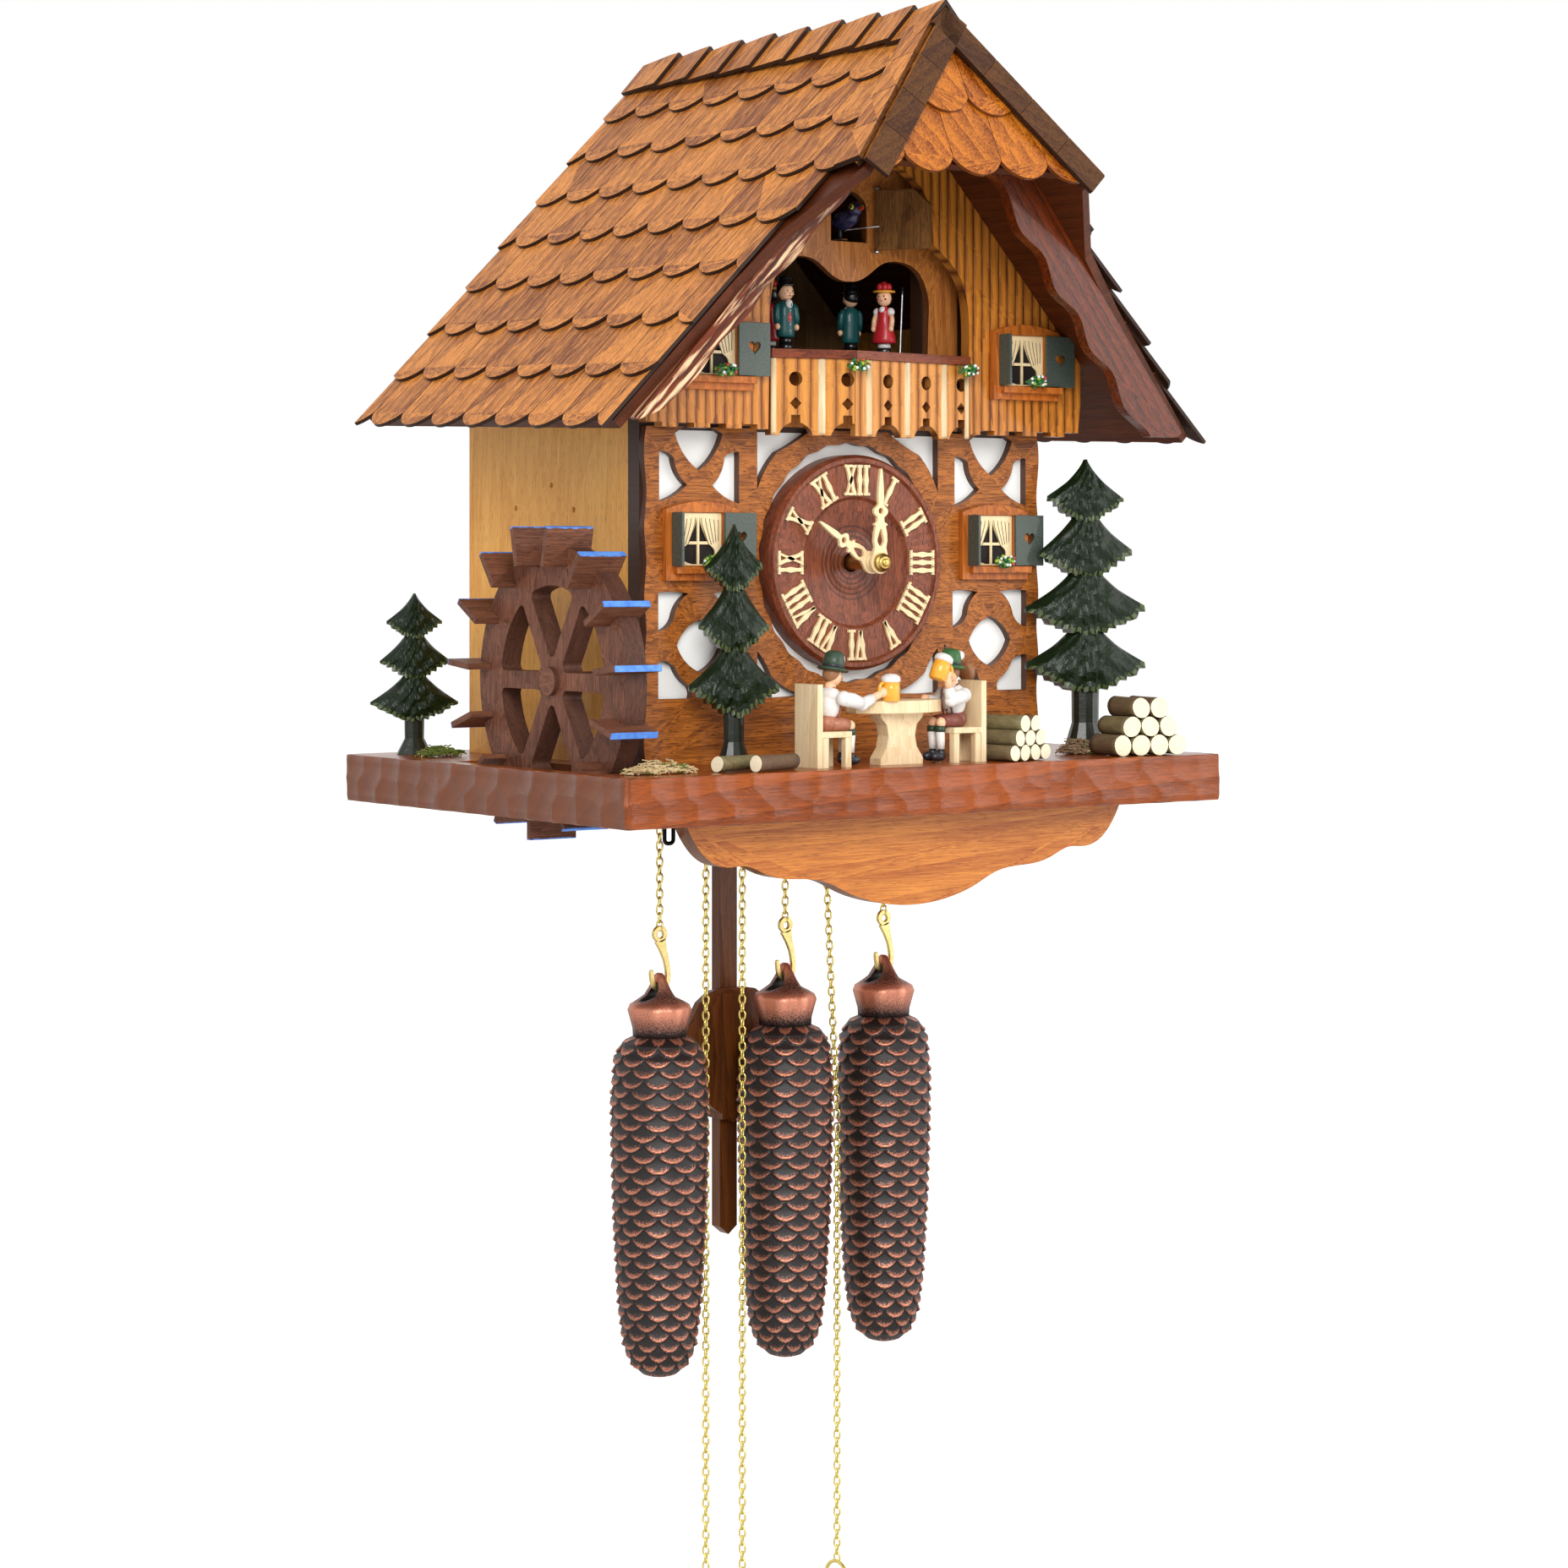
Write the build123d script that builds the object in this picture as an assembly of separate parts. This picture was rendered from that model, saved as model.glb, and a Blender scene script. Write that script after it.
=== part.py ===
"""A chalet cuckoo clock with dancers, a water wheel, two beer drinkers and three pine-cone weights.

Everything is drawn in the deck frame: x = 0 on the plane of symmetry, y = 0 on the wall, the front
towards -Y and z = 0 on top of the base board. save() then moves each node into the part's own frame,
whose origin is the hanging hole in the steel plate on the back frame.
"""
from build123d import *
from math import asin, atan2, cos, degrees, hypot, pi, radians, sin, sqrt, tan
import os

# ---------------------------------------------------------------- driving dimensions (millimetres)
# base board
DECK_HALF_WIDTH = 170.0
DECK_DEPTH = 241.5
DECK_THICKNESS = 22.0
DECK_CORNER_CUT = 3.0

# case
CASE_HALF_WIDTH = 114.0
CASE_FRONT = 171.0           # wall to the front of the fretwork
CASE_BACK_GAP = 21.0         # wall to the back frame
SIDE_THICKNESS = 8.0
FRONT_BOARD_THICKNESS = 9.0
FRET_THICKNESS = 4.0
BACK_FRAME_THICKNESS = 8.0
BACK_FRAME_RAIL = 24.0
BACK_PANEL_THICKNESS = 4.0
BACK_OPENING_TOP = 176.0
HANGER_HEIGHT = 250.0        # hanging hole above the deck
HANGER_HOLE_RADIUS = 4.0
HANGER_PLATE = (36.0, 24.0, 2.0)

# roof
RIDGE_HEIGHT = 338.0         # where the two shingled planes meet
EAVE_HEIGHT = 148.2
EAVE_HALF_WIDTH = 172.7
EAVE_TAPER = 7.2             # the eave stands in by this much at the wall
EAVE_FORWARD = 226.0
RIDGE_FORWARD = 240.0
HIP_CORNER_HALF_WIDTH = 67.0
HIP_CORNER_FORWARD = 270.0
VERGE_BENDS = ((243.0, 92.0), (236.0, 114.0))   # forward and sideways, between hip corner and eave
ROOF_BOARD_THICKNESS = 5.0
SHINGLE_WIDTH = 29.3
SHINGLE_THICKNESS = 1.8
SHINGLE_LENGTH = 46.0
SHINGLE_ROUNDING = 8.0
SHINGLE_GAP = 0.25
EAVE_OVERHANG = 8.0          # shingles past the roof board, down the slope
VERGE_OVERHANG = 4.0
SIDE_ROWS = 8
ROW_SHARE = 0.1198           # one row's exposure as a share of the slope
CAP_LENGTH = 30.0
CAP_WIDTH = 19.0
CAP_COUNT = 9
HIP_CAP_COUNT = 4
HIP_SHINGLE_WIDTH = 27.0
HIP_EXPOSURE = 30.8
HIP_OVERHANG = 3.5
HIP_EDGE_INSET = 8.0         # hip shingles start this far down the hip, clear of the side rows
VERGE_BOARD_DEPTH = 20.0
VERGE_BOARD_THICKNESS = 6.0
VERGE_BOARD_ENDS = ((243.0, 46.0), (227.0, 163.0))   # forward and sideways of its front face
VERGE_BOARD_FOOT = 150.0

# gable, balcony and stage
GABLE_FRONT = 188.0
GABLE_THICKNESS = 6.0
GABLE_HALF_WIDTH = 126.0
GABLE_BOTTOM = 150.5
STAGE_HALF_WIDTH = 46.0
STAGE_FLOOR_TOP = 184.2
STAGE_FLOOR_THICKNESS = 7.6
STAGE_FLOOR_BACK = 112.0
BALCONY_HALF_WIDTH = 57.2
BALCONY_CORNER = (-17.0, 198.0)   # the balcony's front comes to a blunt corner here
BALCONY_BAYS = (12.3, 37.8, 62.7, 87.8, 111.3)   # bay centres along the developed front
BALCONY_BOTTOM = 148.0
BALCONY_TOP = 182.8
BALCONY_THICKNESS = 4.0
RAIL_THICKNESS = 4.0
DANCER_AXIS = (-1.0, -157.0)
DANCER_DISC_RADIUS = 33.5
DANCER_DISC_THICKNESS = 3.0
DANCER_HEIGHT = 31.5
DANCERS = (("man", -32.0, -165.0, 0.0), ("woman", -30.0, -149.5, 180.0),
           ("man", 19.0, -147.0, 180.0), ("woman", 25.0, -165.0, -60.0))

# cuckoo
CUCKOO_HOLE = (-10.5, 10.0, 239.0, 262.5)
DOOR_WIDTH = 27.0
DOOR_HEIGHT = 27.6
DOOR_THICKNESS = 3.6
DOOR_HINGE_X = 14.5
DOOR_BOTTOM = 235.6
DOOR_OPEN_ANGLE = 118.0
HINGE_PIN_RADIUS = 0.7

# dial and hands
DIAL_RADIUS = 49.7
DIAL_CENTRE_HEIGHT = 90.6
DIAL_RIM_FRONT = 178.0
DIAL_RING_OPENING = (51.3, 55.0)
HOUR_HAND_FRONT = 189.0
MINUTE_HAND_FRONT = 195.0
HAND_THICKNESS = 2.0
HOUR_HAND_LENGTH = 35.0
MINUTE_HAND_LENGTH = 43.0
HOUR_ANGLE = 302.0
MINUTE_ANGLE = 0.8
ARBOR_RADIUS = 2.0
RUNNING_CLEARANCE = 0.05

# movement, chains and weights
MOVEMENT_FRONT = 136.0
MOVEMENT_BACK = 80.0
MOVEMENT_PLATE = 1.6
MOVEMENT_HALF_WIDTH = 82.0
MOVEMENT_BOTTOM = 26.0
MOVEMENT_TOP = 112.0
CHAIN_PLANE = 105.0
CHAIN_RADIUS = 1.9
SPROCKET_HEIGHT = 60.0
SPROCKET_RADIUS = 14.2       # pitch radius of the chain on the sprocket
SPROCKET_WIDTH = 10.4
# centre, side of the loaded run, plane of the free run, and how far that run leans at its top
SPROCKETS = {"left": (-47.0, -1, 102.0, 0.0),
             "middle": (-2.8, 1, 109.5, 0.0),
             "right": (56.6, 1, 105.0, -11.0)}
LEAN_START = -178.0          # the leaning run hangs straight below this height
WEIGHT_LOOP_TOP = -101.0
WEIGHT_BOTTOM = -290.0
WEIGHT_RADIUS = 24.0
CHAIN_END = -393.0           # lower end of the free chains
PULL_RING_RADIUS = 9.0
WEIGHT_DROP = 100.0          # how far the weights can still run down
WEIGHT_RISE = 20.0
HOOK_THICKNESS = 2.2
LUG_HOLE_HEIGHT = -111.0
LUG_HOLE_RADIUS = 3.6

# pendulum
PENDULUM_PLANE = 70.5
PENDULUM_PIVOT_HEIGHT = 112.0
PENDULUM_TIP = -234.7
PENDULUM_ROD = (10.0, 7.0)
BOB_CENTRE = -147.5
BOB_HEIGHT = 65.0
BOB_HALF_WIDTH = 29.5
BOB_THICKNESS = 4.0

# water wheel
WHEEL_CENTRE = (-143.0, -148.0, 38.0)
WHEEL_DISC_RADIUS = 61.0
WHEEL_DISC_THICKNESS = 5.0
WHEEL_PADDLE_RADIUS = 70.0
WHEEL_PADDLE_SPAN = (-17.0, 7.0)
WHEEL_PADDLE_THICKNESS = 2.8
WHEEL_PADDLE_INNER = 52.0
WHEEL_PADDLES = 15
WHEEL_WINDOWS = 6
WHEEL_WINDOW_RADII = (11.0, 42.5)
WHEEL_SPOKE = 8.0
WHEEL_HUB_RADIUS = 6.4
WHEEL_SLOT_MARGIN = 4.0
AXLE_RADIUS = 4.0

# apron under the base board
APRON_FRONT = 218.7
APRON_THICKNESS = 10.0
APRON_HALF_WIDTH = 124.0
APRON_DEPTH = 42.0           # its lowest point below the base board

# windows, table, trees, logs
WINDOW_WIDTH = 40.0
WINDOW_HEIGHT = 32.0
WINDOW_CROWN = 3.6
WINDOW_DEPTH = 3.0
SHUTTER_WIDTH = 17.2
SHUTTER_THICKNESS = 1.6
WINDOW_OPENING = (-14.4, 11.2, 6.6, 30.6)
LOWER_WINDOWS = ((-84.3, 82.5), (85.0, 82.5))
UPPER_WINDOWS = ((-88.8, 167.3), (90.0, 167.3))
TABLE_CENTRE = (-11.9, -222.0)
TABLE_TOP_HEIGHT = 29.0
TABLE_HALF_WIDTH = 24.0
TABLE_THICKNESS = 5.6
CHAIR_WIDTH = 17.0
CHAIR_SEAT_HEIGHT = 16.0
CHAIR_BACK_HEIGHT = 37.0
TREES = ((-143.7, -20.0, 76.0, 19.5, 3), (-78.7, -190.0, 107.7, 19.5, 3), (129.0, -188.0, 140.0, 28.5, 4))
TREE_DEPTH = 0.36            # depth of a tree as a share of its width
LOG_LENGTH = 23.0
LOG_PILES = ((54.8, -236.0, 13.0, 3.8), (127.0, -237.0, -9.5, 5.0))

SLIVER = 20.0                # cubic millimetres; smaller cut-offs are not kept
SEAT = 0.3                   # clearance between curved or soft neighbours
FIT = 0.1                    # clearance between flat fitted boards


# ---------------------------------------------------------------- helpers
def block(x_span, y_span, z_span):
    """An upright block between three pairs of limits."""
    size = [high - low for low, high in (x_span, y_span, z_span)]
    centre = [(high + low) / 2 for low, high in (x_span, y_span, z_span)]
    return Pos(*centre) * Box(*size)


def cylinder_between(start, end, radius):
    """A round bar from one point to another."""
    axis = Vector(*end) - Vector(*start)
    plane = Plane(origin=start, z_dir=axis)
    return extrude(plane * Circle(radius), axis.length)


def outline_face(edges):
    """A flat face inside a closed run of edges."""
    return make_face(Curve() + edges)


def arc_outline(corners, bulges):
    """Edges round the corners; a bulge is the rise of that side's arc, positive to its left."""
    edges = []
    for start, end, bulge in zip(corners, corners[1:] + corners[:1], bulges):
        run = Vector(*end) - Vector(*start)
        if abs(bulge) < 1e-6:
            edges.append(Line(start, end))
        else:
            middle = (Vector(*start) + Vector(*end)) / 2 + Vector(-run.Y, run.X).normalized() * bulge
            edges.append(ThreePointArc(start, (middle.X, middle.Y), end))
    return edges


def board(face, front, thickness):
    """A board drawn in x and z, whose front stands this far from the wall."""
    plane = Plane.XZ.offset(front - thickness)
    return extrude(plane * face, thickness)


def polygon(points):
    return make_face(Polyline(*points, close=True))


def save(name, *solids):
    """Write one node, moved so that the hanging hole is the origin."""
    pieces = []
    for shape in solids:
        pieces += shape.solids()
    to_hanger = Location((0, CASE_BACK_GAP, -HANGER_HEIGHT))
    pieces = [piece.moved(to_hanger) for piece in pieces]
    node = pieces[0] if len(pieces) == 1 else Compound(children=pieces)
    export_step(node, f"parts/{name}.step")


def mirrored(shape):
    return mirror(shape, about=Plane.YZ)


def common(shape, *others):
    """The solids a shape shares with all the others; slivers are dropped."""
    solids = shape.solids()
    for other in others:
        shared = [solid & other for solid in solids]
        solids = [part for piece in shared if piece for part in piece.solids()]
    return [solid for solid in solids if solid.volume > SLIVER]


# ---------------------------------------------------------------- roof geometry
ROOF_ANGLE = atan2(RIDGE_HEIGHT - EAVE_HEIGHT, EAVE_HALF_WIDTH)
SHINGLE_STACK = SHINGLE_THICKNESS * (1 + SHINGLE_LENGTH / (ROW_SHARE * EAVE_HALF_WIDTH / cos(ROOF_ANGLE)))
ROOF_UNDERSIDE = SHINGLE_STACK + ROOF_BOARD_THICKNESS
RIGHT_SLOPE = Plane(origin=(0, 0, RIDGE_HEIGHT), x_dir=(0, -1, 0),
                    z_dir=(sin(ROOF_ANGLE), 0, cos(ROOF_ANGLE)))
SLOPE_LENGTH = EAVE_HALF_WIDTH / cos(ROOF_ANGLE)
SLOPE_LENGTH_BACK = (EAVE_HALF_WIDTH - EAVE_TAPER) / cos(ROOF_ANGLE)
HIP_CORNER_SLOPE = HIP_CORNER_HALF_WIDTH / cos(ROOF_ANGLE)
HIP_CORNER_HEIGHT = RIDGE_HEIGHT - HIP_CORNER_SLOPE * sin(ROOF_ANGLE)


def underside(x):
    """Height of the roof boards' underside at a distance from the middle."""
    return RIDGE_HEIGHT - ROOF_UNDERSIDE / cos(ROOF_ANGLE) - abs(x) * tan(ROOF_ANGLE)


def slope_outline(verge_inset=0.0, ridge_inset=0.0, eave_inset=0.0):
    """The right roof side in (forward, down-slope) coordinates."""
    bends = [(forward - verge_inset, across / cos(ROOF_ANGLE)) for forward, across in VERGE_BENDS]
    return [(0, ridge_inset), (RIDGE_FORWARD - verge_inset, ridge_inset),
            (HIP_CORNER_FORWARD - verge_inset, HIP_CORNER_SLOPE), *bends,
            (EAVE_FORWARD - verge_inset, SLOPE_LENGTH - eave_inset), (0, SLOPE_LENGTH_BACK - eave_inset)]


def verge_forward(down_slope):
    """How far forward the roof reaches at a distance down the slope."""
    outline = slope_outline()[1:-1]
    for (near, low), (far, high) in zip(outline, outline[1:]):
        if down_slope <= high:
            return near + (far - near) * max(0.0, down_slope - low) / (high - low)
    return outline[-1][0]


def hip_plane():
    """The half hip's outer face: its origin is the ridge's front end, y down the slope, z outwards."""
    down = Vector(0, RIDGE_FORWARD - HIP_CORNER_FORWARD, HIP_CORNER_HEIGHT - RIDGE_HEIGHT).normalized()
    across = Vector(-1, 0, 0)
    return Plane(origin=(0, -RIDGE_FORWARD, RIDGE_HEIGHT), x_dir=across, z_dir=across.cross(down))


HIP_LENGTH = hypot(HIP_CORNER_FORWARD - RIDGE_FORWARD, RIDGE_HEIGHT - HIP_CORNER_HEIGHT)


# ---------------------------------------------------------------- carcass
def base_board():
    corners = [(-DECK_HALF_WIDTH, 0), (-DECK_HALF_WIDTH, DECK_CORNER_CUT - DECK_DEPTH),
               (DECK_CORNER_CUT - DECK_HALF_WIDTH, -DECK_DEPTH),
               (DECK_HALF_WIDTH - DECK_CORNER_CUT, -DECK_DEPTH),
               (DECK_HALF_WIDTH, DECK_CORNER_CUT - DECK_DEPTH), (DECK_HALF_WIDTH, 0)]
    deck = extrude(Plane.XY.offset(-DECK_THICKNESS) * polygon(corners), DECK_THICKNESS)
    through = (-DECK_THICKNESS - 1, 1)
    return deck - [block(*span, through) for span in deck_slots().values()]


def deck_slots():
    """The slots that the wheel, the chains and the pendulum pass through, as x and y limits."""
    wheel_x, wheel_y, wheel_z = WHEEL_CENTRE
    reach = sqrt(WHEEL_PADDLE_RADIUS ** 2 - wheel_z ** 2) + WHEEL_SLOT_MARGIN
    low, high = WHEEL_PADDLE_SPAN
    slots = {"wheel": ((wheel_x + low - WHEEL_SLOT_MARGIN, wheel_x + high + WHEEL_SLOT_MARGIN),
                       (wheel_y - reach, wheel_y + reach))}
    for name, (centre, _, plane, lean) in SPROCKETS.items():
        spread = SPROCKET_RADIUS + CHAIN_RADIUS + 3
        near, far = max(plane, CHAIN_PLANE), min(plane, CHAIN_PLANE)
        slots[name] = ((centre - spread + lean - (5 if lean else 0), centre + spread),
                       (-near - 5, -far + 5))
    swing = PENDULUM_ROD[0] / 2 + PENDULUM_PIVOT_HEIGHT * tan(radians(7)) + 3
    slots["pendulum"] = ((-swing, swing), (-PENDULUM_PLANE - 6, -PENDULUM_PLANE + 6))
    return slots


def case_side():
    """The right side board, cut to the roof at its top."""
    outer, inner = CASE_HALF_WIDTH, CASE_HALF_WIDTH - SIDE_THICKNESS
    profile = polygon([(inner, 0), (outer, 0), (outer, underside(outer) - FIT),
                       (inner, underside(inner) - FIT)])
    depth = CASE_FRONT - FRET_THICKNESS - FRONT_BOARD_THICKNESS - CASE_BACK_GAP
    side = board(profile, CASE_BACK_GAP + depth, depth)
    screw_holes = [cylinder_between((outer - 3, -y, z), (outer + 1, -y, z), 1.3)
                   for y, z in ((94, 126.2), (63, 116), (113, 114.7))]
    return side - screw_holes


def gable_face(half_width, bottom, top):
    """A board outline that fills the gable from bottom to top under the roof."""
    top_half = (underside(0) - FIT - top) / tan(ROOF_ANGLE)
    return polygon([(-half_width, bottom), (half_width, bottom), (half_width, underside(half_width) - FIT),
                    (top_half, top), (-top_half, top), (-half_width, underside(half_width) - FIT)])


def front_board():
    face = gable_face(CASE_HALF_WIDTH, 0, 282.0)
    face -= Pos(0, DIAL_CENTRE_HEIGHT) * Circle(9.0)
    left, right, low, high = CUCKOO_HOLE
    face -= Pos((left + right) / 2, (low + high) / 2) * Rectangle(right - left, high - low)
    floor_bottom = STAGE_FLOOR_TOP - STAGE_FLOOR_THICKNESS
    face -= Pos(0, (floor_bottom + 231.5) / 2) * Rectangle(2 * STAGE_HALF_WIDTH, 231.5 - floor_bottom)
    return board(face, CASE_FRONT - FRET_THICKNESS, FRONT_BOARD_THICKNESS)


def back_frame():
    face = gable_face(CASE_HALF_WIDTH - SIDE_THICKNESS - FIT, 0, 300.0)
    opening_half = CASE_HALF_WIDTH - SIDE_THICKNESS - BACK_FRAME_RAIL
    face -= Pos(0, (BACK_FRAME_RAIL + BACK_OPENING_TOP) / 2) * Rectangle(
        2 * opening_half, BACK_OPENING_TOP - BACK_FRAME_RAIL)
    frame = board(face, CASE_BACK_GAP + BACK_FRAME_THICKNESS, BACK_FRAME_THICKNESS)
    width, height, thickness = HANGER_PLATE
    pocket = block((-width / 2 - FIT, width / 2 + FIT), (-CASE_BACK_GAP - thickness, -CASE_BACK_GAP + 1),
                   (HANGER_HEIGHT - height / 2 - FIT, HANGER_HEIGHT + height / 2 + FIT))
    nail_room = Pos(0, -CASE_BACK_GAP, HANGER_HEIGHT) * Rot(90, 0, 0) * Cylinder(9.0, 40)
    return frame - pocket - nail_room


def hanger_plate():
    """Steel plate with the hanging hole, let in flush with the back of the frame."""
    width, height, thickness = HANGER_PLATE
    plate = block((-width / 2, width / 2), (-CASE_BACK_GAP - thickness, -CASE_BACK_GAP),
                  (HANGER_HEIGHT - height / 2, HANGER_HEIGHT + height / 2))
    hole = Pos(0, -CASE_BACK_GAP, HANGER_HEIGHT) * Rot(90, 0, 0) * Cylinder(HANGER_HOLE_RADIUS, 20)
    return plate - hole


def back_panel():
    """The removable cover over the movement: a flange behind the frame and a plug inside its opening."""
    opening_half = CASE_HALF_WIDTH - SIDE_THICKNESS - BACK_FRAME_RAIL
    flange = block((-opening_half - 6, opening_half + 6),
                   (-CASE_BACK_GAP, -CASE_BACK_GAP + BACK_PANEL_THICKNESS),
                   (BACK_FRAME_RAIL - 6, BACK_OPENING_TOP + 6))
    plug = block((-opening_half + SEAT, opening_half - SEAT), (-CASE_BACK_GAP - 3, -CASE_BACK_GAP),
                 (BACK_FRAME_RAIL + SEAT, BACK_OPENING_TOP - SEAT))
    sound_slots = [block((x - 2, x + 2), (-CASE_BACK_GAP - 5, -CASE_BACK_GAP + 6), (120, 156))
                   for x in range(-40, 41, 16)]
    return flange + plug - sound_slots


def apron():
    """The board under the front edge, with its wavy lower edge."""
    top = -DECK_THICKNESS
    half = [(APRON_HALF_WIDTH, -1), (118, -11), (110, -18), (101, -20.2), (93, -20), (82, -24), (72, -26.6),
            (60, -27.4), (48, -29.6), (37, -34.6), (24, -39), (0, -APRON_DEPTH)]
    lower = half + [(-x, z) for x, z in reversed(half[:-1])]
    wave = Spline(*[(x, top + z) for x, z in lower])
    edges = [wave, Line((-APRON_HALF_WIDTH, top - 1), (-APRON_HALF_WIDTH, top)),
             Line((-APRON_HALF_WIDTH, top), (APRON_HALF_WIDTH, top)),
             Line((APRON_HALF_WIDTH, top), (APRON_HALF_WIDTH, top - 1))]
    return board(outline_face(edges), APRON_FRONT, APRON_THICKNESS)


# ---------------------------------------------------------------- fretwork on the front
def wavy_ring(radius_x, radius_z, waves, height, centre_z):
    points = []
    steps = waves * 2
    for step in range(steps):
        angle = 2 * pi * step / steps
        grow = height * (1 if step % 2 else -1)
        points.append(((radius_x + grow) * cos(angle), centre_z + (radius_z + grow) * sin(angle)))
    return outline_face([Spline(*points, periodic=True)])


def fret_holes():
    """One side's cut-outs, as corner points and the rise of each side's arc."""
    return [
        ([(84.5, 132.0), (97.5, 148.5), (84.5, 156.0), (71.5, 148.5)], [2.0, 0, 0, 2.0]),          # kite
        ([(106.0, 118.0), (106.0, 140.4), (98.2, 137.6), (91.0, 125.5)], [0, 1, -1.5, 1.2]),       # petals
        ([(62.4, 117.3), (77.2, 125.4), (70.5, 138.0), (62.4, 140.4)], [1.2, -1.5, 1, 0]),
        ([(106.5, 60.0), (106.5, 77.2), (90.0, 76.8), (98.0, 66.0)], [0, 0.6, -1.5, 1.5]),
        ([(61.2, 60.0), (70.0, 66.0), (76.5, 76.6), (61.2, 77.2)], [1.5, -1.5, 0.6, 0]),
        ([(83.8, 41.3), (96.5, 53.6), (83.8, 65.0), (71.0, 53.6)], [2.0, 2.0, 2.0, 2.0]),          # diamond
        ([(106.5, 29.7), (106.5, 46.5), (97.5, 44.0), (90.0, 35.5), (88.6, 29.7)], [0, 1, -1, 1, 0]),
        ([(61.2, 29.7), (79.0, 29.7), (77.0, 35.5), (70.0, 44.0), (61.2, 46.5)], [0, 0, 1, -1, 1]),
        ([(52.3, 29.5), (52.3, 50.5), (44.5, 39.0), (27.0, 29.9)], [0, 0.6, -1.2, 0.6]),   # by the ring
        ([(52.3, 123.5), (52.3, 151.5), (22.0, 151.5), (41.0, 141.0)], [0, 0, 0.6, -1.2]),
    ]


def half_timber():
    """The brown fretted board over the white front; its upright edges are wavy."""
    half, top = CASE_HALF_WIDTH - 0.6, GABLE_BOTTOM + 1.0
    heights = [top * step / 10 for step in range(11)]
    right = Spline(*[(half + (0.6 if step % 2 else -0.6), z) for step, z in enumerate(heights)])
    left = Spline(*[(-half - (0.6 if step % 2 else -0.6), z) for step, z in enumerate(heights)])
    face = outline_face([right, left, Line(left @ 0, right @ 0), Line(left @ 1, right @ 1)])
    face -= wavy_ring(*DIAL_RING_OPENING, 26, 0.45, DIAL_CENTRE_HEIGHT)
    for corners, bulges in fret_holes():
        hole = outline_face(arc_outline(corners, [-b for b in bulges]))
        face -= hole
        face -= mirror(hole, about=Plane.YZ)
    return board(face, CASE_FRONT, FRET_THICKNESS)


# ---------------------------------------------------------------- gable, stage and balcony
def gable_board():
    apex = underside(0) - SEAT
    half = GABLE_HALF_WIDTH
    steps = []
    for step in range(8):
        x = half - 1.5 - step * 8.6
        low = GABLE_BOTTOM + (0 if step % 2 else 2.0)
        steps += [(x, low), (x - 8.6, low)]
    right = [(0, apex), (half, underside(half) - SEAT), (half, 166), (half - 1.5, GABLE_BOTTOM + 3)] + steps
    outline = right + [(-x, z) for x, z in reversed(right[1:])]
    face = polygon(outline)
    low_curve = Spline((57.5, 190), (57, 208), (52.5, 223.3), (43.4, 232.8), (36.3, 238))
    top_curve = Spline((36.3, 238), (34.5, 250.6), (30.9, 261.6), (22, 270), (0, 274))
    edges = [low_curve, top_curve, Line((58.4, 140), (57.5, 190)), Line((0, 140), (58.4, 140)),
             Line((0, 140), (0, 274))]
    opening = outline_face(edges)
    face -= opening
    face -= mirror(opening, about=Plane.YZ)
    return board(face, GABLE_FRONT, GABLE_THICKNESS)


def stage_arch():
    """The inner board with the double arch and the cuckoo's hole, behind the gable board's opening."""
    face = gable_face(64.0, GABLE_BOTTOM + 2.0, 280.0)
    half, low = STAGE_HALF_WIDTH, STAGE_FLOOR_TOP - STAGE_FLOOR_THICKNESS
    arch = [Line((0, low), (half, low)), Line((half, low), (half + 0.8, 206)),
            Spline((half + 0.8, 206), (half, 217), (39.5, 227.6), (29, 231), (19.5, 229.6), (12.5, 225),
                   (0, 220.6)),
            Line((0, 220.6), (0, low))]
    opening = outline_face(arch)
    face -= opening
    face -= mirror(opening, about=Plane.YZ)
    left, right, bottom, top = CUCKOO_HOLE
    crown = ThreePointArc((left, top - 7), ((left + right) / 2, top), (right, top - 7))
    hole = [crown, Line((right, top - 7), (right, bottom)), Line((right, bottom), (left, bottom)),
            Line((left, bottom), (left, top - 7))]
    face -= outline_face(hole)
    return board(face, CASE_FRONT, FRET_THICKNESS)


def balcony_plan(out):
    """The balcony front's plan, moved outwards: its left end, its corner and its right end."""
    corner_x, corner_y = BALCONY_CORNER
    half = BALCONY_HALF_WIDTH
    run_y = corner_y - GABLE_FRONT
    left_turn, right_turn = atan2(run_y, corner_x + half), atan2(run_y, half - corner_x)
    spread = (left_turn + right_turn) / 2
    stretch = out / cos(spread)
    lean = (right_turn - left_turn) / 2
    corner = (corner_x + stretch * sin(lean), -corner_y - stretch * cos(lean))
    return [(-half, -GABLE_FRONT - out / cos(left_turn)), corner,
            (half, -GABLE_FRONT - out / cos(right_turn))]


def stage_floor():
    inner_half = STAGE_HALF_WIDTH - SEAT
    front_half = 57.5 - SEAT
    left, corner, right = balcony_plan(-BALCONY_THICKNESS - FIT)
    plan = [(inner_half, -STAGE_FLOOR_BACK), (inner_half, -CASE_FRONT - FIT),
            (front_half, -CASE_FRONT - FIT),
            (front_half, right[1])]
    points = plan + [corner, (-front_half, left[1])] + [(-x, y) for x, y in reversed(plan[:-1])]
    floor_board = extrude(Plane.XY.offset(STAGE_FLOOR_TOP - STAGE_FLOOR_THICKNESS) * polygon(points),
                          STAGE_FLOOR_THICKNESS)
    bearing = Pos(*DANCER_AXIS, STAGE_FLOOR_TOP) * Cylinder(3.0 + RUNNING_CLEARANCE, 40)
    return floor_board - bearing


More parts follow.
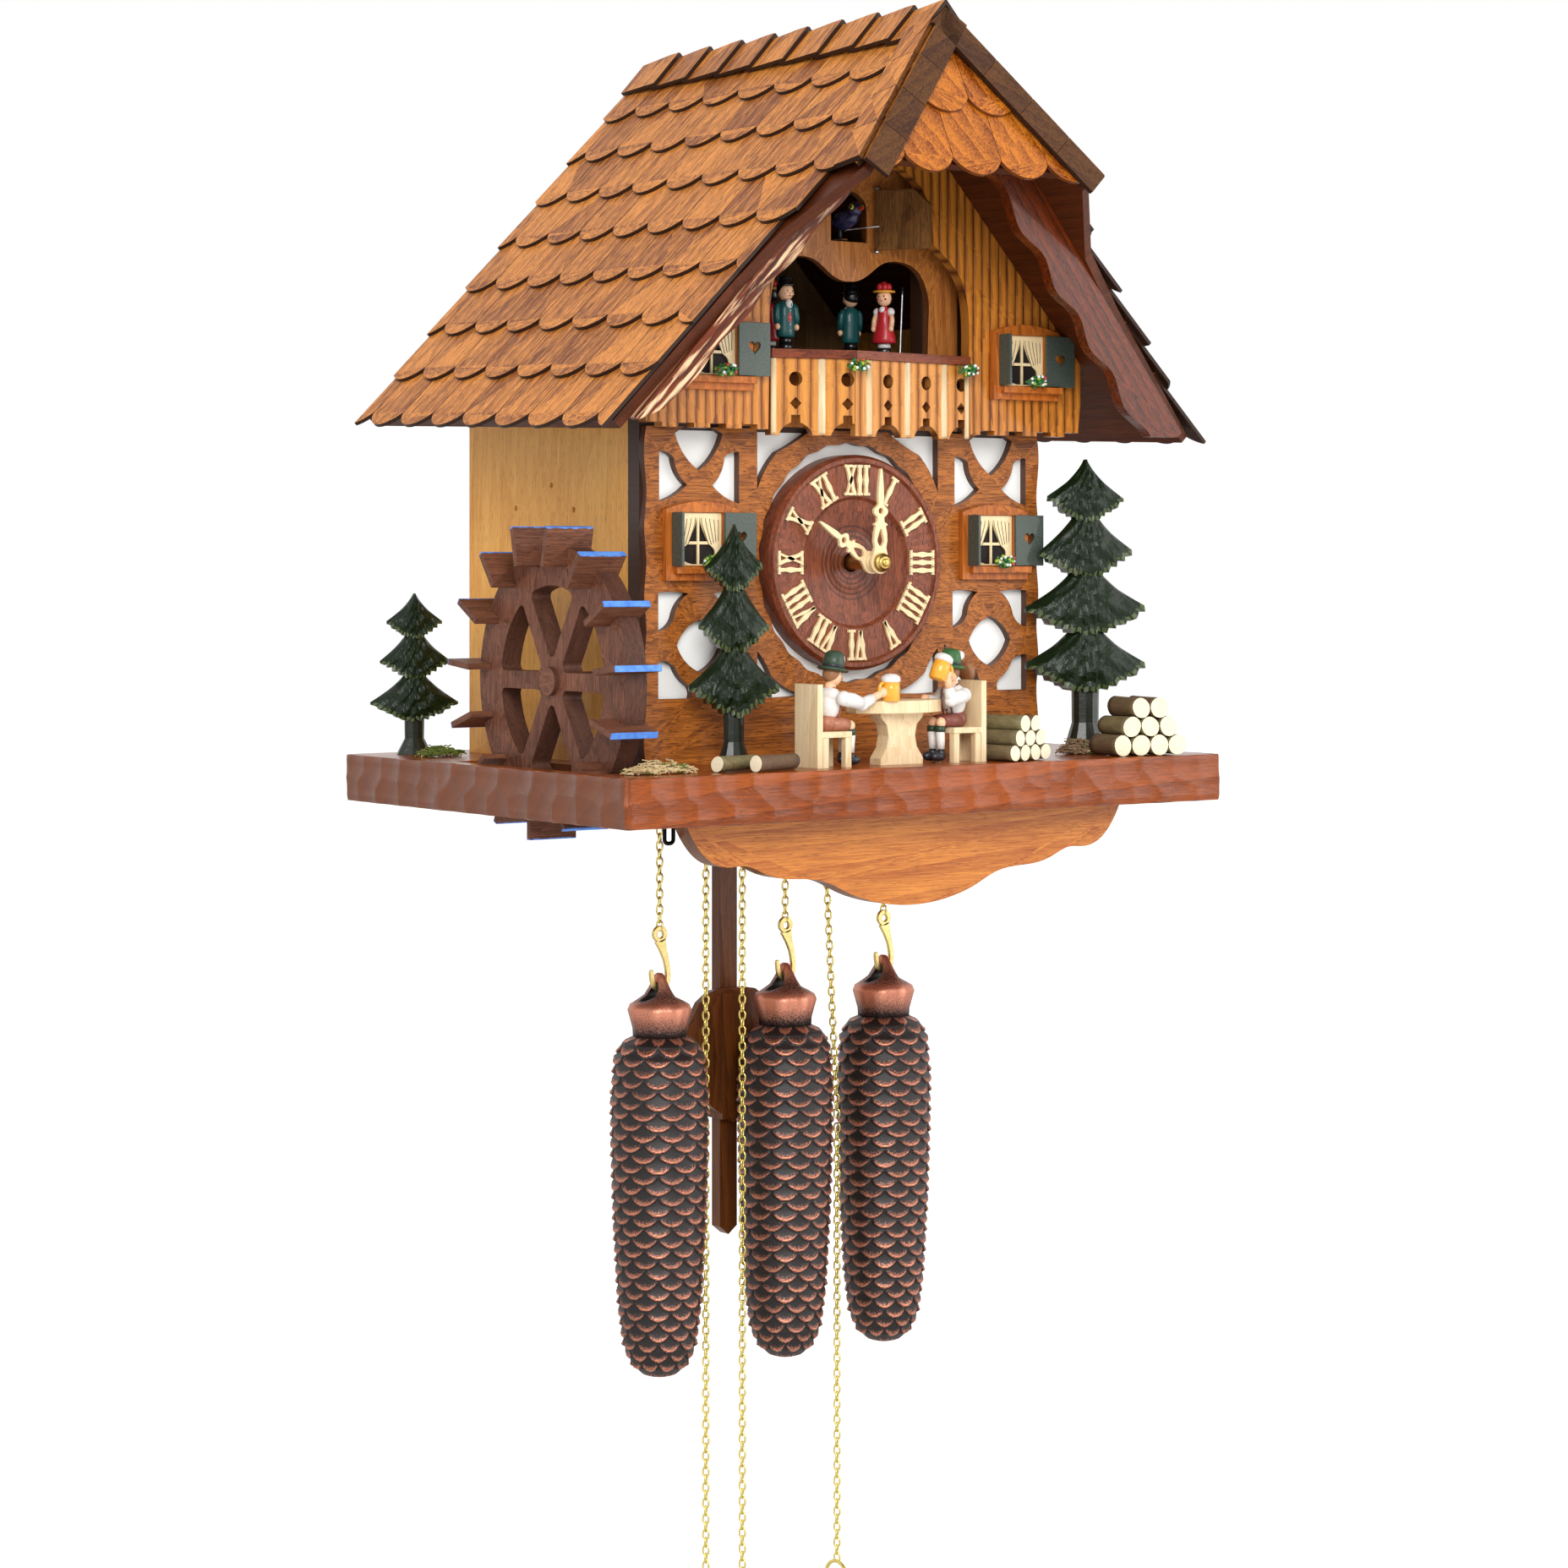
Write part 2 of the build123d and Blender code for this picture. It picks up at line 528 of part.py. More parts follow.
def balcony_facets():
    """Two fretted boards that meet at the corner; the bays follow the developed front."""
    height = BALCONY_TOP - BALCONY_BOTTOM
    outer, inner = balcony_plan(0), balcony_plan(-BALCONY_THICKNESS)
    solids = []
    done = 0.0
    for index in (0, 1):
        start, end = Vector(*outer[index]), Vector(*outer[index + 1])
        seam = 0.15 if index == 0 else -0.15
        points = [outer[index], outer[index + 1], inner[index + 1], inner[index]]
        for at in ((1, 2) if index == 0 else (0, 3)):
            points[at] = (points[at][0] - seam, points[at][1])
        facet = extrude(Plane.XY.offset(BALCONY_BOTTOM) * polygon(points), height)
        run = (end - start).normalized()
        length = (end - start).length
        plane = Plane(origin=(start.X, start.Y, BALCONY_BOTTOM), x_dir=(run.X, run.Y, 0),
                      z_dir=Vector(run.X, run.Y, 0).cross(Vector(0, 0, 1)))
        for bay in BALCONY_BAYS:
            if done < bay < done + length:
                centre = bay - done
                holes = Pos(centre, 25.5) * Circle(3.2)
                holes += Pos(centre, 14.5) * Rot(0, 0, 45) * Rectangle(4.0, 4.0)
                holes += Pos(centre, 7.5) * Rectangle(4.4, 3.4)
                holes += Pos(centre, -2.6) * Circle(8.6)
                facet -= extrude(plane * holes, BALCONY_THICKNESS + 4, both=True)
        solids.append(facet)
        done += length
    return solids


def balcony_rail():
    """The rail in two pieces, mitred at the corner."""
    outer, inner = balcony_plan(1.4), balcony_plan(-BALCONY_THICKNESS + 0.4)
    pieces = []
    for index, seam in ((0, -0.1), (1, 0.1)):
        points = [outer[index], outer[index + 1], inner[index + 1], inner[index]]
        for at in ((1, 2) if index == 0 else (0, 3)):
            points[at] = (points[at][0] + seam, points[at][1])
        pieces.append(extrude(Plane.XY.offset(BALCONY_TOP + FIT / 2) * polygon(points), RAIL_THICKNESS))
    return pieces


# ---------------------------------------------------------------- roof
def roof_board():
    """The right roof board, bevelled at the ridge so that it butts on its twin."""
    ridge_bevel = ROOF_UNDERSIDE * tan(ROOF_ANGLE)
    plane = RIGHT_SLOPE.offset(-ROOF_UNDERSIDE)
    face = polygon(slope_outline(VERGE_OVERHANG, ridge_bevel + FIT / 2, EAVE_OVERHANG))
    return extrude(plane * face, ROOF_BOARD_THICKNESS)


def hip_board():
    inset = 13.0
    low = HIP_LENGTH - 3.0
    spread = HIP_CORNER_HALF_WIDTH / HIP_LENGTH
    top = inset / spread + 3
    points = [(-(top * spread - inset), top), (top * spread - inset, top),
              (low * spread - inset, low), (-(low * spread - inset), low)]
    return extrude(hip_plane().offset(-ROOF_UNDERSIDE) * polygon(points), ROOF_BOARD_THICKNESS)


def shingle_face(width, low, length, rounding):
    half = width / 2
    return outline_face([Line((-half, low), (half, low)), Line((half, low), (half, length - rounding)),
                         ThreePointArc((half, length - rounding), (0, length), (-half, length - rounding)),
                         Line((-half, length - rounding), (-half, low))])


def side_shingles():
    """Rows of round-ended shingles on the right slope, each leaning on the row below."""
    exposure = ROW_SHARE * SLOPE_LENGTH
    lean = degrees(asin(SHINGLE_THICKNESS / exposure))
    hip_cut = polygon([(RIDGE_FORWARD, 1.0), (0, 1.0), (0, 400), (HIP_CORNER_FORWARD, 400),
                       (HIP_CORNER_FORWARD, HIP_CORNER_SLOPE)])
    prism = extrude(RIGHT_SLOPE.offset(-SHINGLE_STACK - 1) * hip_cut, SHINGLE_STACK + 6)
    width = SHINGLE_WIDTH - SHINGLE_GAP
    shingles = []
    for row in range(SIDE_ROWS):
        shift = 0.5 * SHINGLE_WIDTH if row % 2 else 0.0
        across = shift - 0.5 * SHINGLE_WIDTH + 0.35 * SHINGLE_WIDTH
        row_tip = SLOPE_LENGTH * (1 - ROW_SHARE * row)
        reach = verge_forward(row_tip) if row_tip > HIP_CORNER_SLOPE else HIP_CORNER_FORWARD
        row_cut = RIGHT_SLOPE.location * Pos(reach / 2, 0, 0) * Box(reach, 1000, 100)
        while across < reach + SHINGLE_WIDTH / 2:
            eave = SLOPE_LENGTH_BACK + (SLOPE_LENGTH - SLOPE_LENGTH_BACK) * across / EAVE_FORWARD
            tip = eave * (1 - ROW_SHARE * row)
            head = tip - SHINGLE_LENGTH
            start = max(0.0, 2.0 - head)
            seat = Plane(origin=RIGHT_SLOPE.offset(-SHINGLE_STACK).from_local_coords((across, head, 0)),
                         x_dir=RIGHT_SLOPE.x_dir, z_dir=RIGHT_SLOPE.z_dir)
            face = shingle_face(width, start, SHINGLE_LENGTH, SHINGLE_ROUNDING)
            shingle = extrude(seat * Rot(lean, 0, 0) * face, SHINGLE_THICKNESS - 0.03)
            shingles += common(shingle, prism, row_cut)
            across += SHINGLE_WIDTH
    return shingles


def hip_shingles():
    plane = hip_plane()
    spread = HIP_CORNER_HALF_WIDTH / HIP_LENGTH
    low = HIP_LENGTH + 8
    triangle = polygon([(0, HIP_EDGE_INSET), ((low - HIP_EDGE_INSET) * spread, low),
                        (-(low - HIP_EDGE_INSET) * spread, low)])
    prism = extrude(plane.offset(-SHINGLE_STACK - 1) * triangle, SHINGLE_STACK + 6)
    lean = degrees(asin(SHINGLE_THICKNESS / HIP_EXPOSURE))
    shingles = []
    for row, (count, shift) in enumerate(((5, 2.3), (4, -1.9), (2, -1.0))):
        tip = HIP_LENGTH + HIP_OVERHANG - row * HIP_EXPOSURE
        for index in range(count):
            across = (index - (count - 1) / 2) * HIP_SHINGLE_WIDTH + shift
            head = tip - SHINGLE_LENGTH
            seat = Plane(origin=plane.offset(-SHINGLE_STACK).from_local_coords((across, head, 0)),
                         x_dir=plane.x_dir, z_dir=plane.z_dir)
            face = shingle_face(HIP_SHINGLE_WIDTH - SHINGLE_GAP, max(0.0, 10 - head), SHINGLE_LENGTH,
                                SHINGLE_ROUNDING)
            shingle = extrude(seat * Rot(lean, 0, 0) * face, SHINGLE_THICKNESS - 0.03)
            shingles += common(shingle, prism)
    return shingles


def ridge_caps():
    """Folded caps along the ridge, each leaning on the one behind it."""
    pitch = (RIDGE_FORWARD + 2) / CAP_COUNT
    thickness = 2.0
    rise = degrees(asin(thickness / pitch))
    caps = []
    for index in range(CAP_COUNT):
        back = index * pitch
        length = min(CAP_LENGTH + 2, RIDGE_FORWARD + 3 - back)
        wing_plane = Plane(origin=RIGHT_SLOPE.offset(-1.0).from_local_coords((back, 0, 0)),
                           x_dir=RIGHT_SLOPE.x_dir, z_dir=RIGHT_SLOPE.z_dir)
        face = polygon([(0, -3), (length, -3), (length, CAP_WIDTH), (0, CAP_WIDTH)])
        wing = extrude(wing_plane * Rot(0, -rise, 0) * face, thickness - 0.05)
        wing &= block((0, 80), (-400, 20), (0, 500))
        caps.append(wing + mirrored(wing))
    return caps


def hip_caps():
    """Caps down the right hip edge, one wing on the main slope and one on the hip."""
    edge = Vector(HIP_CORNER_FORWARD - RIDGE_FORWARD, HIP_CORNER_SLOPE)
    along = edge.normalized()
    length = edge.length
    tips = [0.0] + [length * (0.32 + 0.23 * index) for index in range(HIP_CAP_COUNT)]
    caps = []
    for index in range(HIP_CAP_COUNT):
        low, high = tips[index] + 0.3, tips[index + 1]
        inner = Vector(along.Y, -along.X) * -15.0
        p = [Vector(RIDGE_FORWARD, 0) + along * t for t in (low, high)]
        q = [p[1] + inner, p[0] + inner]
        points = [(v.X, v.Y) for v in p + q]
        caps.append(extrude(RIGHT_SLOPE.offset(0.4) * polygon(points), 2.4))
        spread = HIP_CORNER_HALF_WIDTH / HIP_LENGTH
        hip_edge = Vector(spread, 1).normalized()
        p = [hip_edge * t for t in (low, high)]
        inner = Vector(-hip_edge.Y, hip_edge.X) * 13.0
        q = [p[1] + inner, p[0] + inner]
        points = [(v.X, v.Y) for v in p + q]
        caps.append(extrude(hip_plane().offset(0.4) * polygon(points), 2.2))
    return caps


def verge_board():
    """The wavy moulding under the right verge, its foot cut level with the eave."""
    ends = []
    for forward, across in VERGE_BOARD_ENDS:
        under_roof = RIGHT_SLOPE.offset(-ROOF_UNDERSIDE - FIT)
        ends.append(under_roof.from_local_coords((forward, across / cos(ROOF_ANGLE), 0)))
    start, end = ends
    run = end - start
    along = run.normalized()
    plane = Plane(origin=start, x_dir=along, z_dir=along.cross(RIGHT_SLOPE.z_dir))
    waves = 5
    length = run.length
    points = [(length * k / (2 * waves), -VERGE_BOARD_DEPTH + (2.6 if k % 2 else -1.6))
              for k in range(2 * waves + 1)]
    edges = [Spline(*points), Line((length, points[-1][1]), (length, 0)), Line((length, 0), (0, 0)),
             Line((0, 0), (0, points[0][1]))]
    body = extrude(plane * outline_face(edges), -VERGE_BOARD_THICKNESS)
    return body & block((0, 300), (-400, 0), (VERGE_BOARD_FOOT, 400))


# ---------------------------------------------------------------- windows and flowers
def window_frame():
    """A window panel with an arched head, its opening, and a sill; x across, z up from its foot."""
    half, height = WINDOW_WIDTH / 2, WINDOW_HEIGHT
    left, right, low, high = WINDOW_OPENING
    panel = [Line((-half, 0), (half, 0)), Line((half, 0), (half, height)),
             ThreePointArc((half, height), (0, height + WINDOW_CROWN), (-half, height)),
             Line((-half, height), (-half, 0))]
    opening = Pos((left + right) / 2, (low + high) / 2) * Rectangle(right - left, high - low)
    face = outline_face(panel) - opening
    frame = extrude(Plane.XZ * face, WINDOW_DEPTH)
    sill = block((-half + 4, half), (-WINDOW_DEPTH - 3.0, -WINDOW_DEPTH + 0.0), (3.2, 6.2))
    return frame, sill


def window_curtain():
    left, right, low, high = WINDOW_OPENING
    pane = block((left + FIT, right - FIT), (-1.2, 0), (low + FIT, high - FIT))
    middle = (left + right) / 2
    gaps = [Pos(middle + side * 4.0, 0, (low + high) / 2 - 4.5) * Rot(90, 0, 0) * Box(5.6, 13.0, 6)
            for side in (-1, 1)]
    return pane - gaps


def window_shutters():
    """The right shutter swung open flat, the left one standing out."""
    left, right, low, high = WINDOW_OPENING
    y = -WINDOW_DEPTH - FIT
    open_flat = block((right, right + SHUTTER_WIDTH), (y - SHUTTER_THICKNESS, y), (low, high))
    heart = Pos(right + SHUTTER_WIDTH / 2, y, (low + high) / 2 + 1) * Rot(0, 45, 0) * Box(4.4, 8, 4.4)
    standing = block((left - SHUTTER_THICKNESS - 1, left - 1), (y - 8.0, y), (low, high))
    return open_flat - heart, standing


def flower_box(x, z, y):
    """A small clump of flowers on a sill."""
    return Pos(x, y, z) * scale(Sphere(1), by=(7.0, 3.2, 3.4))


# ---------------------------------------------------------------- dial and hands
def dial_plate():
    """A turned dial: a raised rim, a flat chapter ring and a hollowed centre."""
    back = CASE_FRONT - FRET_THICKNESS
    rim = DIAL_RIM_FRONT - back
    profile = [(4.5, 0), (DIAL_RADIUS, 0), (DIAL_RADIUS, rim - 2.2), (DIAL_RADIUS - 1.5, rim),
               (DIAL_RADIUS - 3.4, rim), (DIAL_RADIUS - 4.4, rim - 1.6), (30.5, rim - 1.6),
               (29.0, rim - 3.4), (24, rim - 4.2), (15, rim - 5.6),
               (11, rim - 5.2), (7.5, rim - 5.6), (4.5, rim - 5.6)]
    turned = revolve(polygon([(r, h) for r, h in profile]), Axis.Y)
    placed = Pos(0, -back, DIAL_CENTRE_HEIGHT) * Rot(180, 0, 0) * turned
    return placed


NUMERALS = ("XII", "I", "II", "III", "IIII", "V", "VI", "VII", "VIII", "IX", "X", "XI")
NUMERAL_RADII = (32.2, 44.4)


def numeral(text):
    """Upright strokes between two serif bars, in a local x and z, centred on its own middle."""
    height = NUMERAL_RADII[1] - NUMERAL_RADII[0]
    widths = {"I": 3.0, "V": 6.6, "X": 6.6}
    total = sum(widths[letter] for letter in text)
    across = -total / 2
    face = None
    for letter in text:
        width = widths[letter]
        centre = across + width / 2
        if letter == "I":
            strokes = [Pos(centre, 0) * Rectangle(1.4, height)]
        else:
            spread = width - 2.0 if letter == "X" else width / 2 - 0.8
            lean = degrees(atan2(spread, height))
            reach = 0 if letter == "X" else width / 4 - 0.3
            strokes = [Pos(centre - reach, 0) * Rot(0, 0, lean) * Rectangle(1.9, height - 0.2),
                       Pos(centre + reach, 0) * Rot(0, 0, -lean) * Rectangle(1.1, height - 0.2)]
        for stroke in strokes:
            face = stroke if face is None else face + stroke
        across += width
    for end in (-1, 1):
        face += Pos(0, end * (height / 2 - 0.6)) * Rectangle(total - 0.4, 1.2)
    return face


def dial_numerals():
    surface = DIAL_RIM_FRONT - 1.6
    middle = sum(NUMERAL_RADII) / 2
    solids = []
    for index, text in enumerate(NUMERALS):
        flat = extrude(Plane.XZ * Pos(0, middle) * numeral(text), 1.2)
        solids.append(Pos(0, -surface - 0.02, DIAL_CENTRE_HEIGHT) * Rot(0, 30 * index, 0) * flat)
    return solids


def hand(length, widths, hole):
    """A pierced hand pointing up: a ring at the boss, two swellings and a fine tip."""
    face = Circle(5.2) + Pos(0, length * 0.30) * Ellipse(widths[0], length * 0.17)
    face += Pos(0, length * 0.60) * Circle(widths[1])
    face += polygon([(-1.5, 0), (1.5, 0), (0.5, length), (-0.5, length)])
    face -= Pos(0, length * 0.28) * Ellipse(widths[0] * 0.42, length * 0.08)
    face -= Pos(0, length * 0.60) * Circle(widths[1] * 0.42)
    return face - Circle(hole)


def hour_hand():
    pipe_radius = ARBOR_RADIUS + 1.6
    flat = extrude(Plane.XZ * hand(HOUR_HAND_LENGTH, (4.0, 3.6), pipe_radius - 0.4), HAND_THICKNESS)
    flat = Rot(0, HOUR_ANGLE, 0) * flat
    flat = Pos(0, -HOUR_HAND_FRONT + HAND_THICKNESS, DIAL_CENTRE_HEIGHT) * flat
    tube_faces = Circle(pipe_radius - 0.4) - Circle(ARBOR_RADIUS + RUNNING_CLEARANCE)
    pipe = extrude(Plane.XZ.offset(MOVEMENT_FRONT + 1) * Pos(0, DIAL_CENTRE_HEIGHT) * tube_faces,
                   HOUR_HAND_FRONT - MOVEMENT_FRONT - 1)
    return flat, pipe


def minute_hand():
    flat = extrude(Plane.XZ * hand(MINUTE_HAND_LENGTH, (3.7, 3.5), ARBOR_RADIUS), HAND_THICKNESS)
    flat = Pos(0, -MINUTE_HAND_FRONT + HAND_THICKNESS, DIAL_CENTRE_HEIGHT) * Rot(0, MINUTE_ANGLE, 0) * flat
    start = (0, -MOVEMENT_BACK - 4, DIAL_CENTRE_HEIGHT)
    arbor = cylinder_between(start, (0, -MINUTE_HAND_FRONT - 4.5, DIAL_CENTRE_HEIGHT), ARBOR_RADIUS)
    wheel = cylinder_between((0, -MOVEMENT_FRONT + 9, DIAL_CENTRE_HEIGHT),
                             (0, -MOVEMENT_FRONT + 11, DIAL_CENTRE_HEIGHT), 17.0)
    return flat, arbor + wheel


def hand_nut():
    face = RegularPolygon(4.4, 16) - Circle(ARBOR_RADIUS)
    nut = extrude(Plane.XZ.offset(MINUTE_HAND_FRONT + 0.05) * Pos(0, DIAL_CENTRE_HEIGHT) * face, 3.6)
    return nut


# ---------------------------------------------------------------- movement, sound and music
def movement_frame():
    height = MOVEMENT_TOP - MOVEMENT_BOTTOM
    centre_z = (MOVEMENT_TOP + MOVEMENT_BOTTOM) / 2
    face = Pos(0, centre_z) * Rectangle(2 * MOVEMENT_HALF_WIDTH, height)
    for centre, *_ in SPROCKETS.values():
        face -= Pos(centre, SPROCKET_HEIGHT) * Circle(2.0 + RUNNING_CLEARANCE)
    face -= Pos(0, DIAL_CENTRE_HEIGHT) * Circle(ARBOR_RADIUS + RUNNING_CLEARANCE)
    front = extrude(Plane.XZ.offset(MOVEMENT_FRONT - MOVEMENT_PLATE) * face, MOVEMENT_PLATE)
    back = extrude(Plane.XZ.offset(MOVEMENT_BACK) * face, MOVEMENT_PLATE)
    pillars = []
    for x in (-MOVEMENT_HALF_WIDTH + 5, MOVEMENT_HALF_WIDTH - 5):
        for z in (MOVEMENT_BOTTOM + 6, MOVEMENT_TOP - 6):
            pillars.append(cylinder_between((x, -MOVEMENT_BACK - MOVEMENT_PLATE, z),
                                            (x, -MOVEMENT_FRONT + MOVEMENT_PLATE, z), 3.0))
    feet = []
    for side in (-1, 1):
        inner = MOVEMENT_HALF_WIDTH - 3
        for y in (-MOVEMENT_FRONT + MOVEMENT_PLATE, -MOVEMENT_BACK - MOVEMENT_PLATE - 10):
            outer = CASE_HALF_WIDTH - SIDE_THICKNESS
            spans = sorted((side * inner, side * outer))
            feet.append(block(spans, (y, y + 10), (MOVEMENT_BOTTOM, MOVEMENT_BOTTOM + 14)))
    return [front, back] + pillars + feet


def sprocket(centre):
    """A chain wheel with its ratchet disc on an arbor between the plates."""
    y_low, y_high = -MOVEMENT_FRONT - 2, -MOVEMENT_BACK + 2
    arbor = cylinder_between((centre, y_low, SPROCKET_HEIGHT), (centre, y_high, SPROCKET_HEIGHT), 2.0)
    core = SPROCKET_RADIUS - CHAIN_RADIUS - SEAT
    face = Circle(core)
    for tooth in range(10):
        face -= Rot(0, 0, 36 * tooth) * Pos(core, 0) * Circle(1.3)
    half = SPROCKET_WIDTH / 2
    wheel = extrude(Plane.XZ.offset(CHAIN_PLANE - half) * Pos(centre, SPROCKET_HEIGHT) * face,
                    SPROCKET_WIDTH)
    ratchet = Circle(core + 5)
    for tooth in range(24):
        ratchet -= Rot(0, 0, 15 * tooth) * Pos(core + 5.6, 0) * Rot(0, 0, 30) * Rectangle(2, 2)
    great_wheel = extrude(Plane.XZ.offset(CHAIN_PLANE - 10) * Pos(centre, SPROCKET_HEIGHT) * ratchet, 2)
    return arbor + wheel + great_wheel


def bellows():
    """Two wind boxes with their pipes beside the movement; each carries a folded bellows."""
    boxes = []
    for side in (-1, 1):
        spans = sorted((side * 86.0, side * (CASE_HALF_WIDTH - SIDE_THICKNESS - SEAT)))
        boxes.append(block(spans, (-152, -112), (MOVEMENT_BOTTOM + 16, 128.0)))
        boxes.append(block(spans, (-152, -108), (128.1, 132.0)))
        boxes.append(block(spans, (-152, -108), (132.1, 136.0)))
    return boxes


GONG_CENTRE = (30.0, -40.0, 78.0)


def gong():
    """A spiral wire gong on an iron block, on the back frame's lower rail."""
    x, y, z = GONG_CENTRE
    coils = [Pos(x, y, z) * Rot(90, 0, 0) * Torus(radius, 0.9) for radius in (12.0, 17.0, 22.0)]
    bars = block((x - 2.5, x + 2.5), (y - 2.5, y + 2.5), (z - 24.5, z - 9.5))
    post_y = (-CASE_BACK_GAP - BACK_FRAME_THICKNESS)
    foot = block((x - 7, x + 7), (y - 4, post_y), (6.0, 22.0))
    stem = block((x - 2.5, x + 2.5), (y - 2.5, y + 2.5), (22.0, z - 24.5))
    spiral = bars
    for coil in coils:
        spiral += coil
    return spiral + stem, foot


def gong_hammer():
    x, y, z = GONG_CENTRE
    pivot = (x - 52.0, y - 10.0, z - 30.0)
    head_at = (x - 27.5, y, z)
    wire = cylinder_between(pivot, (head_at[0] - 4, head_at[1], head_at[2]), 0.8)
    head = cylinder_between((head_at[0] - 4.5, head_at[1], head_at[2]), head_at, 3.0)
    hub = cylinder_between((pivot[0], pivot[1] - 4, pivot[2]), (pivot[0], pivot[1] + 4, pivot[2]), 2.6)
    return wire + head + hub


def music_movement():
    """The comb, pinned cylinder and bedplate that turn the dancers and the wheel."""
    bed = block((-46, 46), (-150, -118), (150.0, 153.0))
    drum = cylinder_between((-22, -134, 163.0), (24, -134, 163.0), 7.0)
    comb = block((-20, 22), (-126, -119), (160.0, 162.0))
    posts = [block((x - 2, x + 2), (-138, -130), (153.0, 170.5)) for x in (-25, 27)]
    comb_block = block((-20, 22), (-125, -119), (153.0, 160.0))
    brackets = [block(sorted((side * 46.0, side * (CASE_HALF_WIDTH - SIDE_THICKNESS))), (-150, -140),
                      (150, 153))
                for side in (-1, 1)]
    return [bed, drum, comb, comb_block] + posts + brackets


# ---------------------------------------------------------------- chains, weights, pendulum
def chain_sides(name):
    centre, side, _, _ = SPROCKETS[name]
    return centre + side * SPROCKET_RADIUS, centre - side * SPROCKET_RADIUS


def weight(name):
    """A cast pine cone with an angular collar and a pierced lug on top."""
    x, _ = chain_sides(name)
    loop, bottom = WEIGHT_LOOP_TOP, WEIGHT_BOTTOM
    profile = [(0, bottom), (8, bottom + 1.5), (14, bottom + 6), (18, bottom + 15), (20.5, bottom + 35),
               (22.5, bottom + 70), (23.7, bottom + 105), (WEIGHT_RADIUS, bottom + 130),
               (22.3, bottom + 150),
               (17.5, bottom + 158), (12.5, bottom + 160), (12.5, bottom + 163), (15.2, bottom + 172),
               (14.0, bottom + 175), (7.5, bottom + 178.5), (3.0, bottom + 179.5), (0, bottom + 179.5)]
    body = revolve(Plane.XZ * polygon(profile), Axis.Z)
    lug = Pos(0, 0, loop - 8.0) * Rot(0, 90, 0) * Cylinder(8.0, 2.4)
    hole = Pos(0, 0, LUG_HOLE_HEIGHT) * Rot(0, 90, 0) * Cylinder(LUG_HOLE_RADIUS, 20.0)
    return Pos(x, -CHAIN_PLANE, 0) * (body + lug - hole)


HOOK_TOP = -79.0


def hook_and_chain(name):
    """The loaded run of chain with the flat brass hook that carries the weight."""
    x, _ = chain_sides(name)
    top = SPROCKET_HEIGHT + WEIGHT_DROP + 6
    chain = cylinder_between((x, -CHAIN_PLANE, HOOK_TOP - 2.4), (x, -CHAIN_PLANE, top), CHAIN_RADIUS)
    eye = Circle(4.0) - Circle(1.4)
    drop = LUG_HOLE_HEIGHT + LUG_HOLE_RADIUS - HOOK_TOP + 4.0 - 1.7
    shank = [Line((-1.6, -3), (1.6, -3)), Spline((1.6, -3), (4.4, -13), (4.6, drop + 4.5)),
             Line((4.6, drop + 4.5), (3.2, drop + 4.4)), Spline((3.2, drop + 4.4), (2.2, -14), (-1.6, -3))]
    claw = ThreePointArc((3.9, drop + 4.6), (0, drop), (-3.9, drop + 4.0))
    hook_face = eye + outline_face(shank)
    bar = sweep(Plane(origin=claw @ 0, z_dir=claw % 0) * Circle(1.1), path=claw)
    plate = extrude(hook_face, HOOK_THICKNESS / 2, both=True)
    hook = plate + bar
    placed = Pos(x, -CHAIN_PLANE, HOOK_TOP - 4.0) * Rot(90, 0, 0) * hook
    return chain, placed


def free_chain(name):
    """The unloaded run with its pull ring; the right one leans a little in its upper part."""
    _, x = chain_sides(name)
    _, _, plane, lean = SPROCKETS[name]
    bottom = (x, -plane, CHAIN_END)
    top = (x + lean, -plane, SPROCKET_HEIGHT + (WEIGHT_RISE if not lean else -34))
    if lean:
        bend = (x, -plane, LEAN_START)
        path = Polyline(bottom, bend, top)
    else:
        path = Line(bottom, top)
    run = sweep(Plane(origin=bottom, z_dir=path % 0) * Circle(CHAIN_RADIUS), path=path,
                transition=Transition.RIGHT)
    ring = Pos(x, -plane, CHAIN_END - PULL_RING_RADIUS) * Rot(0, 90, 0) * Torus(PULL_RING_RADIUS, 1.0)
    return run, ring


def pendulum_rod():
    width, depth = PENDULUM_ROD
    y = -PENDULUM_PLANE
    stick = polygon([(-width / 2, 60), (width / 2, 60), (width / 2, PENDULUM_TIP + 4), (0, PENDULUM_TIP),
                     (-width / 2, PENDULUM_TIP + 4)])
    rod = extrude(Plane.XZ.offset(PENDULUM_PLANE - depth / 2) * stick, depth)
    pivot = PENDULUM_PIVOT_HEIGHT
    wire = cylinder_between((0, y, 58.0), (0, y, pivot), 1.0)
    pin = cylinder_between((0, -MOVEMENT_BACK + 0.3, pivot), (0, y + 4, pivot), 1.5)
    return rod + wire + pin


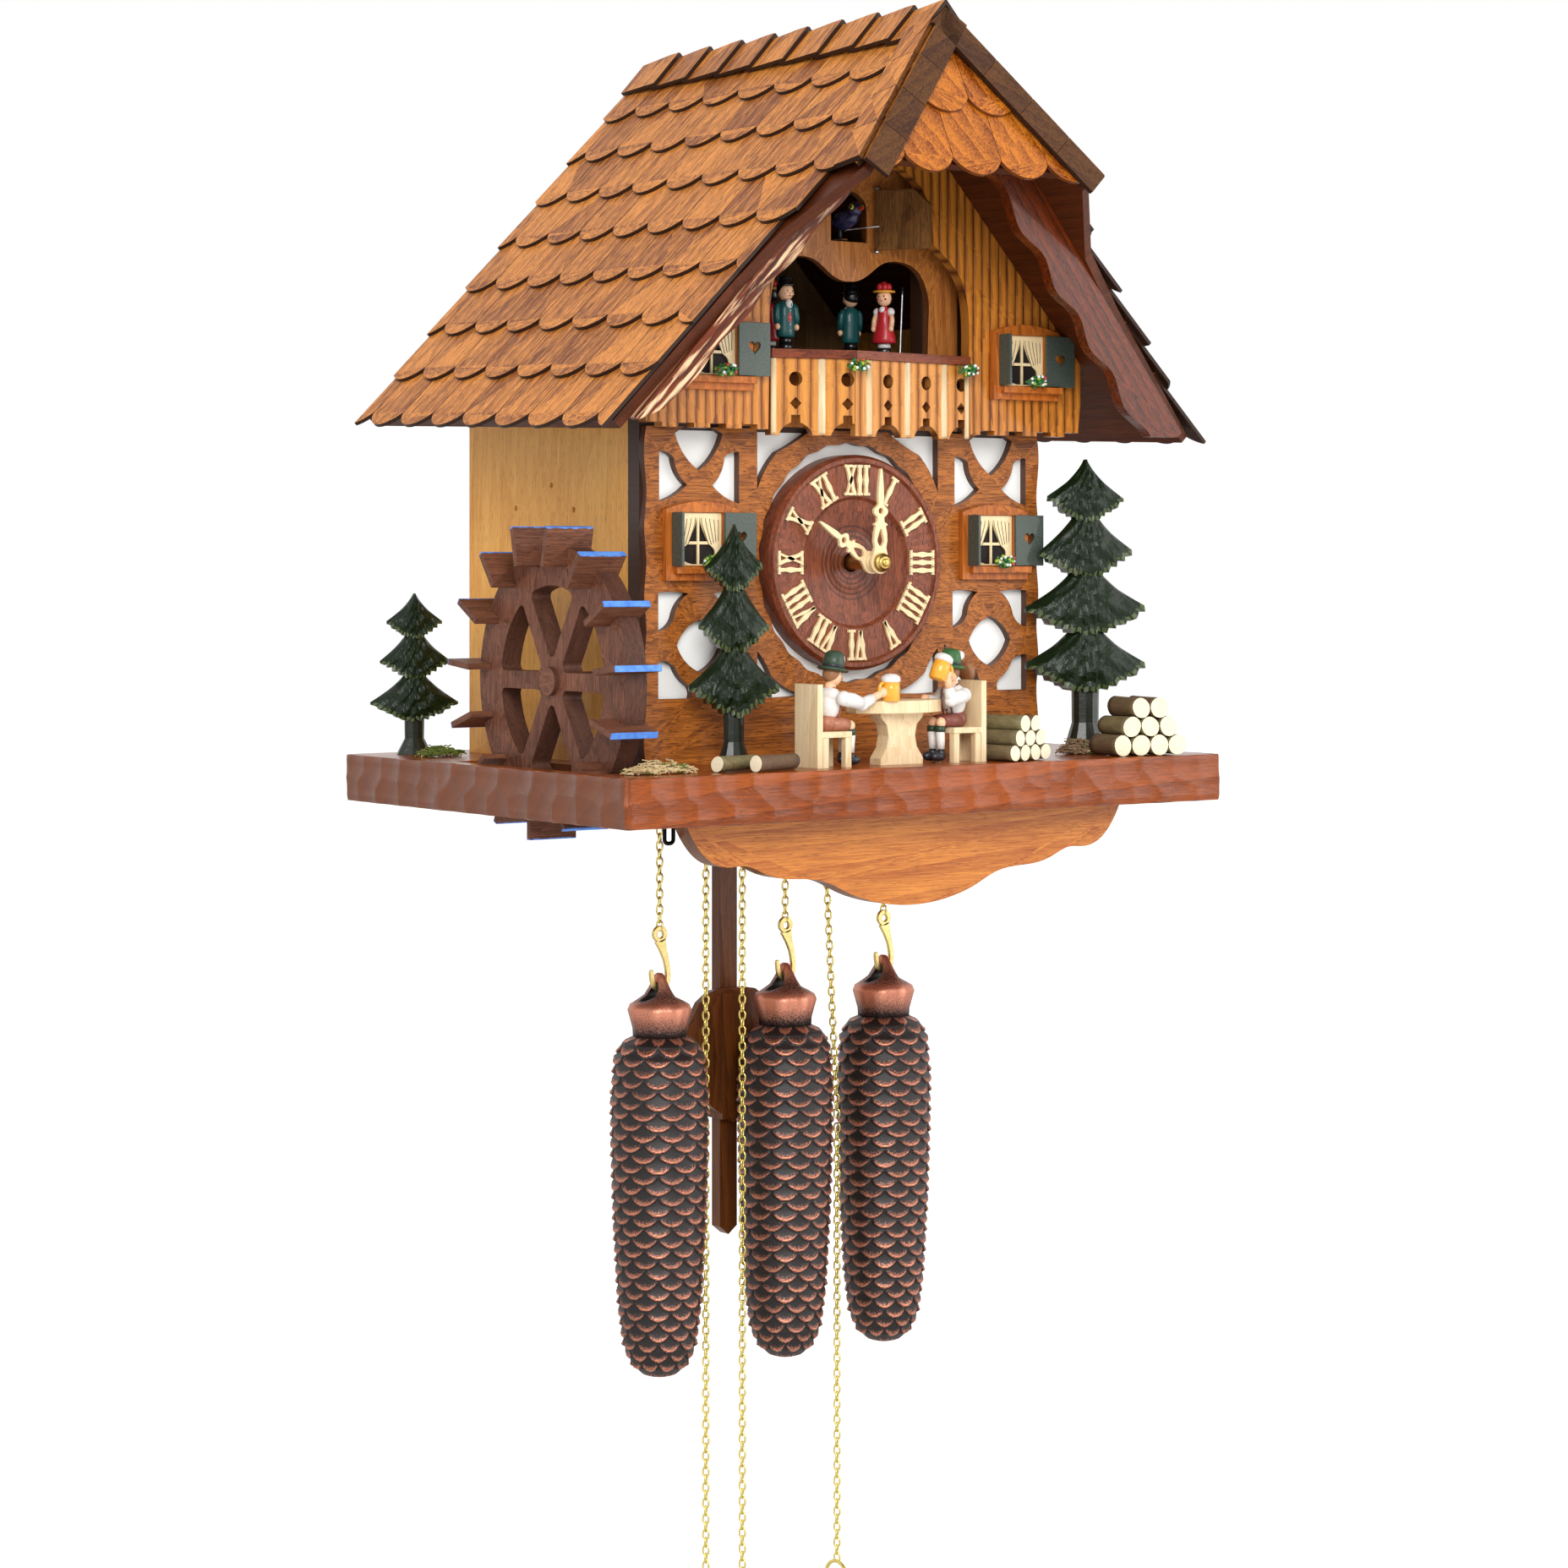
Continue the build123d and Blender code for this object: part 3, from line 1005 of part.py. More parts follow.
def pendulum_bob():
    """A carved leaf with a thick middle rib that slides on the rod."""
    z = BOB_CENTRE
    half, tall = BOB_HALF_WIDTH, BOB_HEIGHT / 2
    right = [(7, tall), (13, tall - 1), (20, tall - 6), (half - 3, tall - 17), (half, tall - 30),
             (half - 2, -8),
             (half - 9, -18), (12, -tall + 8), (0, -tall)]
    points = [(0, tall)] + right + [(-side, up) for side, up in reversed(right[:-1])]
    leaf = polygon(points)
    y = PENDULUM_PLANE + PENDULUM_ROD[1] / 2
    plate = extrude(Plane.XZ.offset(y + 0.15) * Pos(0, z) * leaf, BOB_THICKNESS)
    rib = block((-7.2, 7.2), (-y - BOB_THICKNESS - 1.2, -y + PENDULUM_ROD[1] + 2.6),
                (z - tall + 2, z + tall - 2))
    room = block((-PENDULUM_ROD[0] / 2 - 0.15, PENDULUM_ROD[0] / 2 + 0.15),
                 (-y - 0.15, -y + PENDULUM_ROD[1] + 0.15),
                 (z - 99, z + 99))
    return plate + rib - room


# ---------------------------------------------------------------- water wheel
def wheel_place():
    x, y, z = WHEEL_CENTRE
    return Pos(x, y, z)


def wheel_window():
    """One of the six rounded sector cut-outs, in the wheel's own plane."""
    inner, outer = WHEEL_WINDOW_RADII
    half_angle = radians(180 / WHEEL_WINDOWS)
    edge = WHEEL_SPOKE / 2
    angle_in = half_angle - asin(edge / inner) if edge < inner else 0.1
    angle_out = half_angle - asin(edge / outer)
    corners = [(inner * cos(-angle_in), inner * sin(-angle_in)),
               (outer * cos(-angle_out), outer * sin(-angle_out)),
               (outer * cos(angle_out), outer * sin(angle_out)),
               (inner * cos(angle_in), inner * sin(angle_in))]
    face = outline_face([Line(corners[0], corners[1]), ThreePointArc(corners[1], (outer, 0), corners[2]),
                         Line(corners[2], corners[3]), Line(corners[3], corners[0])])
    return fillet(face.vertices(), 2.6)


def wheel_discs():
    face = Circle(WHEEL_DISC_RADIUS) - Circle(AXLE_RADIUS)
    window = wheel_window()
    for index in range(WHEEL_WINDOWS):
        face -= Rot(0, 0, 30 + index * 360 / WHEEL_WINDOWS) * window
    slot_depth = WHEEL_DISC_RADIUS - WHEEL_PADDLE_INNER
    for index in range(WHEEL_PADDLES):
        slot = Pos(WHEEL_PADDLE_INNER + slot_depth / 2 + 1, 0) * Rectangle(
            slot_depth + 2 + FIT, WHEEL_PADDLE_THICKNESS + FIT)
        face -= Rot(0, 0, index * 360 / WHEEL_PADDLES + 6) * slot
    outer = extrude(Plane.YZ.offset(-WHEEL_DISC_THICKNESS) * face, WHEEL_DISC_THICKNESS - 0.02)
    inner = extrude(Plane.YZ * face, WHEEL_DISC_THICKNESS)
    wall = -(CASE_HALF_WIDTH + WHEEL_CENTRE[0])
    hub_end = -WHEEL_DISC_THICKNESS - 2.5
    hub = cylinder_between((hub_end, 0, 0), (-WHEEL_DISC_THICKNESS - 0.02, 0, 0), WHEEL_HUB_RADIUS)
    axle = cylinder_between((-WHEEL_DISC_THICKNESS - 0.02, 0, 0), (wall + SIDE_THICKNESS - 1, 0, 0),
                            AXLE_RADIUS)
    return [wheel_place() * solid for solid in (outer, inner, hub + axle)]


def wheel_paddles():
    paddles = []
    for index in range(WHEEL_PADDLES):
        paddle = block(WHEEL_PADDLE_SPAN, (WHEEL_PADDLE_INNER + 0.1, WHEEL_PADDLE_RADIUS),
                       (-WHEEL_PADDLE_THICKNESS / 2, WHEEL_PADDLE_THICKNESS / 2))
        paddles.append(wheel_place() * Rot(index * 360 / WHEEL_PADDLES + 6, 0, 0) * paddle)
    return paddles


# ---------------------------------------------------------------- cuckoo
def cuckoo_door():
    """The door, standing open on its hinge pin at the right of the hole, with a wire staple."""
    closed = block((DOOR_HINGE_X - DOOR_WIDTH, DOOR_HINGE_X - 1.0),
                   (-CASE_FRONT - DOOR_THICKNESS - FIT, -CASE_FRONT - FIT),
                    (DOOR_BOTTOM, DOOR_BOTTOM + DOOR_HEIGHT))
    crown = polygon([(DOOR_HINGE_X - DOOR_WIDTH - 1, DOOR_BOTTOM + DOOR_HEIGHT + 1),
                     (DOOR_HINGE_X - DOOR_WIDTH - 1, DOOR_BOTTOM + DOOR_HEIGHT - 8),
                     (DOOR_HINGE_X - DOOR_WIDTH + 5.5, DOOR_BOTTOM + DOOR_HEIGHT - 1.8),
                     (DOOR_HINGE_X - DOOR_WIDTH + 9, DOOR_BOTTOM + DOOR_HEIGHT + 1)])
    closed -= board(crown, CASE_FRONT + DOOR_THICKNESS + 2, DOOR_THICKNESS + 4)
    pin_y = door_axis()[1]
    low, high = DOOR_BOTTOM - 1.4, DOOR_BOTTOM + DOOR_HEIGHT + 1.4
    pin = cylinder_between((DOOR_HINGE_X, pin_y, low), (DOOR_HINGE_X, pin_y, high), HINGE_PIN_RADIUS)
    strap = block((DOOR_HINGE_X - 3.0, DOOR_HINGE_X), (pin_y - 0.6, pin_y + 0.4),
                  (DOOR_BOTTOM + 4, DOOR_BOTTOM + 27))
    door = closed + pin + strap
    return Pos(DOOR_HINGE_X, pin_y, 0) * Rot(0, 0, DOOR_OPEN_ANGLE) * Pos(-DOOR_HINGE_X, -pin_y, 0) * door


def door_axis():
    return (DOOR_HINGE_X, -CASE_FRONT - DOOR_THICKNESS / 2 - FIT, DOOR_BOTTOM)


def door_eyes():
    """The two screw eyes in the arch board that hold the hinge pin."""
    x, y, _ = door_axis()
    eyes = []
    for z in (DOOR_BOTTOM - 0.9, DOOR_BOTTOM + DOOR_HEIGHT + 0.9):
        eye = Pos(x, y, z) * Cylinder(1.7, 0.8)
        eye -= Pos(x, y, z) * Cylinder(HINGE_PIN_RADIUS + RUNNING_CLEARANCE, 4)
        stem = block((x - 0.6, x + 0.6), (y + 1.3, -CASE_FRONT - 0.02), (z - 0.4, z + 0.4))
        eyes.append(eye + stem)
    return eyes


BIRD_AT = (-1.5, -170.0, 246.0)


def cuckoo_bird():
    x, y, z = BIRD_AT
    body = Pos(x, y, z) * Rot(0, 0, 0) * scale(Sphere(1), by=(4.2, 8.2, 4.4))
    head = Pos(x, y - 7.0, z + 4.4) * Sphere(3.5)
    beak_seat = Plane(origin=(x, y - 9.6, z + 4.2), z_dir=(0, -1, 0))
    beak = beak_seat * Cone(1.5, 0.3, 4.4, align=(Align.CENTER, Align.CENTER, Align.MIN))
    tail = block((x - 1.8, x + 1.8), (y + 5, y + 15), (z - 1.6, z + 0.4))
    stem = cylinder_between((x, y + 2, z - 6.0), (x, y + 2, z - 2), 0.9)
    tray = block((x - 2, x + 2), (y, y + 44), (z - 6.6, z - 5.4))
    link = cylinder_between((x + 1, y + 1, z - 4.6), (x + 9.0, y - 13, z - 3.6), 0.45)
    link += cylinder_between((x, y + 2, z - 5.5), (x + 1, y + 1, z - 4.6), 0.45)
    return body + head + beak + tail + stem + tray + link


# ---------------------------------------------------------------- figures
def figure(kind, height):
    """A small turned doll standing on z = 0, facing -Y."""
    k = height / 31.5
    if kind == "man":
        legs = cylinder_between((0, 0, 0), (0, 0, 3 * k), 2.6)
        coat = Pos(0, 0, 3 * k) * Cone(4.6, 3.6, 17 * k, align=(Align.CENTER, Align.CENTER, Align.MIN))
        arms = Pos(-5.2, -0.6, 13 * k) * Box(2.8, 3.4, 11) + Pos(5.2, -0.6, 13 * k) * Box(2.8, 3.4, 11)
        hat = Pos(0, 0, 27.6 * k) * Cylinder(4.4, 1.0) + Pos(0, 0, 29.6 * k) * Cylinder(3.0, 3.6)
    else:
        legs = cylinder_between((0, 0, 0), (0, 0, 3 * k), 2.6)
        coat = Pos(0, 0, 3 * k) * Cone(6.4, 3.0, 17 * k, align=(Align.CENTER, Align.CENTER, Align.MIN))
        arms = Pos(-4.4, -1.0, 14 * k) * Box(2.6, 3.2, 9) + Pos(4.4, -1.0, 14 * k) * Box(2.6, 3.2, 9)
        hat = Pos(0, 0, 27.4 * k) * Cylinder(5.2, 1.0) + Pos(0, 0, 29.2 * k) * Cylinder(3.6, 3.4)
    head = Pos(0, 0, 24 * k) * Sphere(4.0)
    return legs + coat + arms + head + hat


def dancers():
    floor_top = STAGE_FLOOR_TOP + SEAT + DANCER_DISC_THICKNESS
    return [Pos(x, y, floor_top + 0.02) * Rot(0, 0, turn) * figure(kind, DANCER_HEIGHT)
            for kind, x, y, turn in DANCERS]


def dancer_platform():
    low = STAGE_FLOOR_TOP + SEAT
    disc = Pos(*DANCER_AXIS, low) * Cylinder(DANCER_DISC_RADIUS, DANCER_DISC_THICKNESS,
                                             align=(Align.CENTER, Align.CENTER, Align.MIN))
    shaft = cylinder_between((*DANCER_AXIS, STAGE_FLOOR_TOP - STAGE_FLOOR_THICKNESS + 0.1),
                             (*DANCER_AXIS, low + 1), 3.0)
    return disc + shaft


def drinker(side):
    """A seated doll at one end of the table; side is -1 on the left, facing the table."""
    x, y = chair_centre(side), TABLE_CENTRE[1]
    toward = -side
    seat = CHAIR_SEAT_HEIGHT + SEAT
    hips = Pos(x, y, seat + 5.2) * Sphere(5.2)
    chest = Pos(x + toward * 1.6, y, seat + 13.4) * Sphere(6.2)
    thighs = cylinder_between((x, y, seat + 3.8), (x + toward * 11.5, y, seat + 3.4), 3.4)
    shins = cylinder_between((x + toward * 11.5, y, seat + 3.4), (x + toward * 12.0, y, 2.2), 2.5)
    shoes = block(sorted((x + toward * 9.6, x + toward * 17.0)), (y - 2.8, y + 2.8), (0.05, 3.6))
    neck = cylinder_between((x + toward * 2.4, y, seat + 17), (x + toward * 4.0, y, seat + 23), 2.8)
    head = Pos(x + toward * 4.2, y, seat + 25.4) * Sphere(5.1)
    brim = Pos(x + toward * 4.0, y, seat + 28.8) * Cylinder(7.4, 1.3)
    crown = Pos(x + toward * 4.0, y, seat + 33.0) * Cone(5.4, 3.2, 8.4)
    return hips + chest + thighs + shins + shoes + head + brim + crown + neck


def chair_centre(side):
    return TABLE_CENTRE[0] + side * (TABLE_HALF_WIDTH + (15.4 if side < 0 else 10.2))


def shoulder(side):
    return (chair_centre(side) - side * 2.4, TABLE_CENTRE[1] - 9.6, CHAIR_SEAT_HEIGHT + 15.5)


def drinker_arm(side):
    """Upper arm, forearm and mug beside the body, on a pin at the shoulder."""
    sx, sy, sz = shoulder(side)
    toward = -side
    raised = side > 0
    elbow = (sx + toward * (8.0 if raised else 11.0), sy, sz - (2.0 if raised else 1.2))
    hand_at = (sx + toward * (10.0 if raised else 23.0), sy, sz + (9.0 if raised else 2.4))
    arm = cylinder_between((sx, sy - 3.1, sz), (sx, sy + 3.1, sz), 3.4)
    arm += cylinder_between((sx, sy, sz), elbow, 2.6)
    arm += cylinder_between((elbow[0], sy - 2.8, elbow[2]), (elbow[0], sy + 2.8, elbow[2]), 2.9)
    arm += cylinder_between(elbow, (hand_at[0] + toward * 1.5, sy, hand_at[2] + 0.4), 2.2)
    mug_at = (hand_at[0] + toward * (3.6 if raised else 4.6), sy, hand_at[2] + (3.4 if raised else 1.6))
    mug = Pos(*mug_at) * Rot(0, toward * (16 if raised else 0), 0) * Cylinder(4.5, 11.4)
    return arm + mug


def table_and_chairs():
    x, y = TABLE_CENTRE
    top_face = outline_face([Line((-TABLE_HALF_WIDTH, 6), (TABLE_HALF_WIDTH, 6)),
                             Line((TABLE_HALF_WIDTH, 6), (TABLE_HALF_WIDTH, -2)),
                             ThreePointArc((TABLE_HALF_WIDTH, -2), (0, -13), (-TABLE_HALF_WIDTH, -2)),
                             Line((-TABLE_HALF_WIDTH, -2), (-TABLE_HALF_WIDTH, 6))])
    top = extrude(Plane.XY.offset(TABLE_TOP_HEIGHT - TABLE_THICKNESS) * Pos(x, y) * top_face,
                  TABLE_THICKNESS)
    side = [(12, 0), (12, 3), (8.5, 8), (7.5, 13), (8.5, 18), (12, 21.5),
            (12, TABLE_TOP_HEIGHT - TABLE_THICKNESS)]
    pedestal = board(Pos(x, 0) * polygon(side + [(-px, pz) for px, pz in reversed(side)]), -y + 4, 8)
    pieces = [top, pedestal]
    for end in (-1, 1):
        centre = chair_centre(end)
        half = 8.0
        back = centre + end * (half + 3.0)
        seat = block((centre - half, centre + half),
                     (y - CHAIR_WIDTH / 2, y + CHAIR_WIDTH / 2),
                      (CHAIR_SEAT_HEIGHT - 2.6, CHAIR_SEAT_HEIGHT))
        legs = [block((centre + dx - 1.6, centre + dx + 1.6), (y + dy - 1.6, y + dy + 1.6),
                      (0, CHAIR_SEAT_HEIGHT - 2.5))
                for dx in (-half + 1.8, half - 1.8)
                for dy in (-CHAIR_WIDTH / 2 + 1.8, CHAIR_WIDTH / 2 - 1.8)]
        spans = sorted((back, back - end * 3.0))
        rest = block(spans, (y - CHAIR_WIDTH / 2, y + CHAIR_WIDTH / 2), (0, CHAIR_BACK_HEIGHT))
        chair = seat + rest
        for leg in legs:
            chair += leg
        pieces.append(chair)
    return pieces


# ---------------------------------------------------------------- garden
def fir_tree(x, y, height, half_width, tiers):
    """A carved fir: a flared trunk and drooping tiers, wider than deep."""
    trunk_top = height * 0.28
    tree = Pos(x, y, 0) * Cone(half_width * 0.30, half_width * 0.20, trunk_top + 4,
                               align=(Align.CENTER, Align.CENTER, Align.MIN))
    step = (height - trunk_top) / (tiers + 0.35)
    for tier in range(round(tiers)):
        low = trunk_top + tier * step * 0.98
        radius = half_width * (1 - 0.78 * tier / (tiers + 0.3))
        rise = height - low if tier == tiers - 1 else step * 1.42
        neck = 0.6 if tier == tiers - 1 else radius * 0.30
        profile = [(0, low + 2.0), (radius * 0.92, low - 0.5), (radius, low + 1.5),
                   (radius * 0.52, low + rise * 0.42),
                   (neck, low + rise), (0, low + rise)]
        cone = revolve(Plane.XZ * polygon(profile), Axis.Z)
        tree += Pos(x, y, 0) * scale(cone, by=(1, TREE_DEPTH, 1))
    return tree


def log_pile(x, y, turn, radius):
    logs = []
    for row, count in enumerate((4, 3, 2)):
        height = radius + row * radius * sqrt(3) * 1.01
        for index in range(count):
            across = (index - (count - 1) / 2) * 2 * radius * 1.005
            log = cylinder_between((across, 0, height), (across, LOG_LENGTH, height), radius - 0.03)
            logs.append(Pos(x, y, 0.02) * Rot(0, 0, turn) * log)
    return logs


def loose_logs():
    ends = (((-115.0, -229.0), (-90.0, -221.5)), ((-99.5, -236.0), (-73.7, -228.5)))
    return [cylinder_between((*start, 3.7), (*end, 3.7), 3.65) for start, end in ends]


def straw_and_moss():
    """Low heaps round the trees and beside the wheel."""
    heaps = []
    for x, y, rx, ry, h in ((-140.0, -222.5, 19.0, 5.0, 7.0), (-145.0, -46.0, 12.0, 7.0, 6.0),
                            (112.0, -204.0, 13.0, 6.0, 9.0), (141.0, -203.5, 9.0, 5.0, 6.0)):
        heap = Pos(x, y, 0.02) * scale(Sphere(1), by=(rx, ry, h))
        heaps.append(heap & block((x - rx - 1, x + rx + 1), (y - ry - 1, y + ry + 1), (0.02, h + 1)))
    return heaps


LEVER_AT = (-121.5, -205.0)


def shutoff_lever():
    """The bent wire under the base that silences the call."""
    x, y = LEVER_AT
    low = -DECK_THICKNESS - 9.5
    path = FilletPolyline((x, y, -10.0), (x, y, low), (x - 4.6, y, low), (x - 4.6, y, low + 7.5),
                          radius=1.8)
    return sweep(Plane(origin=path @ 0, z_dir=path % 0) * Circle(0.9), path=path)


# ---------------------------------------------------------------- write every node
def main():
    os.makedirs("parts", exist_ok=True)
    deck = base_board()
    deck -= cylinder_between((*LEVER_AT, -DECK_THICKNESS - 1), (*LEVER_AT, -9.8), 0.9 + RUNNING_CLEARANCE)
    side = case_side()
    wheel_bore = wheel_place() * cylinder_between((0, 0, 0), (60, 0, 0), AXLE_RADIUS + RUNNING_CLEARANCE)
    save("base_board", deck)
    save("case_sides", mirrored(side) - wheel_bore, side)
    save("back_frame", back_frame())
    save("hanger_plate", hanger_plate())
    save("back_panel", back_panel())
    save("front_board", front_board())
    save("half_timber", half_timber())
    save("apron", apron())

    save("gable_board", gable_board())
    save("stage_arch", stage_arch())
    save("stage_floor", stage_floor())
    save("balcony_front", *balcony_facets())
    save("balcony_rail", *balcony_rail())

    roof = roof_board()
    save("roof_boards", roof, mirrored(roof), hip_board())
    shingles = side_shingles()
    edge_caps = hip_caps()
    save("roof_shingles", *shingles, *[mirrored(s) for s in shingles], *ridge_caps(),
         *edge_caps, *[mirrored(s) for s in edge_caps])
    save("hip_shingles", *hip_shingles())
    verge = verge_board()
    save("verge_boards", verge, mirrored(verge))

    frames, curtains, shutters, flowers = [], [], [], []
    under_roof = board(gable_face(150.0, 10.0, 310.0), 220.0, 60.0)
    for windows, front in ((LOWER_WINDOWS, CASE_FRONT), (UPPER_WINDOWS, GABLE_FRONT)):
        for x, z in windows:
            place = Pos(x, -front - 0.02, z)
            frames += [place * piece for piece in window_frame()]
            curtains.append(place * window_curtain())
            shutters += [part for piece in window_shutters() for part in common(place * piece, under_roof)]
            flowers.append(flower_box(x + 1.5, z + 8.6, -front - 8.7))
    for x, y in ((BALCONY_CORNER[0] - 1, -BALCONY_CORNER[1] - 4.2), (53.0, -GABLE_FRONT - 5.6)):
        flowers.append(flower_box(x, 180.0, y))
    save("window_frames", *frames)
    save("window_curtains", *curtains)
    save("window_shutters", *shutters)
    save("flower_boxes", *flowers)

    save("dial_plate", dial_plate())
    save("dial_numerals", *dial_numerals())
    save("hour_hand", *hour_hand())
    save("minute_hand", *minute_hand())
    save("hand_nut", hand_nut())

    save("movement_frame", *movement_frame())
    save("bellows", *bellows())
    save("gong", *gong())
    save("gong_hammer", gong_hammer())
    save("music_movement", *music_movement())
    for name, (centre, *_) in SPROCKETS.items():
        save(f"sprocket_{name}", sprocket(centre))
        save(f"weight_{name}", weight(name))
        save(f"hook_chain_{name}", *hook_and_chain(name))
        save(f"free_chain_{name}", *free_chain(name))
    save("pendulum_rod", pendulum_rod())
    save("pendulum_bob", pendulum_bob())

    save("wheel_discs", *wheel_discs())
    save("wheel_paddles", *wheel_paddles())
    save("cuckoo_door", cuckoo_door())
    save("door_eyes", *door_eyes())
    save("cuckoo_bird", cuckoo_bird())
    save("dancer_platform", dancer_platform())
    save("dancers", *dancers())
    save("drinker_bodies", drinker(-1), drinker(1))
    save("drinker_left_arm", drinker_arm(-1))
    save("drinker_right_arm", drinker_arm(1))
    save("table_and_chairs", *table_and_chairs())
    save("fir_trees", *[fir_tree(*tree) for tree in TREES])
    save("log_piles", *[log for pile in LOG_PILES for log in log_pile(*pile)], *loose_logs())
    save("straw_and_moss", *straw_and_moss())
    save("shutoff_lever", shutoff_lever())


main()
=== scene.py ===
# %% [markdown]
# # A chalet cuckoo clock, dressed in Blender
# The clock's solids come packed in one fixed frame: metres, Z up, +Y to the wall, the hanging hole
# at the origin. This lesson gives each of them a finish, and makes new meshes for what a carver,
# a caster or a chain maker would shape more finely than a plain solid does.

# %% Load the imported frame
import math
import random

import bmesh
import bpy
from mathutils import Matrix, Vector, noise


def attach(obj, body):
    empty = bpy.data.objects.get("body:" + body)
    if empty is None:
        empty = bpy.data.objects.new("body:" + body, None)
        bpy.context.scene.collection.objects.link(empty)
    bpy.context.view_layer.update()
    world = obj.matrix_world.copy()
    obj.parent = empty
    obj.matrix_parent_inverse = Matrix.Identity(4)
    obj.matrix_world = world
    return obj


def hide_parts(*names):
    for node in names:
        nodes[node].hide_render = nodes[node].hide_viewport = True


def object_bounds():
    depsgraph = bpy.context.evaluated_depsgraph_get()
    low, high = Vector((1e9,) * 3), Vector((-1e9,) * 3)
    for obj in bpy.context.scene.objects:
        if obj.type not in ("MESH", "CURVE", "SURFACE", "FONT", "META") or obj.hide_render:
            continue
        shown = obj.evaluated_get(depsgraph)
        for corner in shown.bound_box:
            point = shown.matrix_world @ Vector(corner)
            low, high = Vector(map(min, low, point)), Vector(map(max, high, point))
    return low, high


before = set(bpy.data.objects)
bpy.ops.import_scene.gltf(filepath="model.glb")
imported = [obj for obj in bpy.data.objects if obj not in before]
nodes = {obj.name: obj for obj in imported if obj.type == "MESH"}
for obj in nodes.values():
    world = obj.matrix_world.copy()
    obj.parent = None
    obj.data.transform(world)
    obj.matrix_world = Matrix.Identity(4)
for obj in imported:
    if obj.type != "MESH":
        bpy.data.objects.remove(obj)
cad_low, cad_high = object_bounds()
print("nodes", len(nodes), "box", [round(v, 4) for v in (*cad_low, *cad_high)])

# %% [markdown]
# A clock maker measures from the deck that carries everything, so the lesson does too. `deck` turns
# millimetres from the middle of the deck's back edge into the frame's metres: x to the right,
# y towards the wall, z up from the deck's top.

# %% Deck millimetres to frame metres
DECK_TO_HOLE = (0.0, 21.0, -250.0)


def deck(x, y, z):
    return Vector(((x + DECK_TO_HOLE[0]) / 1000, (y + DECK_TO_HOLE[1]) / 1000, (z + DECK_TO_HOLE[2]) / 1000))


print("deck front left corner", deck(-170, -241.5, 0))

# %% [markdown]
# The camera stands to the left of the clock and a little above the deck, looks level, and is
# turned 36 degrees. A vertical lens shift keeps the upright edges parallel, as an architect's view
# camera does, in place of tilting down.

# %% Camera
CAMERA_SPOT, CAMERA_TURN = (-1004.8, -1502.7, 91.3), -36
LENS_MM, LENS_SHIFT = 82.79, -0.1422
camera_data = bpy.data.cameras.new("studio_camera")
camera = bpy.data.objects.new("studio_camera", camera_data)
bpy.context.scene.collection.objects.link(camera)
camera_data.sensor_width = 36.0
camera_data.lens = LENS_MM
camera_data.shift_y = LENS_SHIFT
camera_data.clip_start = 0.05
camera_data.clip_end = 30.0
camera.location = deck(*CAMERA_SPOT)
camera.rotation_euler = (math.radians(90), 0, math.radians(CAMERA_TURN))
bpy.context.scene.camera = camera
print("camera at", [round(v, 4) for v in camera.location])

# %% [markdown]
# The light is a plain studio: an even pale world, one large soft lamp high on the camera's left,
# and a weaker one on the right to open the shadows under the roof. The world is white only where the
# camera or a glossy surface sees it, so the backdrop is white and the object isn't over-lit.

# %% World and lamps
bpy.context.scene.view_settings.view_transform = "Standard"
world = bpy.data.worlds.new("studio_world")
bpy.context.scene.world = world
world.use_nodes = True
wn, wl = world.node_tree.nodes, world.node_tree.links
wn.clear()
sky_fill = wn.new("ShaderNodeBackground")
sky_fill.inputs["Color"].default_value = (1.0, 0.985, 0.965, 1)
sky_fill.inputs["Strength"].default_value = 0.68
sky_seen = wn.new("ShaderNodeBackground")
sky_seen.inputs["Color"].default_value = (1, 1, 1, 1)
sky_seen.inputs["Strength"].default_value = 1.0
rays = wn.new("ShaderNodeLightPath")
either = wn.new("ShaderNodeMath")
either.operation = "MAXIMUM"
all_three = wn.new("ShaderNodeMath")
all_three.operation = "MAXIMUM"
wl.new(rays.outputs["Is Camera Ray"], either.inputs[0])
wl.new(rays.outputs["Is Glossy Ray"], either.inputs[1])
wl.new(either.outputs[0], all_three.inputs[0])
wl.new(rays.outputs["Is Transmission Ray"], all_three.inputs[1])
world_mix = wn.new("ShaderNodeMixShader")
wl.new(all_three.outputs[0], world_mix.inputs[0])
wl.new(sky_fill.outputs[0], world_mix.inputs[1])
wl.new(sky_seen.outputs[0], world_mix.inputs[2])
world_out = wn.new("ShaderNodeOutputWorld")
wl.new(world_mix.outputs[0], world_out.inputs["Surface"])


def soft_lamp(name, place, aim, size, power):
    """A square area lamp that looks at a point."""
    data = bpy.data.lights.new(name, "AREA")
    data.size = size
    data.energy = power
    lamp = bpy.data.objects.new(name, data)
    bpy.context.scene.collection.objects.link(lamp)
    lamp.location = place
    lamp.rotation_euler = (Vector(aim) - Vector(place)).to_track_quat("-Z", "Y").to_euler()


middle = Vector((0.0, -0.1, -0.2))
soft_lamp("key_lamp", (-1.25, -2.2, 0.85), middle, 1.2, 46)
soft_lamp("fill_lamp", (1.7, -1.7, 0.2), middle, 1.6, 17)

# %% [markdown]
# The clock hangs free, so the floor is a pale disc just under its pull rings. It glows a little for the
# camera, so that it meets the white world, and still takes the clock's shadow.

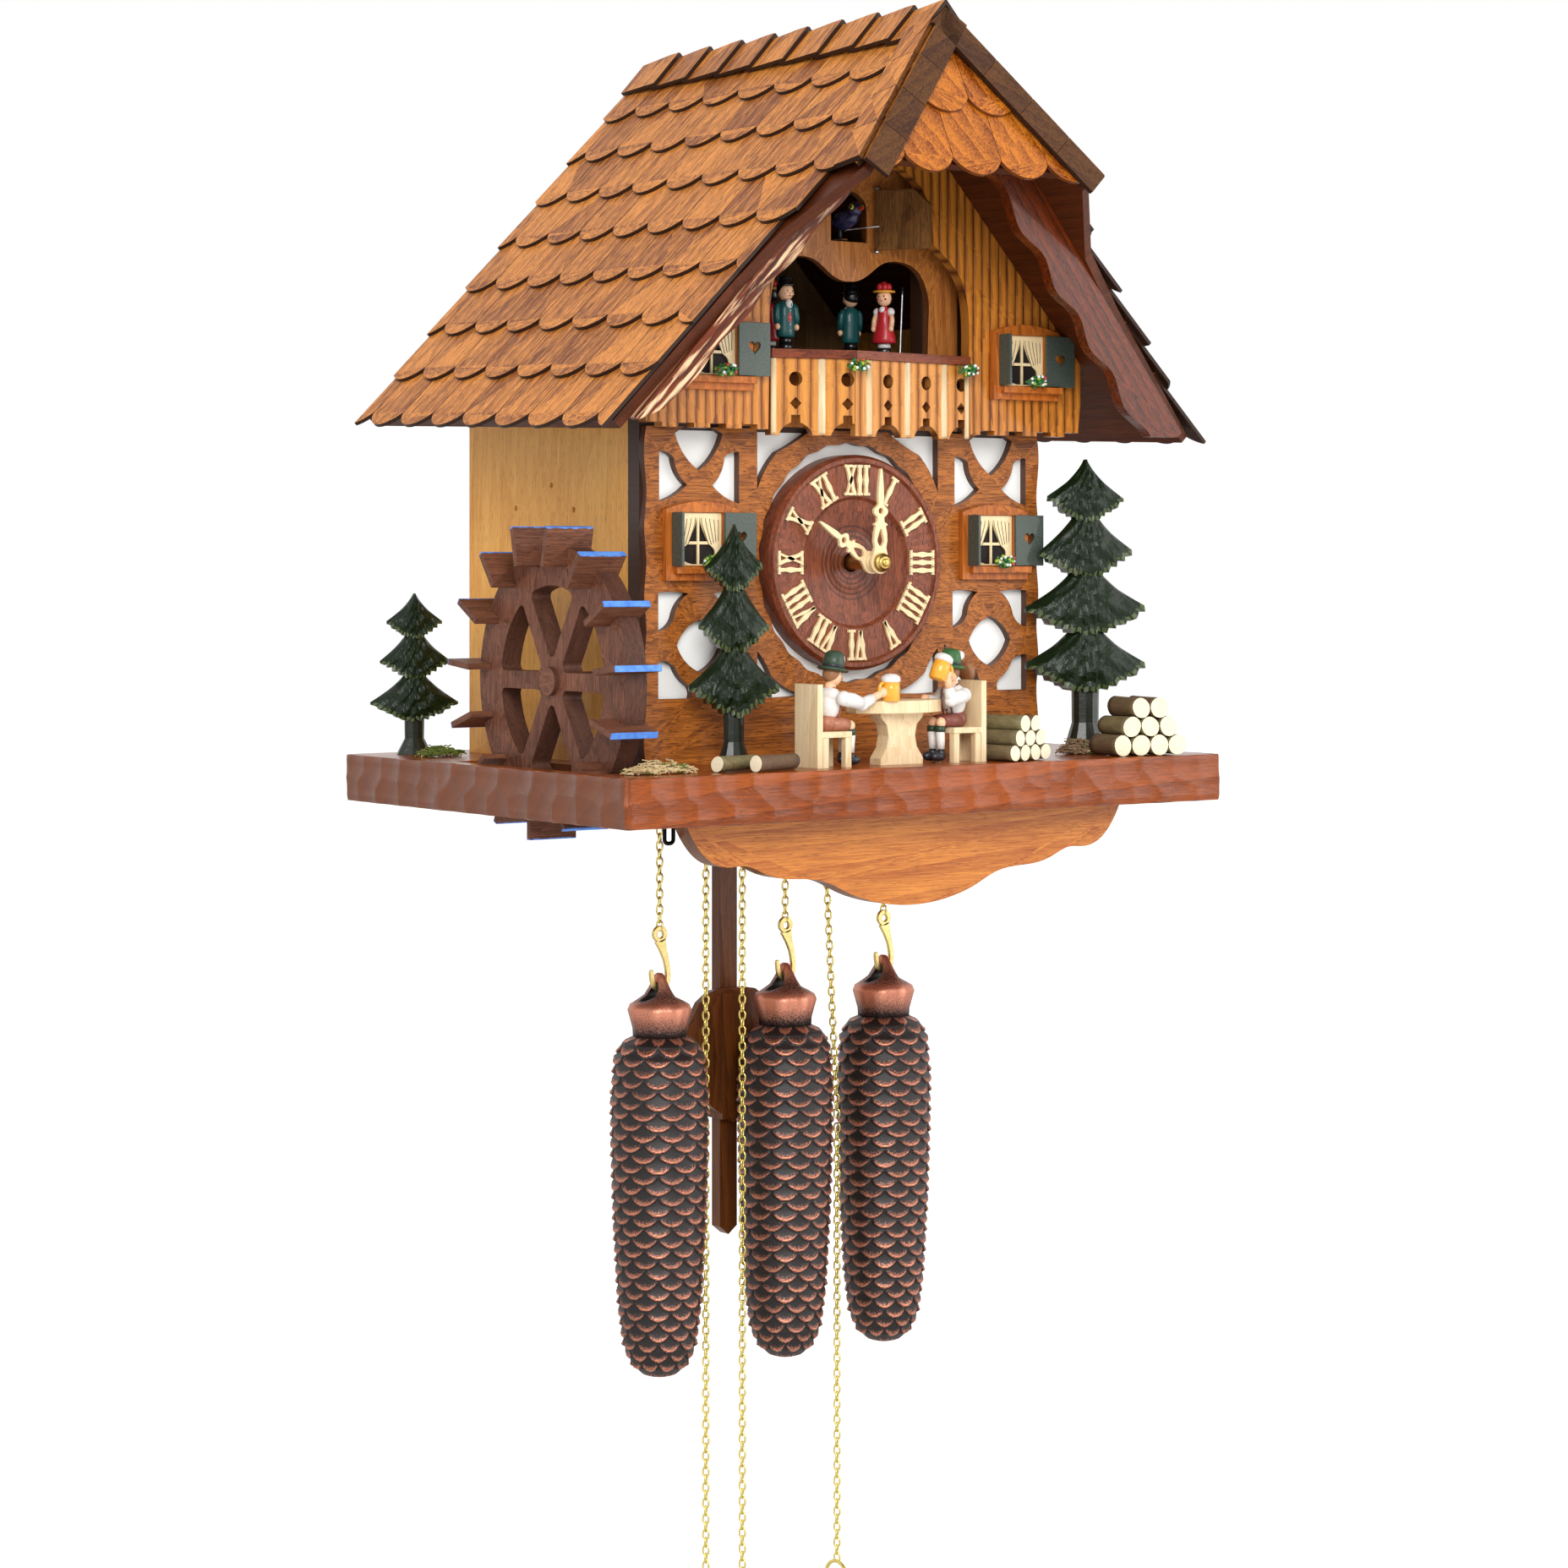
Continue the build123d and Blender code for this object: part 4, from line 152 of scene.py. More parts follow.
# %% Floor
floor_mesh = bpy.data.meshes.new("studio_floor")
bm = bmesh.new()
bmesh.ops.create_circle(bm, cap_ends=True, segments=96, radius=9.0)
bm.to_mesh(floor_mesh)
bm.free()
floor = bpy.data.objects.new("studio_floor", floor_mesh)
bpy.context.scene.collection.objects.link(floor)
floor.location = (0, 0, cad_low.z - 0.012)
floor_paint = bpy.data.materials.new("floor_paint")
floor_paint.use_nodes = True
fn, fl = floor_paint.node_tree.nodes, floor_paint.node_tree.links
fn.clear()
pale = fn.new("ShaderNodeBsdfDiffuse")
pale.inputs["Color"].default_value = (0.86, 0.86, 0.86, 1)
lift = fn.new("ShaderNodeEmission")
lift.inputs["Color"].default_value = (1, 1, 1, 1)
seen = fn.new("ShaderNodeLightPath")
share = fn.new("ShaderNodeMath")
share.operation = "MULTIPLY"
share.inputs[1].default_value = 0.55
fl.new(seen.outputs["Is Camera Ray"], share.inputs[0])
fl.new(share.outputs[0], lift.inputs["Strength"])
both = fn.new("ShaderNodeAddShader")
fl.new(pale.outputs[0], both.inputs[0])
fl.new(lift.outputs[0], both.inputs[1])
floor_out = fn.new("ShaderNodeOutputMaterial")
fl.new(both.outputs[0], floor_out.inputs["Surface"])
floor_mesh.materials.append(floor_paint)
print("floor at z", round(floor.location.z, 4))

# %% [markdown]
# ## Finishes
# Almost everything here is stained and lacquered wood. The figure of wood comes from two scales: growth
# rings, a few millimetres apart and drawn out along the trunk, and fibres, far finer and even longer.
# One node group makes both, and each board takes its own spacing, stain and strength from it.
# Every solid of a piece also gets its own shift and shade, as no two shingles come from one spot of a tree.

# %% Node helpers
def new_group(name, sockets_in, sockets_out):
    """A shader node group with named sockets; each is (name, type, default)."""
    group = bpy.data.node_groups.new(name, "ShaderNodeTree")
    for label, kind, default in sockets_in:
        made = group.interface.new_socket(name=label, in_out="INPUT", socket_type=kind)
        if default is not None:
            made.default_value = default
    for label, kind in sockets_out:
        group.interface.new_socket(name=label, in_out="OUTPUT", socket_type=kind)
    start = group.nodes.new("NodeGroupInput")
    end = group.nodes.new("NodeGroupOutput")
    return group, start, end


def feed(tree, socket, value):
    """Gives an input its value: a link where the value is a socket, else a constant."""
    if isinstance(value, bpy.types.NodeSocket):
        tree.links.new(value, socket)
    else:
        socket.default_value = value


def maths(tree, operation, *values, clamp=False):
    """A Math node; each value is a number or a socket."""
    node = tree.nodes.new("ShaderNodeMath")
    node.operation = operation
    node.use_clamp = clamp
    for socket, value in zip(node.inputs, values):
        feed(tree, socket, value)
    return node.outputs[0]


def vector_maths(tree, operation, *values):
    """A Vector Math node; a length or a dot product comes out as a number."""
    node = tree.nodes.new("ShaderNodeVectorMath")
    node.operation = operation
    for socket, value in zip(node.inputs, values):
        feed(tree, socket, value)
    return node.outputs["Value" if operation in ("LENGTH", "DOT_PRODUCT") else "Vector"]


def axes_of(tree, vector):
    """A vector's X, Y and Z sockets."""
    node = tree.nodes.new("ShaderNodeSeparateXYZ")
    tree.links.new(vector, node.inputs[0])
    return list(node.outputs)


def vector_of(tree, *values):
    node = tree.nodes.new("ShaderNodeCombineXYZ")
    for socket, value in zip(node.inputs, values):
        feed(tree, socket, value)
    return node.outputs[0]


def mirrored(tree, vector):
    """Takes left and right alike: X loses its sign."""
    x, y, z = axes_of(tree, vector)
    return vector_of(tree, maths(tree, "ABSOLUTE", x), y, z)


def group_node(tree, group, sockets):
    """A node group in a tree; `sockets` gives each named input its value."""
    node = tree.nodes.new("ShaderNodeGroup")
    node.node_tree = group
    for label, value in sockets.items():
        feed(tree, node.inputs[label], value)
    return node.outputs


def blend_colours(tree, factor, a, b):
    node = tree.nodes.new("ShaderNodeMix")
    node.data_type = "RGBA"
    for index, value in ((0, factor), (6, a), (7, b)):
        feed(tree, node.inputs[index], value)
    return node.outputs[2]


def stretch(tree, vector, by):
    return vector_maths(tree, "MULTIPLY", vector, by)


def grain_noise(tree, vector, scale, detail=2.0, roughness=0.5):
    node = tree.nodes.new("ShaderNodeTexNoise")
    node.inputs["Scale"].default_value = scale
    node.inputs["Detail"].default_value = detail
    node.inputs["Roughness"].default_value = roughness
    tree.links.new(vector, node.inputs["Vector"])
    return node.outputs["Fac"]


print("node helpers ready")

# %% [markdown]
# The grain group adds four parts: the rings of each year, the fibres, soft clouds, and one shade for each
# board. Pores are dark pits, and the height that comes out is what a finger would feel.

# %% The wood grain group
wood_grain, gi, go = new_group(
    "wood_grain",
    [("Vector", "NodeSocketVector", None), ("Light", "NodeSocketColor", (0.5, 0.3, 0.15, 1)),
     ("Dark", "NodeSocketColor", (0.2, 0.1, 0.05, 1)), ("Rings per cm", "NodeSocketFloat", 3.0),
     ("Ring strength", "NodeSocketFloat", 0.5), ("Fibre strength", "NodeSocketFloat", 0.5),
     ("Board to board", "NodeSocketFloat", 0.3), ("Pores", "NodeSocketFloat", 0.3),
     ("Roughness", "NodeSocketFloat", 0.35)],
    [("Color", "NodeSocketColor"), ("Roughness", "NodeSocketFloat"), ("Height", "NodeSocketFloat")])
island = wood_grain.nodes.new("ShaderNodeNewGeometry").outputs["Random Per Island"]
in_cm = stretch(wood_grain, gi.outputs["Vector"], (100, 100, 100))
shift = vector_of(wood_grain, *[maths(wood_grain, "MULTIPLY", island, amount) for amount in (13.0, 7.0, 29.0)])
moved = vector_maths(wood_grain, "ADD", in_cm, shift)
drawn_out = stretch(wood_grain, moved, (1, 1, 0.075))
rings = wood_grain.nodes.new("ShaderNodeTexWave")
rings.wave_type = "BANDS"
rings.bands_direction = "DIAGONAL"
rings.wave_profile = "SAW"
rings.inputs["Distortion"].default_value = 5.0
rings.inputs["Detail"].default_value = 3.0
rings.inputs["Detail Scale"].default_value = 0.55
rings.inputs["Detail Roughness"].default_value = 0.55
wood_grain.links.new(drawn_out, rings.inputs["Vector"])
wood_grain.links.new(maths(wood_grain, "MULTIPLY", gi.outputs["Rings per cm"], 0.22), rings.inputs["Scale"])
fibres = grain_noise(wood_grain, stretch(wood_grain, moved, (1, 1, 0.03)), 16.0, 4.0, 0.6)
clouds = grain_noise(wood_grain, stretch(wood_grain, moved, (1, 1, 0.3)), 0.55, 2.0)
pores = grain_noise(wood_grain, stretch(wood_grain, moved, (1, 1, 0.06)), 34.0, 1.0)
pits = maths(wood_grain, "MULTIPLY", maths(wood_grain, "SUBTRACT", pores, 0.58), 6.0, clamp=True)
ring_part = maths(wood_grain, "MULTIPLY", maths(wood_grain, "SUBTRACT", rings.outputs["Fac"], 0.5),
                  gi.outputs["Ring strength"])
fibre_part = maths(wood_grain, "MULTIPLY", maths(wood_grain, "SUBTRACT", fibres, 0.5),
                   maths(wood_grain, "MULTIPLY", gi.outputs["Fibre strength"], 3.0))
cloud_part = maths(wood_grain, "MULTIPLY", maths(wood_grain, "SUBTRACT", clouds, 0.5), 0.9)
board_part = maths(wood_grain, "MULTIPLY", maths(wood_grain, "SUBTRACT", island, 0.5),
                   gi.outputs["Board to board"])
dark_share = maths(wood_grain, "ADD", maths(wood_grain, "ADD", ring_part, fibre_part),
                   maths(wood_grain, "ADD", cloud_part, board_part))
dark_share = maths(wood_grain, "ADD", dark_share, 0.45, clamp=True)
figure_colour = blend_colours(wood_grain, dark_share, gi.outputs["Light"], gi.outputs["Dark"])
pit_share = maths(wood_grain, "MULTIPLY", pits, gi.outputs["Pores"], clamp=True)
figure_colour = blend_colours(wood_grain, pit_share, figure_colour, (0.02, 0.008, 0.004, 1))
wood_grain.links.new(figure_colour, go.inputs["Color"])
wood_grain.links.new(maths(wood_grain, "ADD", gi.outputs["Roughness"],
                           maths(wood_grain, "MULTIPLY", maths(wood_grain, "SUBTRACT", fibres, 0.5), 0.3)),
                     go.inputs["Roughness"])
wood_grain.links.new(maths(wood_grain, "SUBTRACT", maths(wood_grain, "MULTIPLY", fibres, 0.6),
                           maths(wood_grain, "ADD", maths(wood_grain, "MULTIPLY", rings.outputs["Fac"], 0.25),
                                 maths(wood_grain, "MULTIPLY", pit_share, 0.8))), go.inputs["Height"])
print("wood grain group:", len(wood_grain.nodes), "nodes")

# %% [markdown]
# Sawn edges drink more stain than faces do, so a fretted board has darker edges. The group compares the
# surface's direction with the face's and gives an edge mask; it takes left and right alike, so that the
# two roof slopes share one finish. On the shingles the edge colour is also painted shade. A second group
# rounds the look of sharp edges, which every sanded board has.

# %% The sawn edge group
sawn_edge, si, so = new_group(
    "sawn_edge",
    [("Color", "NodeSocketColor", (0.5, 0.3, 0.2, 1)), ("Edge stain and shade", "NodeSocketColor", (0.1, 0.05, 0.03, 1)),
     ("Face direction", "NodeSocketVector", (0, -1, 0)), ("Amount", "NodeSocketFloat", 0.8)],
    [("Color", "NodeSocketColor")])
facing = sawn_edge.nodes.new("ShaderNodeNewGeometry")
to_object = sawn_edge.nodes.new("ShaderNodeVectorTransform")
to_object.vector_type = "NORMAL"
to_object.convert_from = "WORLD"
to_object.convert_to = "OBJECT"
sawn_edge.links.new(facing.outputs["True Normal"], to_object.inputs[0])
likeness = vector_maths(sawn_edge, "DOT_PRODUCT", mirrored(sawn_edge, to_object.outputs[0]),
                        si.outputs["Face direction"])
turned_away = maths(sawn_edge, "SUBTRACT", 1.0, maths(sawn_edge, "ABSOLUTE", likeness))
edge_mask = maths(sawn_edge, "MULTIPLY", maths(sawn_edge, "SUBTRACT", turned_away, 0.45), 3.0, clamp=True)
edge_share = maths(sawn_edge, "MULTIPLY", edge_mask, si.outputs["Amount"], clamp=True)
sawn_edge.links.new(blend_colours(sawn_edge, edge_share, si.outputs["Color"], si.outputs["Edge stain and shade"]),
                    so.inputs["Color"])

soft_arris, ai, ao = new_group(
    "soft_arris", [("Radius mm", "NodeSocketFloat", 0.5)], [("Normal", "NodeSocketVector")])
rounding = soft_arris.nodes.new("ShaderNodeBevel")
rounding.samples = 3
soft_arris.links.new(maths(soft_arris, "MULTIPLY", ai.outputs["Radius mm"], 0.001), rounding.inputs["Radius"])
soft_arris.links.new(rounding.outputs[0], ao.inputs["Normal"])
print("edge groups ready")

# %% [markdown]
# A stain is chosen from a swatch, so colours are written as screen swatches and turned
# into the linear values that the renderer works with.

# %% Swatches and the wood recipe
def swatch(red, green, blue):
    """A screen colour, 0 to 255, as the renderer's linear colour."""
    values = []
    for part in (red, green, blue):
        part = part / 255
        values.append(part / 12.92 if part <= 0.04045 else ((part + 0.055) / 1.055) ** 2.4)
    return (*values, 1)


GRAIN_TURN = {"up": (0, 0, 0), "across": (0, math.radians(90), 0), "deep": (math.radians(90), 0, 0)}


def start_material(name):
    material = bpy.data.materials.new(name)
    material.use_nodes = True
    tree = material.node_tree
    shader = tree.nodes["Principled BSDF"]
    return material, tree, shader


def object_place(tree, turn=(0, 0, 0), mirror=False):
    """The surface's place in its own body's frame, turned so that the grain runs along Z."""
    coordinates = tree.nodes.new("ShaderNodeTexCoord")
    place = coordinates.outputs["Object"]
    if mirror:
        place = mirrored(tree, place)
    turn_node = tree.nodes.new("ShaderNodeMapping")
    turn_node.inputs["Rotation"].default_value = turn
    tree.links.new(place, turn_node.inputs["Vector"])
    return turn_node.outputs[0]


def object_noise(tree, per_axis, detail, roughness=0.5):
    """Noise in the body's own frame; `per_axis` is how fine it is, one number or one for each axis."""
    by = per_axis if isinstance(per_axis, tuple) else (per_axis,) * 3
    return grain_noise(tree, stretch(tree, object_place(tree), by), 1.0, detail, roughness)


def bump_into(tree, shader, height, distance, arris=None):
    bump = tree.nodes.new("ShaderNodeBump")
    bump.inputs["Strength"].default_value = 1.0
    bump.inputs["Distance"].default_value = distance
    tree.links.new(height, bump.inputs["Height"])
    if arris:
        soft = group_node(tree, soft_arris, {"Radius mm": arris})
        tree.links.new(soft["Normal"], bump.inputs["Normal"])
    tree.links.new(bump.outputs[0], shader.inputs["Normal"])
    return bump


def stained_wood(name, light, dark, grain="up", rings=3.0, ring=0.5, fibre=0.5, boards=0.3, pores=0.3,
                 rough=0.35, coat=0.3, relief=0.00012, arris=0.4, edge=None, edge_face=(0, -1, 0), edge_amount=0.8,
                 turn=None, mirror=False):
    """Stained, lacquered wood. Returns the material, its tree, its shader and its colour socket."""
    material, tree, shader = start_material(name)
    place = object_place(tree, turn if turn is not None else GRAIN_TURN[grain], mirror)
    body = group_node(tree, wood_grain, {
        "Vector": place, "Light": light, "Dark": dark, "Rings per cm": rings, "Ring strength": ring,
        "Fibre strength": fibre, "Board to board": boards, "Pores": pores, "Roughness": rough})
    colour = body["Color"]
    if edge:
        colour = group_node(tree, sawn_edge, {"Color": colour, "Edge stain and shade": edge, "Face direction": edge_face,
                                              "Amount": edge_amount})["Color"]
    tree.links.new(colour, shader.inputs["Base Color"])
    tree.links.new(body["Roughness"], shader.inputs["Roughness"])
    shader.inputs["Specular IOR Level"].default_value = 0.22
    shader.inputs["Coat Weight"].default_value = 0.4 * coat
    shader.inputs["Coat Roughness"].default_value = 0.1
    bump = bump_into(tree, shader, body["Height"], relief, arris)
    if arris is None:
        flat = tree.nodes.new("ShaderNodeNewGeometry")
        tree.links.new(flat.outputs["True Normal"], bump.inputs["Normal"])
    return material, tree, shader, colour


def dress(node, *materials):
    """Puts finishes into a carried-over node's material slots."""
    mesh_slots = nodes[node].data.materials
    mesh_slots.clear()
    for material in materials:
        mesh_slots.append(material)


print("swatch test", [round(v, 3) for v in swatch(150, 85, 35)])

# %% [markdown]
# The case is spruce and walnut-stained board. The side wall is honey coloured with upright grain, the
# fretted half timber has level grain and nearly black cut edges, and the board behind it is painted white
# as far up as it shows; behind the gable and on its edges it is bare brown.

# %% Case finishes
PAINTED_UP_TO, BARE_BEYOND = 150.0, 112.5
side_wood, *_ = stained_wood("side_wood", swatch(252, 190, 96), swatch(218, 142, 50), rings=3.2, ring=0.25,
                             fibre=0.55, boards=0.1, pores=0.5, rough=0.38, coat=0.35)
fret_wood, *_ = stained_wood("fret_wood", swatch(190, 112, 42), swatch(108, 54, 14), grain="across", rings=2.6,
                             ring=0.45, fibre=0.8, boards=0.1, pores=0.9, rough=0.42, coat=0.25,
                             edge=swatch(70, 46, 38), edge_amount=0.9)
apron_wood, *_ = stained_wood("apron_wood", swatch(214, 134, 52), swatch(150, 70, 14), grain="across", rings=2.4,
                              ring=0.4, fibre=0.6, boards=0.1, pores=0.5, rough=0.34, coat=0.45,
                              edge=swatch(74, 34, 14))
frame_wood, *_ = stained_wood("frame_wood", swatch(205, 165, 115), swatch(150, 110, 70), rings=2.0, ring=0.2,
                              fibre=0.4, boards=0.2, pores=0.2, rough=0.6, coat=0.0, arris=None)
gable_lining, *_ = stained_wood("roof_lining", swatch(100, 44, 12), swatch(50, 20, 4), grain="deep", rings=3.0,
                                ring=0.3, fibre=0.5, boards=0.2, pores=0.4, rough=0.5, coat=0.1)
white_board, white_tree, white_shader = start_material("white_board")
brushed = object_noise(white_tree, (60, 60, 900), 3.0)
white_tree.links.new(maths(white_tree, "ADD", maths(white_tree, "MULTIPLY", brushed, 0.2), 0.4),
                     white_shader.inputs["Roughness"])
bump_into(white_tree, white_shader, brushed, 0.00006)
sideways, _, upwards = axes_of(white_tree, object_place(white_tree))
above = maths(white_tree, "GREATER_THAN", upwards, deck(0, 0, PAINTED_UP_TO).z)
beyond = maths(white_tree, "GREATER_THAN", maths(white_tree, "ABSOLUTE", sideways), BARE_BEYOND / 1000)
bare = maths(white_tree, "MAXIMUM", above, beyond)
white_tree.links.new(blend_colours(white_tree, bare, swatch(248, 248, 245), swatch(58, 32, 16)),
                     white_shader.inputs["Base Color"])
dress("case_sides", side_wood)
dress("half_timber", fret_wood)
dress("apron", apron_wood)
dress("back_frame", frame_wood)
dress("back_panel", frame_wood)
dress("roof_boards", gable_lining)
dress("front_board", white_board)
print("case finishes:", len(bpy.data.materials), "materials")

# %% [markdown]
# The roof is hand-laid shingles with an open, brushed grain that runs down the slope; their cut ends are darker, partly
# stain and partly painted shade for the shadow under each tip. The short front slope is the same wood with an orange
# gloss, and the left verge board is planed spruce, with pale streaks of painted highlight that run down its length, on
# its lit left side.

# %% Roof finishes
SLOPE_TURN = (0, math.radians(42.3), 0)
# The dark edge colour on the shingle tips is partly stain and partly painted shade under each tip.
roof_wood, *_ = stained_wood("roof_wood", swatch(238, 152, 66), swatch(120, 56, 10), rings=3.4, ring=0.45,
                             fibre=1.05, boards=0.6, pores=1.0, rough=0.48, coat=0.15, relief=0.00022,
                             edge=swatch(44, 22, 8), edge_face=(0.74, 0.0, 0.673), edge_amount=1.0,
                             turn=SLOPE_TURN, mirror=True)
hip_wood, *_ = stained_wood("hip_wood", swatch(206, 120, 34), swatch(112, 46, 6), rings=3.0, ring=0.6, fibre=0.8,
                            boards=0.5, pores=0.6, rough=0.26, coat=0.55, edge=swatch(84, 38, 10),
                            edge_face=(0.0, -0.93, 0.37))
verge_wood, verge_tree, verge_shader, verge_colour = stained_wood(
    "verge_wood", swatch(116, 46, 8), swatch(60, 20, 2), rings=5.5, ring=0.8, fibre=0.7, boards=0.2, pores=0.3,
    rough=0.26, coat=0.6, relief=0.0003, turn=SLOPE_TURN, mirror=True)
# Pale streaks of painted highlight, only on the left board, which faces the key lamp.
highlight_streak = grain_noise(verge_tree, stretch(verge_tree, object_place(verge_tree, SLOPE_TURN, True), (520, 520, 5)),
                     1.0, 3.0)
highlight_streak = maths(verge_tree, "MULTIPLY", maths(verge_tree, "SUBTRACT", highlight_streak, 0.47), 7.0, clamp=True)
lit_left = maths(verge_tree, "LESS_THAN", axes_of(verge_tree, object_place(verge_tree))[0], 0.0)
verge_tree.links.new(blend_colours(verge_tree, maths(verge_tree, "MULTIPLY", highlight_streak, lit_left), verge_colour,
                                   swatch(240, 196, 154)), verge_shader.inputs["Base Color"])
dress("roof_shingles", roof_wood)
dress("hip_shingles", hip_wood)
print("roof woods done")

# %% [markdown]
# The gable board is reeded: upright round ribs with narrow grooves between them, cut with a moulding
# plane. A wave across the board bends the surface's normal; the ribs' crowns get a painted highlight and
# the grooves get painted shade. The balcony and its ribs use the same reeding in a paler wood.

# %% Reeded boards
reeding, ri, ro = new_group(
    "reeding", [("Vector", "NodeSocketVector", None), ("Rib mm", "NodeSocketFloat", 6.0)],
    [("Crown highlight", "NodeSocketFloat"), ("Height", "NodeSocketFloat")])
wander = grain_noise(reeding, stretch(reeding, ri.outputs["Vector"], (90, 90, 6)), 1.0, 1.0)
along_mm = maths(reeding, "MULTIPLY", axes_of(reeding, ri.outputs["Vector"])[0], 1000.0)
across = maths(reeding, "ADD", maths(reeding, "DIVIDE", along_mm, ri.outputs["Rib mm"]),
               maths(reeding, "MULTIPLY", wander, 0.35))
phase = maths(reeding, "FRACT", across)
arch = maths(reeding, "MULTIPLY", maths(reeding, "MULTIPLY", phase, maths(reeding, "SUBTRACT", 1.0, phase)), 4.0)
rounded = maths(reeding, "POWER", arch, 0.45)
reeding.links.new(rounded, ro.inputs["Height"])
# Crown highlight is the mask of the rib crowns, where the painted highlight goes.
reeding.links.new(maths(reeding, "MULTIPLY", maths(reeding, "SUBTRACT", rounded, 0.75), 4.0, clamp=True),
                  ro.inputs["Crown highlight"])


def reeded_wood(name, rib_mm, depth, crown_highlight_colour, crown_highlight_share, **wood):
    material, tree, shader, colour = stained_wood(name, **wood)
    ribs = group_node(tree, reeding, {"Vector": object_place(tree), "Rib mm": rib_mm})
    # Painted highlight on the rib crowns, and painted shade darkening the grooves between them.
    share = maths(tree, "MULTIPLY", ribs["Crown highlight"], crown_highlight_share)
    groove_shade = maths(tree, "SUBTRACT", 1.0, ribs["Height"], clamp=True)
    shaded = blend_colours(tree, maths(tree, "MULTIPLY", groove_shade, 0.75), colour, (0.03, 0.012, 0.006, 1))
    tree.links.new(blend_colours(tree, share, shaded, crown_highlight_colour), shader.inputs["Base Color"])
    old = shader.inputs["Normal"].links[0].from_node
    second = tree.nodes.new("ShaderNodeBump")
    second.inputs["Distance"].default_value = depth
    tree.links.new(ribs["Height"], second.inputs["Height"])
    tree.links.new(old.outputs[0], second.inputs["Normal"])
    tree.links.new(second.outputs[0], shader.inputs["Normal"])
    return material


# Each reeded board's crown colour is its painted highlight.
gable_wood = reeded_wood("gable_wood", 5.1, 0.0009, swatch(226, 150, 62), 0.35,
                         light=swatch(214, 132, 44), dark=swatch(132, 62, 10), rings=4.5, ring=0.55, fibre=0.6,
                         boards=0.05, pores=0.4, rough=0.3, coat=0.5, edge=swatch(90, 44, 20), edge_amount=0.6)
arch_wood, *_ = stained_wood("arch_wood", swatch(208, 134, 66), swatch(138, 74, 26), rings=4.0, ring=0.4,
                             fibre=0.6, boards=0.05, pores=0.5, rough=0.36, coat=0.35, edge=swatch(84, 42, 20))
balcony_wood = reeded_wood("balcony_wood", 6.2, 0.0008, swatch(236, 172, 88), 0.35,
                           light=swatch(224, 146, 64), dark=swatch(164, 88, 26), rings=4.5, ring=0.35, fibre=0.5,
                           boards=0.1, pores=0.3, rough=0.32, coat=0.4, edge=swatch(110, 62, 30))
rail_wood, *_ = stained_wood("rail_wood", swatch(148, 74, 44), swatch(86, 36, 20), grain="across", rings=3.0,
                             ring=0.4, fibre=0.5, boards=0.5, pores=0.6, rough=0.35, coat=0.3)
stage_dark, *_ = stained_wood("stage_dark", swatch(70, 40, 26), swatch(30, 16, 10), grain="across", rings=3.0,
                              ring=0.3, fibre=0.4, boards=0.2, pores=0.4, rough=0.5, coat=0.1)
pale_wood, *_ = stained_wood("pale_wood", swatch(244, 224, 186), swatch(216, 182, 132), rings=4.0, ring=0.35,
                             fibre=0.45, boards=0.25, pores=0.15, rough=0.5, coat=0.05, relief=0.00005, arris=0.7)
window_wood, *_ = stained_wood("window_wood", swatch(206, 116, 42), swatch(134, 66, 18), rings=4.5, ring=0.5,
                               fibre=0.5, boards=0.2, pores=0.3, rough=0.4, coat=0.25, arris=0.5)
dress("gable_board", gable_wood)
dress("stage_arch", arch_wood)
dress("balcony_front", balcony_wood)
dress("balcony_rail", rail_wood)
dress("stage_floor", stage_dark)
dress("dancer_platform", stage_dark)
dress("table_and_chairs", pale_wood)
dress("window_frames", window_wood)
print("reeded boards done")

# %% [markdown]
# The dial is turned on a lathe, so rings of grooves lie round its middle, but the grain still runs straight.
# The grooves are painted shade, dark rings in the colour only: at this size their depth would not be seen.

# %% Dial finish
DIAL_HEIGHT = 90.6
GROOVED_RADIUS, GROOVES_PER_METRE = 0.0185, 2700.0
dial_wood, dial_tree, dial_shader, dial_colour = stained_wood(
    "dial_wood", swatch(152, 82, 52), swatch(86, 38, 22), rings=3.0, ring=0.35, fibre=0.7, boards=0.0, pores=1.0,
    rough=0.36, coat=0.3, arris=0.5)
from_centre = vector_maths(dial_tree, "LENGTH", vector_maths(
    dial_tree, "MULTIPLY_ADD", object_place(dial_tree), (1, 0, 1), (0, 0, -deck(0, 0, DIAL_HEIGHT).z)))
ripple = maths(dial_tree, "SINE", maths(dial_tree, "MULTIPLY", from_centre, GROOVES_PER_METRE))
inner = maths(dial_tree, "LESS_THAN", from_centre, GROOVED_RADIUS)
# Painted shade: dark rings where the lathe grooves would be shaded.
groove_shade = maths(dial_tree, "MULTIPLY", maths(dial_tree, "ADD", ripple, 0.2), inner)
groove_shade = maths(dial_tree, "MULTIPLY", groove_shade, 0.55, clamp=True)
dial_tree.links.new(blend_colours(dial_tree, groove_shade, dial_colour, swatch(38, 14, 8)),
                    dial_shader.inputs["Base Color"])
dress("dial_plate", dial_wood)
print("dial finished")

# %% [markdown]
# The wheel and the pendulum are dark, open-pored wood. Cream covers the numerals and the hands, which are
# thin plates, and the window inserts; a fine speckle keeps it from looking like a screen colour.

